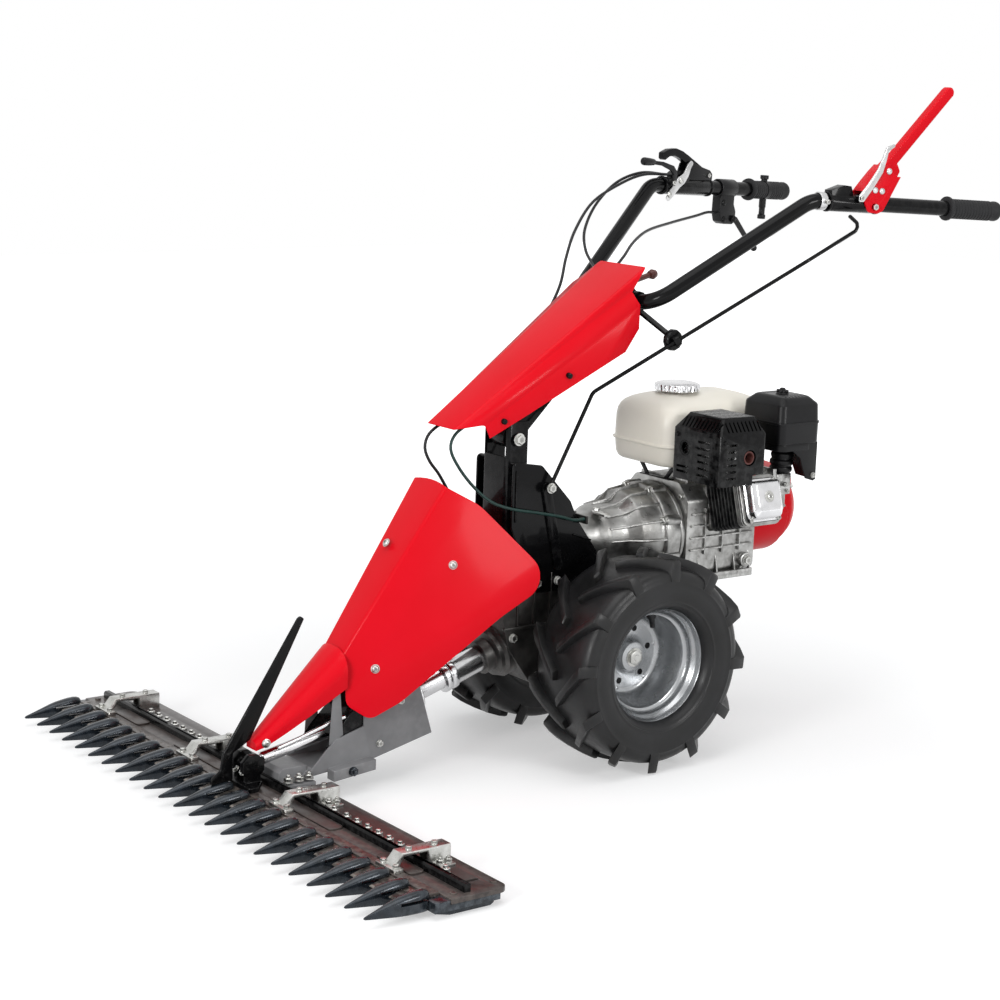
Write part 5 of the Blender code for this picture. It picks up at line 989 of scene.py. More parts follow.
# %% Screws of the covers
DOME = baked(
    turned([(0, 0), (0.0076, 0), (0.0076, 0.0009), (0.0064, 0.0014), (0.0058, 0.003), (0.0042, 0.0042),
            (0.0026, 0.0046), (0.0024, 0.003), (0, 0.003)], steps=24))
front_normal = Vector((0, down_crease.z, -down_crease.y)).normalized()
front_normal = front_normal if front_normal.y < 0 else -front_normal
spots = []
for side in (1, -1):
    flip = Vector((side, 1, 1))
    for u, v in ((0.103, 0.081), (0.318, 0.06)):
        spots.append((on_cheek(u, v, SHEET / 2) * flip, cheek_facing * flip))
middle = 0.5 * (CREASE_TOP + CREASE_LOW)
spots.append(
    (Vector((-0.011, middle.y + 0.0157, middle.z + 0.0336)) + front_normal * SHEET * 0.6, front_normal))
bolts("shield_screws", "mower", zinc_plate, spots, DOME)
y, top, half, drop = nose_size(0.1)
spots = [((side * (half + SHEET / 2), y, top - drop * 0.74), (side, -0.12, 0)) for side in (1, -1)]
bolts("nose_screws", "mower", zinc_plate, spots, DOME)
spots = []
for side in (1, -1):
    for share in (0.62, 0.12):
        upper = Vector(HOOD_FOLD[0]).lerp(Vector(HOOD_FOLD[1]), share)
        lower = Vector(HOOD_LOW[0]).lerp(Vector(HOOD_LOW[2]), share)
        point = upper.lerp(lower, 0.55)
        spots.append(((side * (point.x + 0.0042), point.y, point.z), (side, -0.1, -0.12)))
HOOD_RIVET = baked(
    turned([(0, -0.006), (0.005, -0.006), (0.005, 0.0006), (0.004, 0.002), (0.0016, 0.0028), (0, 0.0028)],
           steps=18))
bolts("hood_rivets", "tractor", black_paint, spots, HOOD_RIVET)

# %% [markdown]
# ## Wheels
# The tyres have twelve slanted bars on each side, half a pitch apart, that run out over the shoulder.
# The carcass is turned from its profile, and one bar is lofted and then set round in a ring. The rims
# are deep pressed dishes with a rolled lip, a hub with one large nut, pressed pips, black discs of
# painted shade for the holes, and a valve.

# %% Tyres
LUG_COUNT = 12
LUG_SKEW = math.radians(22.5)
LUG_SHARE = 0.16
SHOULDER = 0.0705
WHEEL_X = 0.162
AXLE_Z = 0.19
CARCASS = [(0.0605, 0.1035), (0.066, 0.106), (0.069, 0.11), (0.07, 0.1125), (0.0708, 0.113),
           (0.0716, 0.115), (0.0712, 0.1165), (0.0722, 0.12), (0.074, 0.129), (0.0745, 0.14),
           (0.074, 0.149), (0.0744, 0.15), (0.0742, 0.1512), (0.0732, 0.1525), (0.0722, 0.1575),
           (0.07, 0.164), (0.0655, 0.169), (0.057, 0.1722), (0.04, 0.1745), (0.02, 0.1757), (0.006, 0.176)]
LUG_OUTER = [
    (0.001, 0.187), (0.0035, 0.1893), (0.018, 0.1899), (0.038, 0.1899), (0.056, 0.1895), (0.069, 0.188),
    (0.0716, 0.184), (0.0735, 0.168), (0.0748, 0.16), (0.0749, 0.1545), (0.074, 0.15)]
LUG_INNER = [
    (0.001, 0.173), (0.0035, 0.1725), (0.018, 0.172), (0.038, 0.171), (0.054, 0.169), (0.06, 0.166),
    (0.064, 0.162), (0.067, 0.157), (0.069, 0.152), (0.07, 0.15), (0.0705, 0.148)]
BEAD_RADIUS = 0.0995
BEAD_HALF = 0.054
LUG_HALF_TOP = 0.0074
LUG_HALF_ROOT = 0.0094
SHOULDER_START = 0.05
SHOULDER_WIDER = 1.3


def on_tread(side, a, r, along):
    """A point of the tyre at a distance from its middle, skewed as the lugs are."""
    turn_back = LUG_SKEW * min(abs(a), SHOULDER) / SHOULDER - along / r
    return (side * a, r * math.cos(-turn_back), r * math.sin(-turn_back))


def lug(side):
    """One slanted bar, wide at its root and drawn in at the top."""
    rings = []
    for (a, r), (b, s) in zip(LUG_OUTER, LUG_INNER):
        wide = 1.0 if a < SHOULDER_START else SHOULDER_WIDER
        rings.append(
            [on_tread(side, b, s, -LUG_HALF_ROOT), on_tread(side, b, s, LUG_HALF_ROOT),
             on_tread(side, a, r, LUG_HALF_TOP * wide), on_tread(side, a, r, -LUG_HALF_TOP * wide)])
    return reopened(baked(lofted(rings), rounding(0.0009, 2, 40)))


def wheel(word, side):
    """A tyre with its two rings of lugs, standing for the CAD tyre."""
    centre = Vector((side * WHEEL_X, 0, AXLE_Z)) + SHIFT
    half = [(r, -a) for a, r in CARCASS]
    profile = half + [(r, a) for a, r in reversed(CARCASS)] + [
        (BEAD_RADIUS, BEAD_HALF), (BEAD_RADIUS, -BEAD_HALF)]
    shape = turned(profile, (0, 0, 0), (1, 0, 0), 96)
    pitch = 2 * math.pi / LUG_COUNT
    for half_side, start in ((-1, 0.0), (1, 0.5)):
        ring = stepped(
            lug(half_side * side), tyre_rubber, LUG_COUNT, turn_by=pitch,
            first=pitch * (start + LUG_SHARE / 2))
        shape.from_mesh(ring)
    return stand(
        f"tyre_{word}_ring", baked(shifted(shape, centre)), tyre_rubber, f"{word}_wheel", f"tyre_{word}")


for word, side in SIDES:
    made = wheel(word, side)
    print(made.name, len(made.data.polygons), "faces")

# %% Rims
HUB_NUT = hex_bolt(0.0245, 0.0062, 0.017, 0.0008)
# Painted shade: each hole in the dish is a thin black disc standing for the shade seen through it.
WHEEL_HOLE_SHADE = baked(
    turned([(0, -0.0008), (0.0056, -0.0008), (0.0056, 0.0002), (0.0048, 0.0004), (0, 0.0004)], steps=20))
PRESSED_PIP = baked(
    turned([(0, -0.0006), (0.0034, -0.0006), (0.0034, 0.0001), (0.0022, 0.0011), (0, 0.0014)], steps=16))
RIM_FACE = [(0.0, -0.01), (0.0235, -0.01), (0.0258, -0.0108), (0.0268, -0.013), (0.0285, -0.023),
            (0.0305, -0.0275), (0.0345, -0.03), (0.04, -0.0306), (0.06, -0.0306), (0.066, -0.0298),
            (0.0695, -0.027), (0.0712, -0.022), (0.075, -0.004), (0.079, 0.012), (0.0812, 0.02),
            (0.083, 0.0238), (0.0868, 0.0258), (0.089, 0.0285), (0.0902, 0.034), (0.0916, 0.0385),
            (0.095, 0.0412), (0.0968, 0.045), (0.0984, 0.051), (0.101, 0.056), (0.105, 0.0594),
            (0.1098, 0.062), (0.1128, 0.065), (0.1142, 0.0679), (0.1156, 0.0683), (0.1161, 0.067),
            (0.115, 0.0648), (0.11, 0.0626), (0.106, 0.061), (0.1036, 0.0575)]
RIM_BACK = [(0.1036, -0.0575), (0.106, -0.061), (0.11, -0.0628), (0.1148, -0.0652), (0.116, -0.0665),
            (0.1158, -0.068), (0.1145, -0.0683), (0.1128, -0.0668), (0.1045, -0.0635), (0.1015, -0.056),
            (0.0995, -0.052), (0.09, -0.044), (0.087, -0.0385), (0.07, -0.0375), (0.041, -0.037),
            (0.041, -0.0395), (0.0, -0.0395)]
HOLE_CIRCLE = 0.048
PIP_CIRCLE = 0.0615
HUB_FACE = 0.01
DISH_FACE = 0.0305
VALVE_STEM = [
    (0, -0.004), (0.0088, -0.004), (0.0092, 0.0), (0.0086, 0.003), (0.0064, 0.006), (0.0046, 0.009),
    (0.0044, 0.016), (0.0046, 0.0165), (0.0046, 0.021), (0.0038, 0.0225), (0, 0.0225)]
VALVE_ANGLE = math.radians(78)
for word, side in SIDES:
    centre = Vector((side * WHEEL_X, 0, AXLE_Z))
    shape = turned(RIM_FACE + RIM_BACK, centre + SHIFT, (side, 0, 0), 96)
    stand(f"rim_{word}_dish", baked(shape), rim_silver, f"{word}_wheel", f"rim_{word}",
          f"wheel_disc_{word}")
    out = Vector((side, 0, 0))
    hole_shade_spots = []
    pressings = []
    for spoke in around(6, 12):
        hole_shade_spots.append((centre + Vector((0, *spoke)) * HOLE_CIRCLE - out * DISH_FACE, out))
        pressings.append((centre + Vector((0, *spoke)) * PIP_CIRCLE - out * (DISH_FACE - 0.0001), out))
    # The holes are black discs of painted shade.
    bolts(f"wheel_holes_{word}", f"{word}_wheel", black_paint, hole_shade_spots, WHEEL_HOLE_SHADE)
    bolts(f"wheel_pips_{word}", f"{word}_wheel", rim_silver, pressings, PRESSED_PIP)
    bolts(f"hub_nut_{word}", f"{word}_wheel", zinc_plate, [(centre - out * HUB_FACE, out)], HUB_NUT)
    outward = Vector((0, math.cos(VALVE_ANGLE), math.sin(VALVE_ANGLE)))
    valve_root = centre + outward * 0.08 + out * 0.011
    lean = (out * 0.45 - outward * 0.89).normalized()
    mesh = baked(turned(VALVE_STEM, valve_root + SHIFT, lean, 20))
    stand(f"valve_{word}", mesh, grip_rubber, f"{word}_wheel")
print("hub nuts stand", round(HUB_NUT.vertices[-1].co.z * 1000, 1), "mm high")

# %% [markdown]
# ## Cutter bar
# The guards are leaf-shaped fingers with a slot for the knife, each on a foot of its own under one
# flat beam. The knife is a thin back with riveted sections. A rail behind it, wear plates and four
# hold-down clips guide it.

# %% Guards
PITCH = 0.0508
GUARD_COUNT = 23
FIRST_X = -PITCH * (GUARD_COUNT - 1) / 2
GUARD_STATIONS = [
    (-0.712, 0.0048, 0.0107, 0.032, 0.0372), (-0.7138, 0.007, 0.0107, 0.0338, 0.0398),
    (-0.718, 0.0093, 0.0107, 0.0348, 0.0418), (-0.725, 0.0109, 0.0107, 0.0349, 0.0425),
    (-0.735, 0.0115, 0.0108, 0.034, 0.0418), (-0.747, 0.0111, 0.011, 0.0328, 0.0401),
    (-0.76, 0.01, 0.0114, 0.0312, 0.0378), (-0.77, 0.0087, 0.0119, 0.0292, 0.0352),
    (-0.782, 0.0068, 0.0127, 0.0264, 0.0314), (-0.794, 0.0049, 0.0136, 0.0235, 0.0275),
    (-0.805, 0.0033, 0.0144, 0.0211, 0.024), (-0.813, 0.0022, 0.015, 0.0195, 0.0216),
    (-0.818, 0.0014, 0.0156, 0.0186, 0.0199), (-0.8199, 0.0006, 0.0165, 0.0178, 0.0183)]
CROWN = [(1.0, 0.0), (0.9, 0.4), (0.68, 0.72), (0.38, 0.92), (0.0, 1.0)]
GUARD_SLOT = ((-0.763, -0.684), (0.0262, 0.0309))


def box(x, y, z):
    """A block between the given limits."""
    return drawn([(x[0], y[0]), (x[1], y[0]), (x[1], y[1]), (x[0], y[1])], "Z", z[0], z[1])


def cut_from(shape, tool):
    """A bmesh with another one taken away from it."""
    mesh = bpy.data.meshes.new("tool")
    tool.to_mesh(mesh)
    tool.free()
    cutter = bpy.data.objects.new("tool", mesh)
    bpy.context.scene.collection.objects.link(cutter)
    left = baked(shape, ("BOOLEAN", {"operation": "DIFFERENCE", "solver": "EXACT", "object": cutter}))
    bpy.data.objects.remove(cutter)
    return reopened(left)


def guard():
    """One finger and its foot, at the middle of the bar."""
    rings = []
    for y, half, bottom, shoulder, ridge in GUARD_STATIONS:
        right = [(half * u, y, shoulder + (ridge - shoulder) * v) for u, v in CROWN]
        left = [(-x, b, c) for x, b, c in reversed(right[:-1])]
        rings.append(
            [(-half * 0.85, y, bottom), (half * 0.85, y, bottom), (half, y, bottom + 0.002)] + right + left
            + [(-half, y, bottom + 0.002)])
    finger = cut_from(lofted(rings), box((-0.03, 0.03), *GUARD_SLOT))
    foot_half = PITCH / 2 - 0.0004
    foot = drawn(
        [(-0.6, 0.0107), (-0.6, 0.0197), (-0.6885, 0.0197), (-0.6885, 0.0262), (-0.715, 0.0262),
         (-0.715, 0.0107)], "X", -foot_half, foot_half)
    return joined(finger, foot)


shape = reopened(baked(guard(), rounding(0.0006, 2, 42)))
row = stepped(shape, guard_steel, GUARD_COUNT, Vector((FIRST_X, 0, 0)) + SHIFT, (PITCH, 0, 0))
stand("guard_row", row, guard_steel, "mower", "finger_bar")
SKID_NEAR, SKID_FAR = 0.5523, 0.5743
SOLE = [(-0.604, 0.0127), (-0.604, 0.004), (-0.61, 0.0), (-0.682, 0.0), (-0.708, 0.006), (-0.712, 0.0127)]
for word, side in SIDES:
    stand(f"skid_{word}", edged(drawn(SOLE, "X", *span(side, SKID_NEAR, SKID_FAR)), 0.0012), guard_steel,
          "mower")

# %% Knife sections and back
KNIFE_FRONT = -0.7105
SECTION_HALF = 0.023


def section_ring(z, tip_half, length):
    """A knife section's outline at a height, with its tip's half width and its length."""
    left = [(SECTION_HALF, KNIFE_FRONT + 0.02), (SECTION_HALF, KNIFE_FRONT),
            (tip_half, KNIFE_FRONT - length)]
    return [(-x, y, z) for x, y in left] + [(x, y, z) for x, y in reversed(left)]


section = lofted(
    [section_ring(0.0265, 0.006, 0.047), section_ring(0.0272, 0.006, 0.047),
     section_ring(0.0295, 0.0042, 0.044)])
sections = stepped(
    section, knife_steel, GUARD_COUNT - 1, Vector((FIRST_X + PITCH / 2, 0, 0)) + SHIFT, (PITCH, 0, 0))
stand("knife_sections", sections, knife_steel, "cutting_knife", "knife")
back_half = PITCH * (GUARD_COUNT - 1) / 2 - 0.001
strip = box((-back_half, back_half), (KNIFE_FRONT + 0.0005, -0.6905), (0.0275, 0.0317))
stand("knife_back", edged(strip, 0.0006), bar_varnish, "cutting_knife")
rivet = baked(
    turned([(0, -0.001), (0.0034, -0.001), (0.0034, 0.00005), (0.003, 0.00022), (0, 0.00025)], steps=16))
spots = [((FIRST_X + PITCH * (i + 0.5) + offset, KNIFE_FRONT + 0.0102, 0.0317), (0, 0, 1))
         for i in range(GUARD_COUNT - 1) for offset in (-0.013, 0.013)]
bolts("knife_rivets", "cutting_knife", knife_steel, spots, rivet)

# %% Beam, rail and wear plates
BEAM_HALF = PITCH * (GUARD_COUNT - 1) / 2 + 0.0262
CLIP_X = [PITCH * share for share in (-9.45, -3.45, 2.6, 8.7)]
BEAM_TOP = 0.028


def flat(outline, low, high, corner=0.0, steps=6):
    """A plate with rounded corners."""
    return drawn(rounded(outline, corner, steps) if corner else outline, "Z", low, high)


plate = [(-BEAM_HALF, -0.688), (BEAM_HALF, -0.688), (BEAM_HALF, -0.585), (-BEAM_HALF, -0.585)]
shape = flat(plate, 0.02, BEAM_TOP, [0, 0, 0.016, 0.016])
for side in (-1, 1):
    middle = side * (BEAM_HALF - 0.049)
    slot = [(middle - 0.004, -0.632), (middle + 0.004, -0.632), (middle + 0.004, -0.606),
            (middle - 0.004, -0.606)]
    shape = cut_from(shape, flat(slot, 0.018, 0.03, 0.0039))
stand("beam_plate", edged(shape, 0.0009, 2, 40), bar_varnish, "mower", "cutter_beam")
rail = [(-0.657, 0.0279), (-0.657, 0.037), (-0.654, 0.04), (-0.646, 0.04), (-0.646, 0.0279)]
shape = drawn(rail, "X", -BEAM_HALF + 0.012, BEAM_HALF - 0.012)
for side in (-1, 1):
    for near, far in ((0.07, 0.145), (0.19, 0.305), (0.335, 0.455)):
        ends = span(side, near, far)
        groove = flat(
            [(ends[0], -0.6536), (ends[1], -0.6536), (ends[1], -0.6494), (ends[0], -0.6494)], 0.033, 0.042,
            0.002, 4)
        shape = cut_from(shape, groove)
stand("knife_rail", edged(shape, 0.0006, 2, 40), black_paint, "mower")
for word, side in SIDES:
    shapes = []
    for centre, reach in ((0.172, 0.083), (0.43, 0.048)):
        ends = span(side, centre - reach, centre + reach)
        outline = [(ends[0], -0.6865), (ends[1], -0.6865), (ends[1], -0.6585), (ends[0], -0.6585)]
        shapes.append(flat(outline, BEAM_TOP - 0.0001, BEAM_TOP + 0.0035, 0.009, 6))
    mesh = edged(shapes, 0.0008, 2, 40)
    stand(f"wear_plates_{word}", mesh, bar_varnish, "mower")

# %% Hold-down clips, their bolts and the bolts of the beam
for number, x in enumerate(CLIP_X, 1):
    finer(f"knife_clip_{number}", f"hold_down_{number}", zinc_plate, 0.0009)
spots = []
for x in CLIP_X:
    for place in (
            (x - 0.0165, -0.6995, 0.037), (x + 0.0165, -0.6995, 0.037), (x, -0.666, 0.055),
            (x, -0.62, 0.055)):
        spots.append((place, (0, 0, 1)))
clip_bolt = hex_bolt(0.0085, 0.0038, 0.0052)
bolts("clip_bolts", "mower", zinc_plate, spots, clip_bolt)
spots = [((x + math.copysign(0.0245, x), y, 0.0323), (0, 0, 1)) for x in CLIP_X for y in (-0.6255, -0.611)]
bolts("clip_side_nuts", "mower", zinc_plate, spots, M6_NUT)
spots = []
for side in (-1, 1):
    for x in [0.096 + 0.03 * k for k in range(4)] + [0.222 + 0.03 * k for k in range(10)]:
        if min(abs(side * x - clip) for clip in CLIP_X) > 0.042:
            spots.append(((side * x, -0.634, BEAM_TOP), (0, 0, 1)))
bolts("beam_nuts", "mower", zinc_plate, spots, M8_NUT)
spots = [((FIRST_X + PITCH * i, -0.595, BEAM_TOP), (0, 0, 1)) for i in (0, GUARD_COUNT - 1)]
spots += [((side * (BEAM_HALF - 0.018), -0.672, BEAM_TOP), (0, 0, 1)) for side in (-1, 1)]
bolts("end_rivets", "mower", bar_varnish, spots, hex_bolt(0.0095, 0.0022))

# %% [markdown]
# ## Engine
# The engine is a cast crankcase on a ribbed foot, a dark finned cylinder that leans to the left, a
# pressed valve cover, a cream tank with a welded seam, a slotted guard over the muffler, and an air
# cleaner over the carburettor. The leaning parts are drawn along two axes of their own.

# %% Leaning axes
CRANK_Z = 0.4
LEAN = math.radians(16)
CYLINDER_Y = 0.255
LEAN_S = Vector((math.cos(LEAN), 0, math.sin(LEAN)))
LEAN_T = Vector((-math.sin(LEAN), 0, math.cos(LEAN)))


def leaned(s, t, y=0.0):
    """A place along the leaning cylinder: s out from the crank, t across it, y along the shaft."""
    return Vector((0, y, CRANK_Z)) + LEAN_S * s + LEAN_T * t


def leaned_block(s0, s1, half_t, half_y, corner=0.006, steps=4):
    """A block square to the cylinder, with rounded long edges."""
    outline = rounded(
        [(-half_t, -half_y), (half_t, -half_y), (half_t, half_y), (-half_t, half_y)], corner, steps)
    return lofted([[leaned(s, t, CYLINDER_Y + v) for t, v in outline] for s in (s0, s1)])


# %% Crankcase and foot
CASE_BACK = 0.33
CASE_FRONT = 0.1503
case_outline = rounded(
    [(-0.088, 0.3), (0.088, 0.3), (0.088, 0.44), (0.06, 0.47), (-0.06, 0.47), (-0.088, 0.44)], 0.014, 6)
shapes = [drawn(case_outline, "Y", CASE_FRONT + 0.014, CASE_BACK),
          turned([(0, CASE_FRONT), (0.088, CASE_FRONT), (0.09, CASE_FRONT + 0.002),
                  (0.09, CASE_FRONT + 0.008), (0.086, CASE_FRONT + 0.011), (0.08, CASE_FRONT + 0.018),
                  (0, CASE_FRONT + 0.018)], (0, 0, 0.375), (0, 1, 0), 64),
          box((-0.096, 0.096), (0.19, 0.322), (0.29, 0.297)),
          leaned_block(0.03, 0.094, 0.043, 0.043, 0.01)]
for side in (-1, 1):
    lip = span(side, 0.088, 0.096)
    shapes.append(box(lip, (0.19, 0.322), (0.296, 0.304)))
    for y in (0.1925, 0.2355, 0.2785, 0.3155):
        rib = [(side * 0.0875, 0.3), (side * 0.0955, 0.3), (side * 0.0875, 0.338)]
        shapes.append(drawn(rib, "Y", y, y + 0.0035))
for side in (-1, 1):
    web = span(side, 0.0875, 0.093)
    for z in (0.348, 0.37, 0.392, 0.414):
        shapes.append(box(web, (0.172, 0.32), (z, z + 0.0035)))
    for y in (0.204, 0.246, 0.288):
        shapes.append(box(web, (y, y + 0.0035), (0.34, 0.425)))
for y in (0.18, 0.245, 0.31):
    shapes.append(box((-0.064, 0.064), (y, y + 0.004), (0.468, 0.474)))
shapes.append(
    turned([(0, 0), (0.0135, 0), (0.0135, 0.0075), (0.012, 0.009), (0, 0.009)], (0.087, 0.306, 0.32),
           (1, 0, 0), 28))
mesh = edged(shapes, 0.0012, 2, 40)
stand("crankcase_casting", mesh, cast_alloy, "tractor", "engine_block")
spots = [((0.096, 0.306, 0.32), (1, 0, 0))]
spots += [((side * 0.0795, y, 0.304), (0, 0, 1)) for side in (-1, 1) for y in (0.205, 0.305)]
spots += [((0.08 * c, CASE_BACK - 0.1716, 0.375 + 0.08 * s), (0, -1, 0)) for c, s in around(8, 22.5)]
bolts("crankcase_bolts", "tractor", zinc_plate, spots, M8)
spots = [((x, 0.164, z), (0, -1, 0))
         for x, z in ((-0.078, 0.318), (0.078, 0.318), (-0.07, 0.446), (0.07, 0.446))]
bolts("case_front_bolts", "tractor", zinc_plate, spots, M6)

# %% Finned cylinder
FIN_COUNT = 8
FIN_PITCH = 0.0087
fin = leaned_block(0.097, 0.0992, 0.045, 0.045, 0.01)
fins = stepped(shifted(fin), fin_black, FIN_COUNT, (0, 0, 0), LEAN_S * FIN_PITCH)
stand("cylinder_fins", fins, fin_black, "tractor")
shapes = [leaned_block(0.093, 0.1665, 0.0355, 0.0355, 0.016)]
for t in (-0.03, 0.03):
    for v in (-0.03, 0.03):
        foot = leaned(0.09, t, CYLINDER_Y + v)
        shapes.append(
            turned([(0, 0), (0.0075, 0), (0.006, 0.012), (0.0048, 0.03), (0.0048, 0.078), (0, 0.078)], foot,
                   LEAN_S, 16))
stand("cylinder_barrel", baked(shifted(joined(*shapes))), fin_black, "tractor")
layers = ((0.1665, 0.1705, 0.0445), (0.1722, 0.1748, 0.045), (0.17, 0.188, 0.0405), (0.1765, 0.179, 0.045),
          (0.1808, 0.1832, 0.044))
head = [leaned_block(low, high, half, half, 0.012, 6) for low, high, half in layers]
stand("cylinder_head", edged(head, 0.0005, 2, 40), cast_alloy, "tractor")

# %% Valve cover
COVER_S = 0.1883
cover_corners = [
    (-0.038, -0.034), (-0.024, -0.04), (0.034, -0.04), (0.038, -0.036), (0.038, 0.036), (0.034, 0.04),
    (-0.024, 0.04), (-0.038, 0.034)]


def cover_ring(s, share, slide):
    """The valve cover's outline at a height, drawn in by a share."""
    outline = rounded([(t * share + slide, v * share) for t, v in cover_corners], 0.007 * share, 4)
    return [leaned(s, t, CYLINDER_Y + v) for t, v in outline]


cover = lofted(
    [cover_ring(COVER_S + lift, share, slide) for lift, share, slide in ((0, 1.0, 0), (0.0016, 1.0, 0),
            (0.0017, 0.9, 0), (0.013, 0.875, 0.0006), (0.016, 0.84, 0.001), (0.0206, 0.66, 0.003),
            (0.0212, 0.62, 0.003))])
stand("valve_cover_pressing", edged(cover, 0.0012, 3, 24), bright_steel, "tractor", "valve_cover")
gasket = leaned_block(0.1876, 0.1886, 0.039, 0.041, 0.008)
stand("valve_gasket", baked(shifted(gasket)), black_plastic, "tractor")
spots = [(leaned(COVER_S + 0.0016, t, CYLINDER_Y + v), LEAN_S) for t in (-0.0345, 0.0348)
         for v in (-0.033, 0.033)]
bolts("cover_bolts", "tractor", zinc_plate, spots, hex_bolt(0.008, 0.0035))
bolts("cover_centre_bolt", "tractor", zinc_plate, [(leaned(COVER_S + 0.021, 0.004, CYLINDER_Y), LEAN_S)],
      hex_bolt(0.011, 0.003, 0.0105))

# %% Fuel tank and its cap
TANK_X = (-0.1, 0.07)
TANK_Y = (0.125, 0.38)
TANK_Z = (0.497, 0.623)
SEAM_Z = 0.536
tank_middle = Vector(((TANK_X[0] + TANK_X[1]) / 2, (TANK_Y[0] + TANK_Y[1]) / 2))
tank_half = Vector(((TANK_X[1] - TANK_X[0]) / 2, (TANK_Y[1] - TANK_Y[0]) / 2))


def tank_ring(z, inset, radius):
    """The tank's outline at a height, drawn in by an inset."""
    u = tank_half.x - inset
    v = tank_half.y - inset
    outline = rounded([(-u, -v), (u, -v), (u, v), (-u, v)], radius, 9)
    return [(tank_middle.x + a, tank_middle.y + b, z) for a, b in outline]


TANK_RINGS = [
    (TANK_Z[0], 0.016, 0.024), (TANK_Z[0] + 0.0012, 0.0115, 0.026), (TANK_Z[0] + 0.005, 0.0065, 0.029),
    (TANK_Z[0] + 0.013, 0.0025, 0.032), (SEAM_Z - 0.0035, 0.0006, 0.033), (SEAM_Z - 0.0015, -0.0012, 0.034),
    (SEAM_Z - 0.0013, -0.0032, 0.036), (SEAM_Z - 0.0008, -0.0035, 0.036), (SEAM_Z + 0.0008, -0.0035, 0.036),
    (SEAM_Z + 0.0013, -0.0032, 0.036), (SEAM_Z + 0.0015, -0.0012, 0.034), (SEAM_Z + 0.0035, 0.0004, 0.033),
    (0.56, 0.001, 0.031), (0.58, 0.002, 0.03), (0.591, 0.0038, 0.03), (0.599, 0.007, 0.03),
    (0.6055, 0.0122, 0.03), (0.6108, 0.02, 0.029), (0.615, 0.03, 0.027), (0.6185, 0.0415, 0.024),
    (0.6212, 0.054, 0.02), (0.623, 0.068, 0.014)]
tank = lofted([tank_ring(*ring) for ring in TANK_RINGS])
stand("fuel_tank_shell", baked(shifted(tank)), tank_cream, "tractor", "fuel_tank")
CAP_AT = Vector((-0.012, 0.212, TANK_Z[1] + GAP))
CAP_RIBS = 22


def knurled(z, radius, dip):
    """A ring with round flutes cut in it."""
    count = CAP_RIBS * 8
    ring = []
    for k in range(count):
        angle = 2 * math.pi * k / count
        hollow = dip * (0.5 + 0.5 * math.cos(angle * CAP_RIBS)) ** 2
        ring.append(CAP_AT + Vector(((radius - hollow) * math.cos(angle),
                    (radius - hollow) * math.sin(angle), z)))
    return ring


cap = lofted(
    [knurled(*ring) for ring in ((0.0, 0.03, 0), (0.0025, 0.031, 0), (0.0026, 0.0405, 0),
            (0.0034, 0.0416, 0.0006), (0.0045, 0.042, 0.0018), (0.0126, 0.0418, 0.0018),
            (0.0142, 0.0408, 0.0006), (0.0152, 0.039, 0), (0.017, 0.033, 0), (0.0181, 0.025, 0),
            (0.0186, 0.015, 0))])
stand("fuel_cap_shell", baked(shifted(cap)), bright_steel, "fuel_cap", "fuel_cap")
legs = []
for y in (0.168, 0.306):
    for side in (-1, 1):
        outline = [(side * 0.02, 0.47), (side * 0.03, 0.47), (side * 0.056, TANK_Z[0] + 0.001),
                   (side * 0.044, TANK_Z[0] + 0.001)]
        legs.append(drawn([(x - 0.008, z) for x, z in outline], "Y", y, y + 0.0035))
    legs.append(box((-0.066, 0.05), (y - 0.004, y + 0.0075), (TANK_Z[0] - 0.003, TANK_Z[0] + 0.0005)))
    legs.append(box((-0.05, 0.034), (y - 0.004, y + 0.0075), (0.469, 0.4715)))
stand("tank_legs", edged(legs, 0.0008), black_paint, "tractor")

# %% Muffler and its guard
GUARD_X = (0.0755, 0.2025)
GUARD_Y = (0.132, 0.239)
GUARD_Z = (0.487, 0.577, 0.605)
ROOF_IN = 0.02


def guard_ring(z, inset, wall=0.0, corner=0.006):
    """The muffler guard's outline at a height."""
    x0, x1 = GUARD_X[0] + inset * 0.9 + wall, GUARD_X[1] - inset - wall
    y0, y1 = GUARD_Y[0] + inset + wall, GUARD_Y[1] - inset * 0.6 - wall
    outline = rounded([(x0, y0), (x1, y0), (x1, y1), (x0, y1)], corner, 3)
    return [(x, y, z) for x, y in outline]


def guard_shell(wall):
    """The folded box of the guard: walls, a chamfer all round and a roof."""
    return lofted(
        [guard_ring(GUARD_Z[0] - 0.02 * (wall > 0), 0, wall), guard_ring(GUARD_Z[1] - wall * 0.4, 0, wall),
         guard_ring(GUARD_Z[2] - wall, ROOF_IN, wall * 0.4, 0.004)])


shell = cut_from(guard_shell(0.0), guard_shell(0.002))
tools = []
for row in range(7):
    for column in range(3):
        x = GUARD_X[0] + 0.0365 + column * 0.024
        y = GUARD_Y[0] + 0.027 + row * 0.0098
        slot = [(x - 0.0085, y - 0.003), (x + 0.0085, y + 0.001), (x + 0.0085, y + 0.0034),
                (x - 0.0085, y - 0.0006)]
        tools.append(drawn(slot, "Z", GUARD_Z[2] - 0.008, GUARD_Z[2] + 0.004))
for k in range(11):
    x = GUARD_X[0] + 0.018 + k * 0.0092
    tools.append(
        box((x, x + 0.0034), (GUARD_Y[0] + 0.0035, GUARD_Y[0] + 0.016),
            (GUARD_Z[1] - 0.001, GUARD_Z[2] + 0.004)))
for k in range(9):
    y = GUARD_Y[0] + 0.019 + k * 0.0092
    tools.append(
        box((GUARD_X[1] - 0.016, GUARD_X[1] - 0.0035), (y, y + 0.0034),
            (GUARD_Z[1] - 0.001, GUARD_Z[2] + 0.004)))
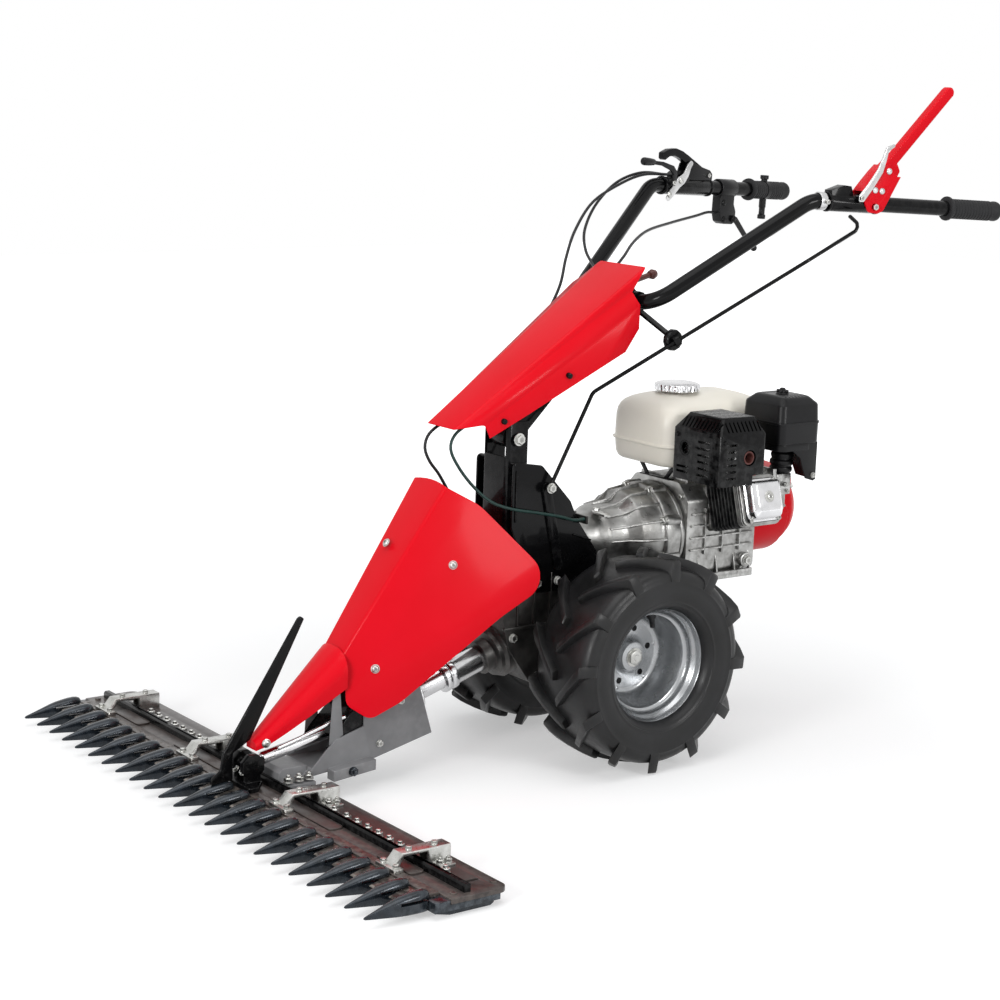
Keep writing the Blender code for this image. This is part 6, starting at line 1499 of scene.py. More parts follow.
for k in range(6):
    z = 0.499 + k * 0.0118
    tools.append(box((0.142, 0.172), (GUARD_Y[0] - 0.004, GUARD_Y[0] + 0.004), (z, z + 0.0042)))
    tools.append(box((GUARD_X[1] - 0.004, GUARD_X[1] + 0.004), (0.148, 0.17), (z, z + 0.0042)))
for k in range(2):
    tools.append(
        box((0.088, 0.118), (GUARD_Y[0] - 0.004, GUARD_Y[0] + 0.004),
            (0.499 + k * 0.009, 0.503 + k * 0.009)))
for radius, at, direction in ((0.0138, (0.108, GUARD_Y[0], 0.544), (0, 1, 0)),
                              (0.0142, (GUARD_X[1], 0.201, 0.535), (1, 0, 0))):
    disc = [(0, -0.006), (radius, -0.006), (radius, 0.006), (0, 0.006)]
    tools.append(turned(disc, at, direction, 28))
shell = cut_from(shell, joined(*tools))
clear = [leaned(s, t) for s, t in ((0.05, -0.12), (0.26, -0.12), (0.26, 0.0453), (0.05, 0.0453))]
shell = cut_from(shell, drawn([(p.x, p.z) for p in clear], "Y", CYLINDER_Y - 0.0453, CYLINDER_Y + 0.06))
stand("muffler_guard_box", edged(shell, 0.0004, 1, 40), black_paint, "tractor", "muffler_guard")
drum_outline = rounded([(GUARD_X[0] + 0.012, GUARD_Y[0] + 0.01), (GUARD_X[1] - 0.012, GUARD_Y[0] + 0.01),
                        (GUARD_X[1] - 0.012, 0.207), (GUARD_X[0] + 0.012, 0.207)], 0.014, 5)
drum = lofted([[(x, y, z) for x, y in drum_outline] for z in (0.493, 0.5, 0.564, 0.571)])
tube_end = turned(
    [(0.0094, 0), (0.0118, 0), (0.0118, 0.016), (0.0094, 0.016)], (GUARD_X[1] - 0.018, 0.201, 0.535),
    (1, 0, 0), 28)
stand("muffler_outlet", baked(shifted(tube_end)), brown_lacquer, "tractor")
stand("muffler_drum", edged(drum, 0.002, 3, 40), lever_silver, "tractor")
ring = [(0.01, -0.001), (0.0138, -0.001), (0.0138, 0.0012), (0.0126, 0.0022), (0.0108, 0.002),
        (0.01, 0.0008)]
mesh = baked(shifted(turned(ring, (0.108, GUARD_Y[0] + 0.002, 0.544), (0, -1, 0), 32)))
stand("guard_hole_ring", mesh, black_paint, "tractor")
spots = [((GUARD_X[0] + 0.012, GUARD_Y[0], 0.566), (0, -1, 0)), ((0.1885, GUARD_Y[0], 0.566), (0, -1, 0)),
         ((GUARD_X[1], 0.141, 0.566), (1, 0, 0))]
bolts("guard_screws", "tractor", black_paint, spots, hex_bolt(0.007, 0.0024, 0.0045))

# %% Carburettor and air cleaner
shapes = [box((0.12, 0.154), (0.315, 0.35), (0.45, 0.488)), box((0.114, 0.16), (0.3003, 0.3085),
        (0.44, 0.5)), box((0.116, 0.158), (0.308, 0.3155), (0.456, 0.484)),
          turned([(0, 0), (0.0178, 0), (0.0178, 0.003), (0.016, 0.0036), (0.016, 0.025), (0, 0.025)],
                 (0.136, 0.333, 0.426), (0, 0, 1), 32),
          turned([(0, 0), (0.012, 0), (0.0145, 0.004), (0.016, 0.012), (0, 0.012)], (0.136, 0.333, 0.418),
                 (0, 0, 1), 32), turned([(0, 0), (0.0045, 0), (0.0045, 0.01), (0, 0.01)],
        (0.154, 0.33, 0.47), (1, 0, 0), 18)]
stand("carburettor_body", edged(shapes, 0.0009, 2, 40), cast_alloy, "tractor", "carburettor")
spots = [((0.136, 0.333, 0.418), (0, 0, -1))]
bolts("bowl_bolt", "tractor", brass, spots, hex_bolt(0.01, 0.005, 0.007))
spots = [((0.164, 0.33, 0.47), (1, 0, 0)), ((0.154, 0.323, 0.456), (1, 0, 0)),
         ((0.154, 0.343, 0.456), (1, 0, 0)), ((0.16, 0.3044, 0.446), (1, 0, 0))]
bolts("carburettor_screws", "tractor", zinc_plate, spots, hex_bolt(0.006, 0.0026, 0.0036))
neck = [(0, 0), (0.0185, 0), (0.0205, 0.004), (0.0205, 0.009), (0.018, 0.012), (0.0215, 0.016),
        (0.0215, 0.021), (0.0185, 0.025), (0.021, 0.03), (0.021, 0.034), (0.018, 0.038), (0.018, 0.048),
        (0, 0.048)]
shapes = [turned(neck, (0.136, 0.34, 0.489), (0.04, 0.05, 1), 36),
          flat(rounded([(0.088, 0.292), (0.182, 0.292), (0.182, 0.378), (0.088, 0.378)], 0.018, 6), 0.534,
               0.548)]
skirt = [(0.318, 0.548), (0.326, 0.533), (0.344, 0.52), (0.354, 0.496), (0.36, 0.482), (0.38, 0.476),
         (0.385, 0.481), (0.385, 0.548)]
shapes.append(drawn(skirt, "X", 0.178, 0.1815))
shapes.append(
    drawn([(0.122, 0.548), (0.122, 0.498), (0.132, 0.48), (0.1815, 0.478), (0.1815, 0.548)], "Y", 0.3815,
          0.385))
stand("cleaner_elbow", edged(shapes, 0.0012, 2, 40), black_plastic, "tractor", "cleaner_base")
bolts("skirt_bolt", "tractor", zinc_plate, [((0.1815, 0.377, 0.487), (1, 0, 0))],
      hex_bolt(0.008, 0.003, 0.0052))
CLEANER_RINGS = [
    (0.5483, 0.0025, 0.02), (0.5492, 0.0015, 0.021), (0.583, 0.0012, 0.021), (0.5835, 0.0, 0.022),
    (0.5872, 0.0, 0.022), (0.5877, 0.0018, 0.021), (0.616, 0.0032, 0.02), (0.619, 0.0042, 0.02),
    (0.6285, 0.014, 0.017), (0.6305, 0.0165, 0.016), (0.632, 0.0215, 0.014)]


def cleaner_ring(z, inset, radius):
    """The air cleaner's outline at a height."""
    outline = rounded(
        [(0.08 + inset, 0.285 + inset), (0.19 - inset, 0.285 + inset), (0.19 - inset, 0.385 - inset),
         (0.08 + inset, 0.385 - inset)], radius * 0.62, 6)
    return [(x, y, z) for x, y in outline]


cover = lofted([cleaner_ring(*ring) for ring in CLEANER_RINGS])
tools = []
for row in range(8):
    for x in (0.106, 0.164):
        y = 0.308 + row * 0.0078
        slot = [(x - 0.0105, y - 0.003), (x + 0.0105, y + 0.0012), (x + 0.0105, y + 0.0034),
                (x - 0.0105, y - 0.0008)]
        tools.append(drawn(slot, "Z", 0.6306, 0.64))
cover = cut_from(cover, joined(*tools))
stand("cleaner_cover", edged(cover, 0.0007, 2, 34), black_plastic, "tractor", "air_cleaner")
knob = [turned([(0, 0), (0.012, 0), (0.0118, 0.0016), (0.0065, 0.003), (0.0055, 0.009), (0.004, 0.0108),
                (0, 0.0112)], (0.135, 0.335, 0.6316), (0, 0, 1), 28)]
for angle in (0.5, 0.5 + math.pi / 2):
    reach = Vector((math.cos(angle), math.sin(angle)))
    wide = Vector((-reach.y, reach.x)) * 0.0018
    middle = Vector((0.135, 0.335))
    wing = [tuple(middle + reach * a * 0.011 + wide * b) for a, b in ((-1, -1), (1, -1), (1, 1), (-1, 1))]
    knob.append(drawn(wing, "Z", 0.633, 0.6395))
stand("cleaner_knob", edged(knob, 0.0008, 2, 40), black_plastic, "tractor")
print("engine pieces made")

# %% Blower and recoil starter
low_arc = [(0.09 * math.cos(math.radians(a)), CRANK_Z + 0.087 * math.sin(math.radians(a)))
           for a in range(180, 361, 9)]
shroud = low_arc + rounded(
    [(0.09, 0.43), (0.094, 0.48), (-0.06, 0.49), (-0.09, 0.44)], [0.02, 0.025, 0.03, 0.03], 6)
shape = drawn(shroud, "Y", CASE_BACK + GAP, 0.412)
stand("blower_cowl", edged(shape, 0.007, 4, 40), red_enamel, "tractor", "blower_housing")
recoil = [(0, 0.4123), (0.078, 0.4123), (0.078, 0.429), (0.0765, 0.433), (0.069, 0.4455), (0.066, 0.448),
          (0.034, 0.4505), (0.031, 0.4515), (0.028, 0.452), (0, 0.452)]
shape = turned(recoil, (0, 0, CRANK_Z), (0, 1, 0), 72)
tools = []
for k in range(18):
    angle = 2 * math.pi * k / 18
    for radius, half in ((0.0565, 0.0075), (0.0415, 0.0045)):
        centre = Vector((radius * math.cos(angle), radius * math.sin(angle) + CRANK_Z))
        along = Vector((math.cos(angle + 0.45), math.sin(angle + 0.45)))
        wide = Vector((-along.y, along.x)) * 0.0022
        slot = [tuple(centre + along * half * a + wide * b) for a, b in ((-1, -1), (1, -1), (1, 1),
                (-1, 1))]
        tools.append(drawn(slot, "Y", 0.44, 0.46))
shape = cut_from(shape, joined(*tools))
stub = turned(
    [(0, 0), (0.01, 0), (0.01, 0.02), (0.0085, 0.025), (0, 0.025)], (-0.052, 0.44, 0.445), (0, 0, 1), 28)
stand("starter_cowl", edged([shape, stub], 0.0006, 2, 40), red_enamel, "tractor", "recoil_starter")
spots = []
for angle in (35, 155, 275):
    turn_at = math.radians(angle)
    spots.append(
        ((0.072 * math.cos(turn_at), 0.44, CRANK_Z + 0.072 * math.sin(turn_at)),
         (0.55 * math.cos(turn_at), 0.84, 0.55 * math.sin(turn_at))))
spots.append(((0, 0.452, CRANK_Z), (0, 1, 0)))
bolts("starter_screws", "tractor", zinc_plate, spots, M6)
spots = [((x, 0.412, z), (0, 1, 0))
         for x, z in ((-0.062, 0.352), (0.062, 0.352), (0.08, 0.465), (-0.06, 0.474))]
bolts("cowl_screws", "tractor", zinc_plate, spots, M6)
stem = [(0, 0), (0.006, 0), (0.006, 0.013), (0.005, 0.015), (0, 0.015)]
grip_bar = [(0, -0.028), (0.005, -0.0276), (0.0072, -0.025), (0.0075, -0.02), (0.0062, -0.008),
            (0.0062, 0.008), (0.0075, 0.02), (0.0072, 0.025), (0.005, 0.0276), (0, 0.028)]
grip = [turned(stem, (-0.052, 0.44, 0.4703), (0, 0, 1), 20),
        turned(grip_bar, (-0.052, 0.44, 0.488), (1, 0, 0), 24)]
stand("pull_handle", baked(shifted(joined(*grip))), grip_rubber, "starter_grip", "starter_grip")

# %% [markdown]
# ## Handlebar and its controls
# One bent tube runs from the left grip through the clamp to the right grip, so it is a round bar along
# straight runs and arcs. The levers are pressed or cast to slim shapes with round edges, drawn in the
# handle's own axes, and each one turns on a bolt.

# %% Handlebar tube, sleeves and clamp
HINGE = Vector((-0.184, 0.571))
ARM_ALONG = Vector((math.cos(math.radians(45)), math.sin(math.radians(45))))
clamp_at = HINGE + ARM_ALONG * 0.325
TUBE_RADIUS = 0.0135
GRIP_RIBS = 13
GRIP_LENGTH = 0.118
low_end = (0.105, clamp_at.x, clamp_at.y)
run = (HANDLE_END - HANDLE_BEND).normalized()
left_half = bent_route([(0, *low_end[1:]), low_end, HANDLE_BEND, HANDLE_END - run * 0.006], 0.055, 14)
whole = [Vector((-p.x, p.y, p.z)) for p in reversed(left_half[1:])] + left_half
stand("handlebar_tube", baked(shifted(bar(whole, TUBE_RADIUS, 32, 0.1))), black_paint, "tractor",
      "handlebar")
for word, side in SIDES:
    start = HANDLE_RUN - GRIP_LENGTH
    end = HANDLE_RUN - 0.0004
    profile = [(0.0139, start), (0.019, start), (0.0214, start + 0.0015), (0.0218, start + 0.0035),
               (0.0214, start + 0.0058), (0.0184, start + 0.0085), (0.0174, start + 0.012)]
    for k in range(GRIP_RIBS):
        y = start + 0.014 + k * 0.0066
        profile += [(0.0168, y), (0.0178, y + 0.0012), (0.0178, y + 0.0042), (0.0168, y + 0.0054)]
    profile += [(0.0172, end - 0.012), (0.0178, end - 0.01), (0.0178, end - 0.005), (0.0168, end - 0.0016),
                (0.014, end - 0.0002), (0, end)]
    shape = turned(profile, (0, 0, 0), (0, 1, 0), 48)
    stand(f"grip_{word}_sleeve", baked(to_handle(shape, side)), grip_rubber, "tractor", f"grip_{word}")
collars = []
for side, places in ((1, ((0.03, 0.004), (0.134, 0.004))), (-1, ((0.027, 0.004), (0.162, 0.004)))):
    for y, wide in places:
        ring = [(0.0139, y), (0.0172, y), (0.0176, y + 0.0006), (0.0176, y + wide),
                (0.0172, y + wide + 0.0006), (0.0139, y + wide + 0.0006)]
        collars.append(to_handle(turned(ring, (0, 0, 0), (0, 1, 0), 40), side))
stand("sleeve_collars", baked(joined(*collars)), black_paint, "tractor")
ring = [(0.0138, 0.012), (0.0158, 0.012), (0.016, 0.0125), (0.016, 0.0245), (0.0158, 0.025),
        (0.0138, 0.025)]
ear = box((0.012, 0.0215), (0.0145, 0.0225), (-0.003, 0.003))
stand("steel_band", baked(to_handle(joined(turned(ring, (0, 0, 0), (0, 1, 0), 40), ear), 1),
                          rounding(0.0004, 1, 40)), lever_silver, "tractor")
bolts("band_screw", "tractor", zinc_plate, [facing_x(1, 0.0218, 0.0185, 0.0)],
      hex_bolt(0.007, 0.003, 0.0046))


# %% Levers
def plate_in(outline, low, high, side, corner):
    """A lever plate with rounded corners from an outline in the handle's (y, z), between two sides."""
    return to_handle(drawn(rounded(outline, corner, 4), "X", low, high), side)


ROUND_HEAD = baked(
    turned([(0, 0), (0.006, 0), (0.0058, 0.0012), (0.0045, 0.0026), (0.002, 0.0032), (0, 0.0033)],
           steps=22))
brake_blade = [
    (0.0225, 0.05), (0.028, 0.047), (0.04, 0.0545), (0.056, 0.0565), (0.074, 0.0515), (0.092, 0.0435),
    (0.14, 0.0215), (0.153, 0.0165), (0.16, 0.0205), (0.159, 0.0285), (0.12, 0.047), (0.098, 0.0575),
    (0.078, 0.066), (0.058, 0.0705), (0.04, 0.0685), (0.022, 0.061)]
shape = plate_in(brake_blade, -0.0062, 0.0062, -1, 0.003)
stand("brake_handle", baked(shape, rounding(0.003, 4, 34)), black_paint, "brake_lever", "brake_lever")
cheek = [(0.08, 0.013), (0.166, 0.013), (0.166, 0.026), (0.158, 0.033), (0.125, 0.04), (0.1, 0.048),
         (0.09, 0.044)]
cheeks = [plate_in(cheek, *span(side, 0.0074, 0.0112), -1, 0.004) for side in (-1, 1)]
stand("brake_cheeks", baked(joined(*cheeks), rounding(0.0012, 2, 34)), black_plastic, "tractor")
bolts("brake_pin", "tractor", zinc_plate, [facing_x(-1, 0.0114, 0.154, 0.023),
        facing_x(-1, -0.0114, 0.154, 0.023, -1)], hex_bolt(0.008, 0.0032))
throttle_arm = [
    (0.028, 0.0), (0.04, 0.0), (0.0445, 0.012), (0.044, 0.026), (0.033, 0.0375), (0.002, 0.044),
    (-0.03, 0.0455), (-0.03, 0.0385), (0.0, 0.0365), (0.026, 0.0285), (0.0335, 0.0215), (0.033, 0.012)]
arm = plate_in(throttle_arm, 0.0215, 0.0255, -1, 0.003)
knob = to_handle(
    turned([(0, -0.057), (0.0048, -0.0568), (0.007, -0.055), (0.0076, -0.051), (0.007, -0.036),
            (0.006, -0.026), (0.0044, -0.022), (0, -0.022)], (0.0235, 0, 0.0418), (0, 1, -0.02), 28), -1)
stand("throttle_strap", baked(joined(arm, knob), rounding(0.0007, 2, 40)), black_plastic, "throttle_lever",
      "throttle_lever")
silver_blade = [
    (0.0225, -0.026), (0.031, -0.029), (0.043, -0.02), (0.06, -0.003), (0.074, 0.006), (0.084, 0.02),
    (0.09, 0.036), (0.096, 0.044), (0.09, 0.05), (0.08, 0.042), (0.072, 0.026), (0.056, 0.017),
    (0.042, 0.002), (0.029, -0.013)]
shape = plate_in(silver_blade, 0.0176, 0.0204, -1, 0.0035)
stand("silver_strap", baked(shape, rounding(0.0008, 3, 40)), lever_silver, "silver_lever", "silver_lever")
bolts("silver_bolts", "silver_lever", zinc_plate, [facing_x(-1, 0.0204, 0.031, -0.0165),
        facing_x(-1, 0.0204, 0.062, 0.01)], ROUND_HEAD)
bolts("throttle_bolt", "tractor", zinc_plate, [facing_x(-1, 0.0268, 0.034, 0.006)], hex_bolt(0.008, 0.0024))
side_blade = [
    (0.23, -0.062), (0.235, -0.051), (0.248, -0.055), (0.276, -0.081), (0.3, -0.102), (0.306, -0.106),
    (0.3, -0.114), (0.294, -0.111), (0.268, -0.088), (0.244, -0.067)]
shape = plate_in(side_blade, 0.0118, 0.0148, -1, 0.003)
lean = Vector((0, 0.8, -0.6)).normalized()
knob = to_handle(
    turned([(0, -0.002), (0.0032, -0.0018), (0.0036, 0.003), (0.0062, 0.008), (0.0066, 0.012),
            (0.005, 0.015), (0, 0.016)], (0.0133, 0.302, -0.108), lean, 26), -1)
stand("side_strap", baked(joined(shape, knob), rounding(0.0006, 2, 40)), black_plastic, "side_lever",
      "side_lever")

# %% Clutch lever with its fork and latch
FORK_IN = 0.017
FORK_OUT = 0.021
fork_outline = [
    (0.108, -0.014), (0.093, 0.012), (0.113, 0.038), (0.128, 0.056), (0.1548, 0.0842), (0.162, 0.08),
    (0.1692, 0.0718), (0.176, 0.06), (0.14, -0.01), (0.128, -0.016)]
inner_cut = [(0.08, -0.03), (0.08, 0.02), (0.125, 0.023), (0.16, 0.045), (0.215, -0.03)]
shape = drawn(rounded(fork_outline, 0.006, 4), "X", -FORK_OUT, FORK_OUT)
shape = cut_from(shape, drawn(inner_cut, "X", -FORK_IN, FORK_IN))
for side in (-1, 1):
    ends = span(side, 0.0105, 0.04)
    shape = cut_from(
        shape, drawn([(0.138, 0.072), (0.161, 0.051), (0.19, 0.05), (0.19, 0.11), (0.138, 0.11)], "X",
                     *ends))
shape = cut_from(
    shape, turned([(0, -0.03), (0.0052, -0.03), (0.0052, 0.03), (0, 0.03)], (0, 0.1206, -0.004), (1, 0, 0),
                  24))
stand("clutch_fork", baked(to_handle(shape, 1), rounding(0.001, 2, 34)), red_enamel, "clutch_lever",
      "clutch_lever")
blade = [(0.147, 0.068), (0.1548, 0.0842), (0.2618, 0.2085), (0.2672, 0.213), (0.274, 0.212),
         (0.2785, 0.206), (0.278, 0.199), (0.1692, 0.0718), (0.16, 0.06)]
shape = drawn(
    rounded(blade, [0.003, 0.003, 0.004, 0.006, 0.006, 0.006, 0.004, 0.003, 0.003], 5), "X", -0.0088,
    0.0088)
stand("clutch_blade", baked(to_handle(shape, 1), rounding(0.005, 6, 34)), red_enamel, "clutch_lever")
spots = [facing_x(1, FORK_OUT, *place) for place in ((0.118, 0.025), (0.144, 0.059), (0.133, 0.024))]
spots += [facing_x(1, -FORK_OUT, y, z, -1) for y, z in ((0.118, 0.025), (0.144, 0.059))]
bolts("fork_bolts", "clutch_lever", lever_silver, spots, ROUND_HEAD)
spots = [facing_x(1, FORK_OUT + 0.002, 0.1206, -0.004), facing_x(1, -FORK_OUT - 0.002, 0.1206, -0.004, -1)]
bolts("fork_pin", "tractor", zinc_plate, spots, hex_bolt(0.01, 0.0036))
strap = [(0.083, 0.003), (0.0935, 0.0035), (0.112, 0.029), (0.1285, 0.056), (0.134, 0.078),
         (0.1365, 0.0935), (0.15, 0.1025), (0.148, 0.107), (0.131, 0.1005), (0.1265, 0.086), (0.117, 0.061),
         (0.099, 0.034), (0.083, 0.014)]
shape = plate_in(strap, FORK_OUT + 0.0011, FORK_OUT + 0.0039, 1, 0.003)
stand("latch_strap", baked(shape, rounding(0.0009, 3, 40)), lever_silver, "latch_lever", "latch_lever")
bolts("latch_bolt", "tractor", zinc_plate, [facing_x(1, FORK_OUT + 0.0052, 0.088, 0.01)],
      hex_bolt(0.008, 0.0026))

# %% Lever box, end post and guide
case = [(0.1985, -0.012), (0.1985, -0.048), (0.204, -0.064), (0.214, -0.069), (0.24, -0.069),
        (0.247, -0.06), (0.247, -0.044), (0.24, -0.03), (0.24, -0.012)]
shapes = [to_handle(drawn(rounded(case, 0.005, 4), "X", -0.011, 0.011), -1),
          to_handle(turned([(0.0139, 0.196), (0.0168, 0.1962), (0.0176, 0.1975), (0.0176, 0.2425),
                            (0.0168, 0.2438), (0.0139, 0.244)], (0, 0, 0), (0, 1, 0), 40), -1)]
stand("lever_box_case", baked(joined(*shapes), rounding(0.0014, 3, 34)), black_plastic, "tractor",
      "lever_box")
spots = [facing_x(-1, 0.011, 0.208, -0.028), facing_x(-1, 0.011, 0.212, -0.06),
         facing_x(-1, 0.015, 0.238, -0.058)]
bolts("box_screws", "tractor", black_paint, spots, ROUND_HEAD)
post_y = HANDLE_RUN - 0.066
collar = [(0.018, -0.006), (0.0186, -0.0052), (0.0186, 0.0052), (0.018, 0.006)]
upper = [(0, 0.015), (0.0062, 0.015), (0.0062, 0.0215), (0.0085, 0.022), (0.0085, 0.0285),
         (0.0078, 0.0295), (0, 0.0295)]
lower = [(0, 0.015), (0.007, 0.015), (0.007, 0.034), (0.006, 0.035), (0.006, 0.048), (0.008, 0.049),
         (0.008, 0.056), (0.007, 0.057), (0, 0.057)]
shapes = [turned(collar, (0, post_y, 0), (0, 1, 0), 40),
          turned(upper, (0, post_y, 0), (0, 0, 1), 28),
          turned(lower, (0, post_y, 0), (0, 0, -1), 28)]
stand("grip_post", baked(to_handle(joined(*shapes), -1), rounding(0.0005, 1, 40)), black_plastic, "tractor")

# %% [markdown]
# ## Column, bracket, gearbox and frame
# The column is a channel folded from thick plate and painted black. It stands between two plates with
# folded edges on the gearbox. The gearbox and the bell behind it are sand castings: round edges, ribs and a
# flange with a bolt in each ear. The mower's frame is a grey folded channel, bolted to the beam.

# %% Column and its bracket
OUTER = 0.034
COLUMN_Y = (-0.205, -0.16)
section = rounded(
    [(-OUTER, COLUMN_Y[0]), (OUTER, COLUMN_Y[0]), (OUTER, COLUMN_Y[1]), (OUTER - 0.004, COLUMN_Y[1]),
     (OUTER - 0.004, COLUMN_Y[0] + 0.004), (-OUTER + 0.004, COLUMN_Y[0] + 0.004),
     (-OUTER + 0.004, COLUMN_Y[1]), (-OUTER, COLUMN_Y[1])], [0.007, 0.007, 0.0006, 0.0006, 0.003, 0.003,
        0.0006, 0.0006], 5)
post = drawn(section, "Z", 0.351, 0.6)
post = cut_from(post, box((-OUTER + 0.004, OUTER - 0.004), (-0.22, -0.19), (0.54, 0.62)))
corner = [(-0.22, 0.576), (-0.22, 0.62), (-0.18, 0.62), (-0.206, 0.585)]
post = cut_from(post, drawn(corner, "X", -0.06, 0.06))
foot = drawn(
    rounded([(-0.045, -0.212), (0.045, -0.212), (0.045, -0.152), (-0.045, -0.152)], 0.006, 4), "Z", 0.3451,
    0.351)
gussets = [drawn([(-0.204, 0.35), (-0.156, 0.35), (-0.17, 0.39), (-0.19, 0.39)], "X",
                 *span(side, OUTER, OUTER + 0.004)) for side in (-1, 1)]
stand("column_channel", edged([post, foot, *gussets], 0.0008, 2, 34), black_paint, "tractor", "column")
PLATE = (0.0503, 0.0543)
PIN = (-0.133, 0.487)
edge = [(-0.204, 0.535), (-0.142, 0.525), (-0.077, 0.457), (-0.06, 0.422), (-0.014, 0.362), (-0.014, 0.3),
        (-0.15, 0.3), (-0.204, 0.42)]
edge = rounded(edge, [0.008, 0.012, 0.01, 0.004, 0.006, 0.006, 0.01, 0.01], 4)
shapes = []
for side in (-1, 1):
    shapes.append(drawn(edge, "X", *span(side, *PLATE)))
    folds = span(side, PLATE[1] - 0.016, PLATE[1] - 0.0005)
    for (y0, z0), (y1, z1) in (
            ((-0.199, 0.5335), (-0.145, 0.5246)), ((-0.137, 0.518), (-0.08, 0.459)),
            ((-0.0745, 0.451), (-0.0605, 0.423)), ((-0.056, 0.416), (-0.018, 0.366))):
        along = Vector((y1 - y0, z1 - z0)).normalized()
        inward = Vector((along.y, -along.x)) * 0.0035
        flange = [(y0, z0), (y1, z1), (y1 + inward.x, z1 + inward.y), (y0 + inward.x, z0 + inward.y)]
        shapes.append(drawn([(y, z - 0.0004) for y, z in flange], "X", *folds))
    rib = span(side, PLATE[1], PLATE[1] + 0.003)
    shapes.append(drawn([(-0.199, 0.43), (-0.196, 0.43), (-0.196, 0.52), (-0.199, 0.52)], "X", *rib))
    shapes.append(drawn([(-0.07, 0.396), (-0.03, 0.382), (-0.029, 0.385), (-0.069, 0.399)], "X", *rib))
shapes.append(box((-0.052, 0.052), (-0.15, -0.146), (0.444, 0.518)))
shapes.append(
    turned([(0, 0.052), (0.0045, 0.052), (0.0045, 0.0613), (0, 0.0613)], (0, *PIN), (1, 0, 0), 24))
stand("bracket_pressing", edged(shapes, 0.0012, 3, 34), black_paint, "tractor", "support_bracket")
bolts("hinge_bolts", "tractor", zinc_plate, on_sides(0.0408, HINGE), hex_bolt(0.015, 0.0064, 0.0112))
spots = [((0.0692, *PIN), (1, 0, 0)), ((-PLATE[1], *PIN), (-1, 0, 0))]
bolts("bracket_bolts", "tractor", zinc_plate, spots, hex_bolt(0.013, 0.0053, 0.0092))
spots = on_sides(PLATE[1], (-0.145, 0.318), (-0.1, 0.318), (-0.03, 0.318))
spots += [((side * 0.039, y, 0.351), (0, 0, 1)) for side in (-1, 1) for y in (-0.205, -0.159)]
bolts("column_bolts", "tractor", zinc_plate, spots, M8)

# %% Clutch bell and gearbox
BELL_AT = Vector((0, 0, 0.375))
EAR_CIRCLE = 0.085
profile = [(0, -0.0452), (0.046, -0.0452), (0.0464, -0.04), (0.048, -0.013), (0.051, -0.003),
           (0.0575, 0.009), (0.059, 0.016), (0.06, 0.048), (0.064, 0.057), (0.077, 0.069), (0.0795, 0.076),
           (0.082, 0.111), (0.083, 0.118), (0.088, 0.119), (0.0895, 0.123), (0.0895, 0.15), (0, 0.15)]
shapes = [turned(profile, BELL_AT, (0, 1, 0), 72)]
ear = [(0, 0.119), (0.0095, 0.119), (0.01, 0.124), (0.01, 0.15), (0, 0.15)]
for c, s in around(8, 22.5):
    shapes.append(turned(ear, BELL_AT + Vector((c, 0, s)) * EAR_CIRCLE, (0, 1, 0), 24))
for c, s in around(16)[:9]:
    outward = Vector((c, 0, s))
    across = Vector((-s, 0, c)) * 0.002
    rings = []
    for y, low, high in (
            (0.014, 0.04, 0.061), (0.048, 0.04, 0.066), (0.076, 0.04, 0.083), (0.12, 0.04, 0.0885)):
        foot_in = BELL_AT + outward * low + Vector((0, y, 0))
        foot_out = BELL_AT + outward * high + Vector((0, y, 0))
        rings.append([foot_in - across * 1.5, foot_in + across * 1.5, foot_out + across, foot_out - across])
    shapes.append(lofted(rings))
stand("clutch_bell", edged(shapes, 0.0012, 2, 34), cast_alloy, "tractor", "clutch_housing")
spots = [(BELL_AT + Vector((EAR_CIRCLE * c, 0.119, EAR_CIRCLE * s)), (0, -1, 0))
         for c, s in around(8, 22.5)]
bolts("bell_bolts", "tractor", zinc_plate, spots, M8)
# The gearbox takes the darker copy of the cast alloy, whose darkness is painted shade.
finer("gearbox", "gearbox_casting", cast_alloy_painted_shade, 0.003, 3)
spots = on_sides(0.0625, *[(0.053 * c, AXLE_Z + 0.053 * s) for c, s in around(6, 30)])
spots += on_sides(
    0.05, (-0.19, 0.225), (-0.203, 0.29), (-0.16, 0.334), (0.04, 0.3), (0.048, 0.19), (-0.135, 0.15))
spots += on_sides(0.032, (-0.104, 0.42))
bolts("gearbox_bolts", "tractor", zinc_plate, spots, M8)
ribs = []
for side in (-1, 1):
    for y in (-0.185, -0.15, -0.115, 0.035):
        ribs.append(drawn([(y, 0.245), (y + 0.004, 0.245), (y + 0.004, 0.335), (y, 0.335)], "X",
                          *span(side, 0.0495, 0.0545)))
    ribs.append(drawn([(-0.213, 0.24), (0.056, 0.24), (0.056, 0.245), (-0.213, 0.245)], "X",
                      *span(side, 0.0495, 0.056)))
# The ribs share the gearbox's darker alloy with painted shade.
stand("gearbox_ribs", edged(ribs, 0.0012, 2, 34), cast_alloy_painted_shade, "tractor")

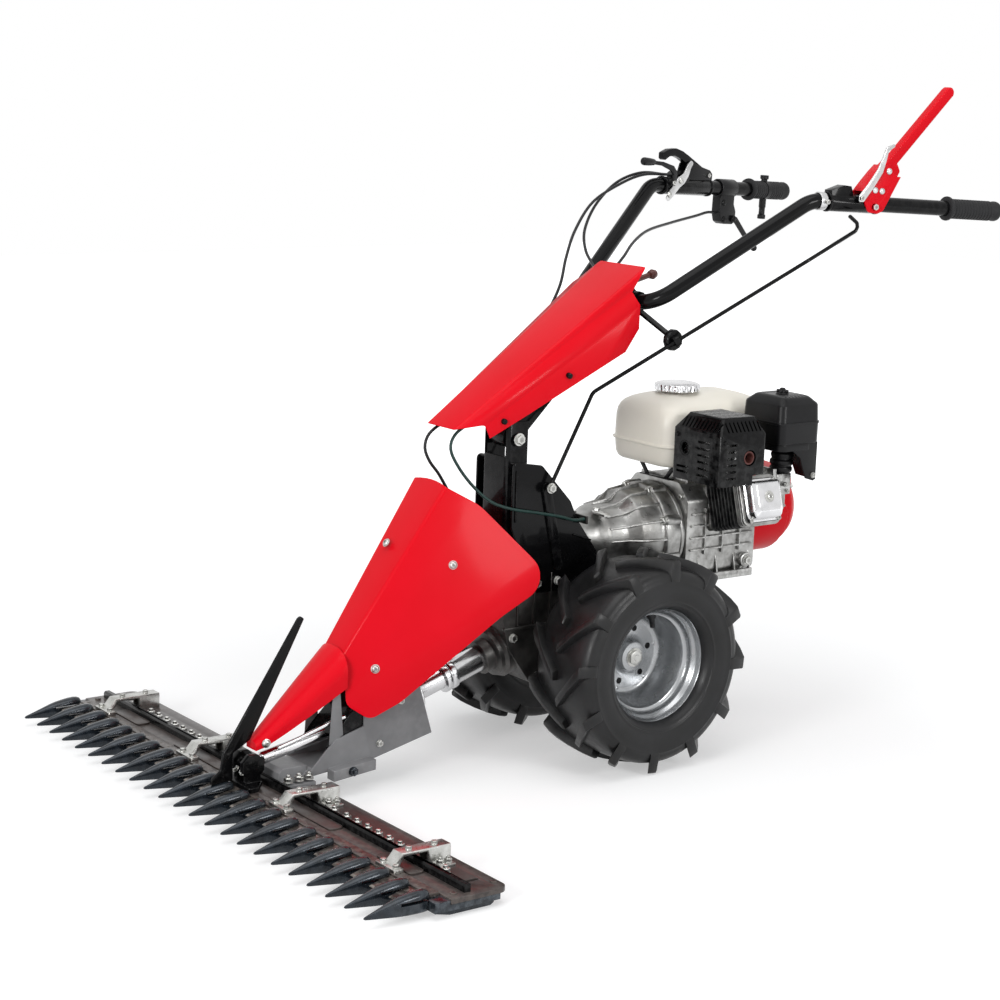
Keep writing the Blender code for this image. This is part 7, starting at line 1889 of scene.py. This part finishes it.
# %% Frame, coupling and knife head
finer("drive_frame", "frame_channel", frame_grey, 0.0016, 3)
# Painted shade: thin black sheets just inside the grey frame's walls, with a sloped roof between them, stand
# for the shade inside the channel.
cheek = [(-0.48, 0.163), (-0.544, 0.1), (-0.56, 0.082), (-0.52, 0.07), (-0.46, 0.09), (-0.44, 0.163)]
inner = [drawn(cheek, "X", *span(side, 0.0362, 0.0378)) for side in (-1, 1)]
roof = drawn([(-0.544, 0.101), (-0.48, 0.164), (-0.479, 0.1625), (-0.543, 0.0992)], "X", -0.0378, 0.0378)
stand("frame_lining", edged([*inner, roof], 0.0006, 1, 40), black_paint, "mower")
bolts("frame_bolts", "mower", zinc_plate, on_sides(0.0422, (-0.456, 0.076), (-0.415, 0.144)), M6)
bolts("tab_bolts", "mower", guard_steel, on_sides(0.0616, (-0.52, 0.043)),
      hex_bolt(0.013, 0.006, 0.008, 0.005))
spots = [((side * 0.05, y, 0.0403), (0, 0, 1)) for side in (-1, 1) for y in (-0.637, -0.617, -0.598)]
bolts("frame_foot_nuts", "mower", zinc_plate, spots, M8_NUT)
finer("coupling_tube", "coupling_sleeve", bright_steel, 0.001, 3)
rod_route = [(0.02, -0.64, 0.09), (0.023, -0.6, 0.102), (0.03, -0.54, 0.123), (0.033, -0.518, 0.129)]
stand("latch_rod",
      baked(shifted(bar(bent_route([Vector(p) for p in rod_route], 0.02, 6), 0.0035, 16, 0.4))),
      bright_steel, "mower")
finer("knife_head", "knife_head_forging", black_paint, 0.0016, 3)
spots = [((side * 0.0115, -0.699, 0.056), (0, -0.7, 0.7)) for side in (-1, 1)]
bolts("head_screws", "cutting_knife", zinc_plate, spots, M6)
finer("crop_stick", "crop_divider", black_paint, 0.0024, 4)

# %% [markdown]
# ## Finer copies of the linkage
# The small bars, clamps and rods that are left already have their true shape. Each gets a finer copy
# with broken edges, in the finish of its own material.

# %% Remaining nodes
for node, name, width in (
        ("drive_arm", "drive_arm_tube", 0.0006), ("shield_stay", "shield_brace", 0.0006),
        ("steering_arm", "steering_bar", 0.0015), ("handlebar_clamp", "clamp_jaws", 0.0015),
        ("lever_carrier", "lever_carrier_body", 0.001), ("brake_housing", "brake_housing_body", 0.001),
        ("control_rod", "control_rod_bar", 0.0003), ("rod_guide", "rod_guide_clip", 0.0008),
        ("strip_lever", "strip_link", 0.0005), ("lock_lever", "lock_handle", 0.0006),
        ("fork_lever", "fork_strap", 0.0006)):
    finer(node, name, width=width)
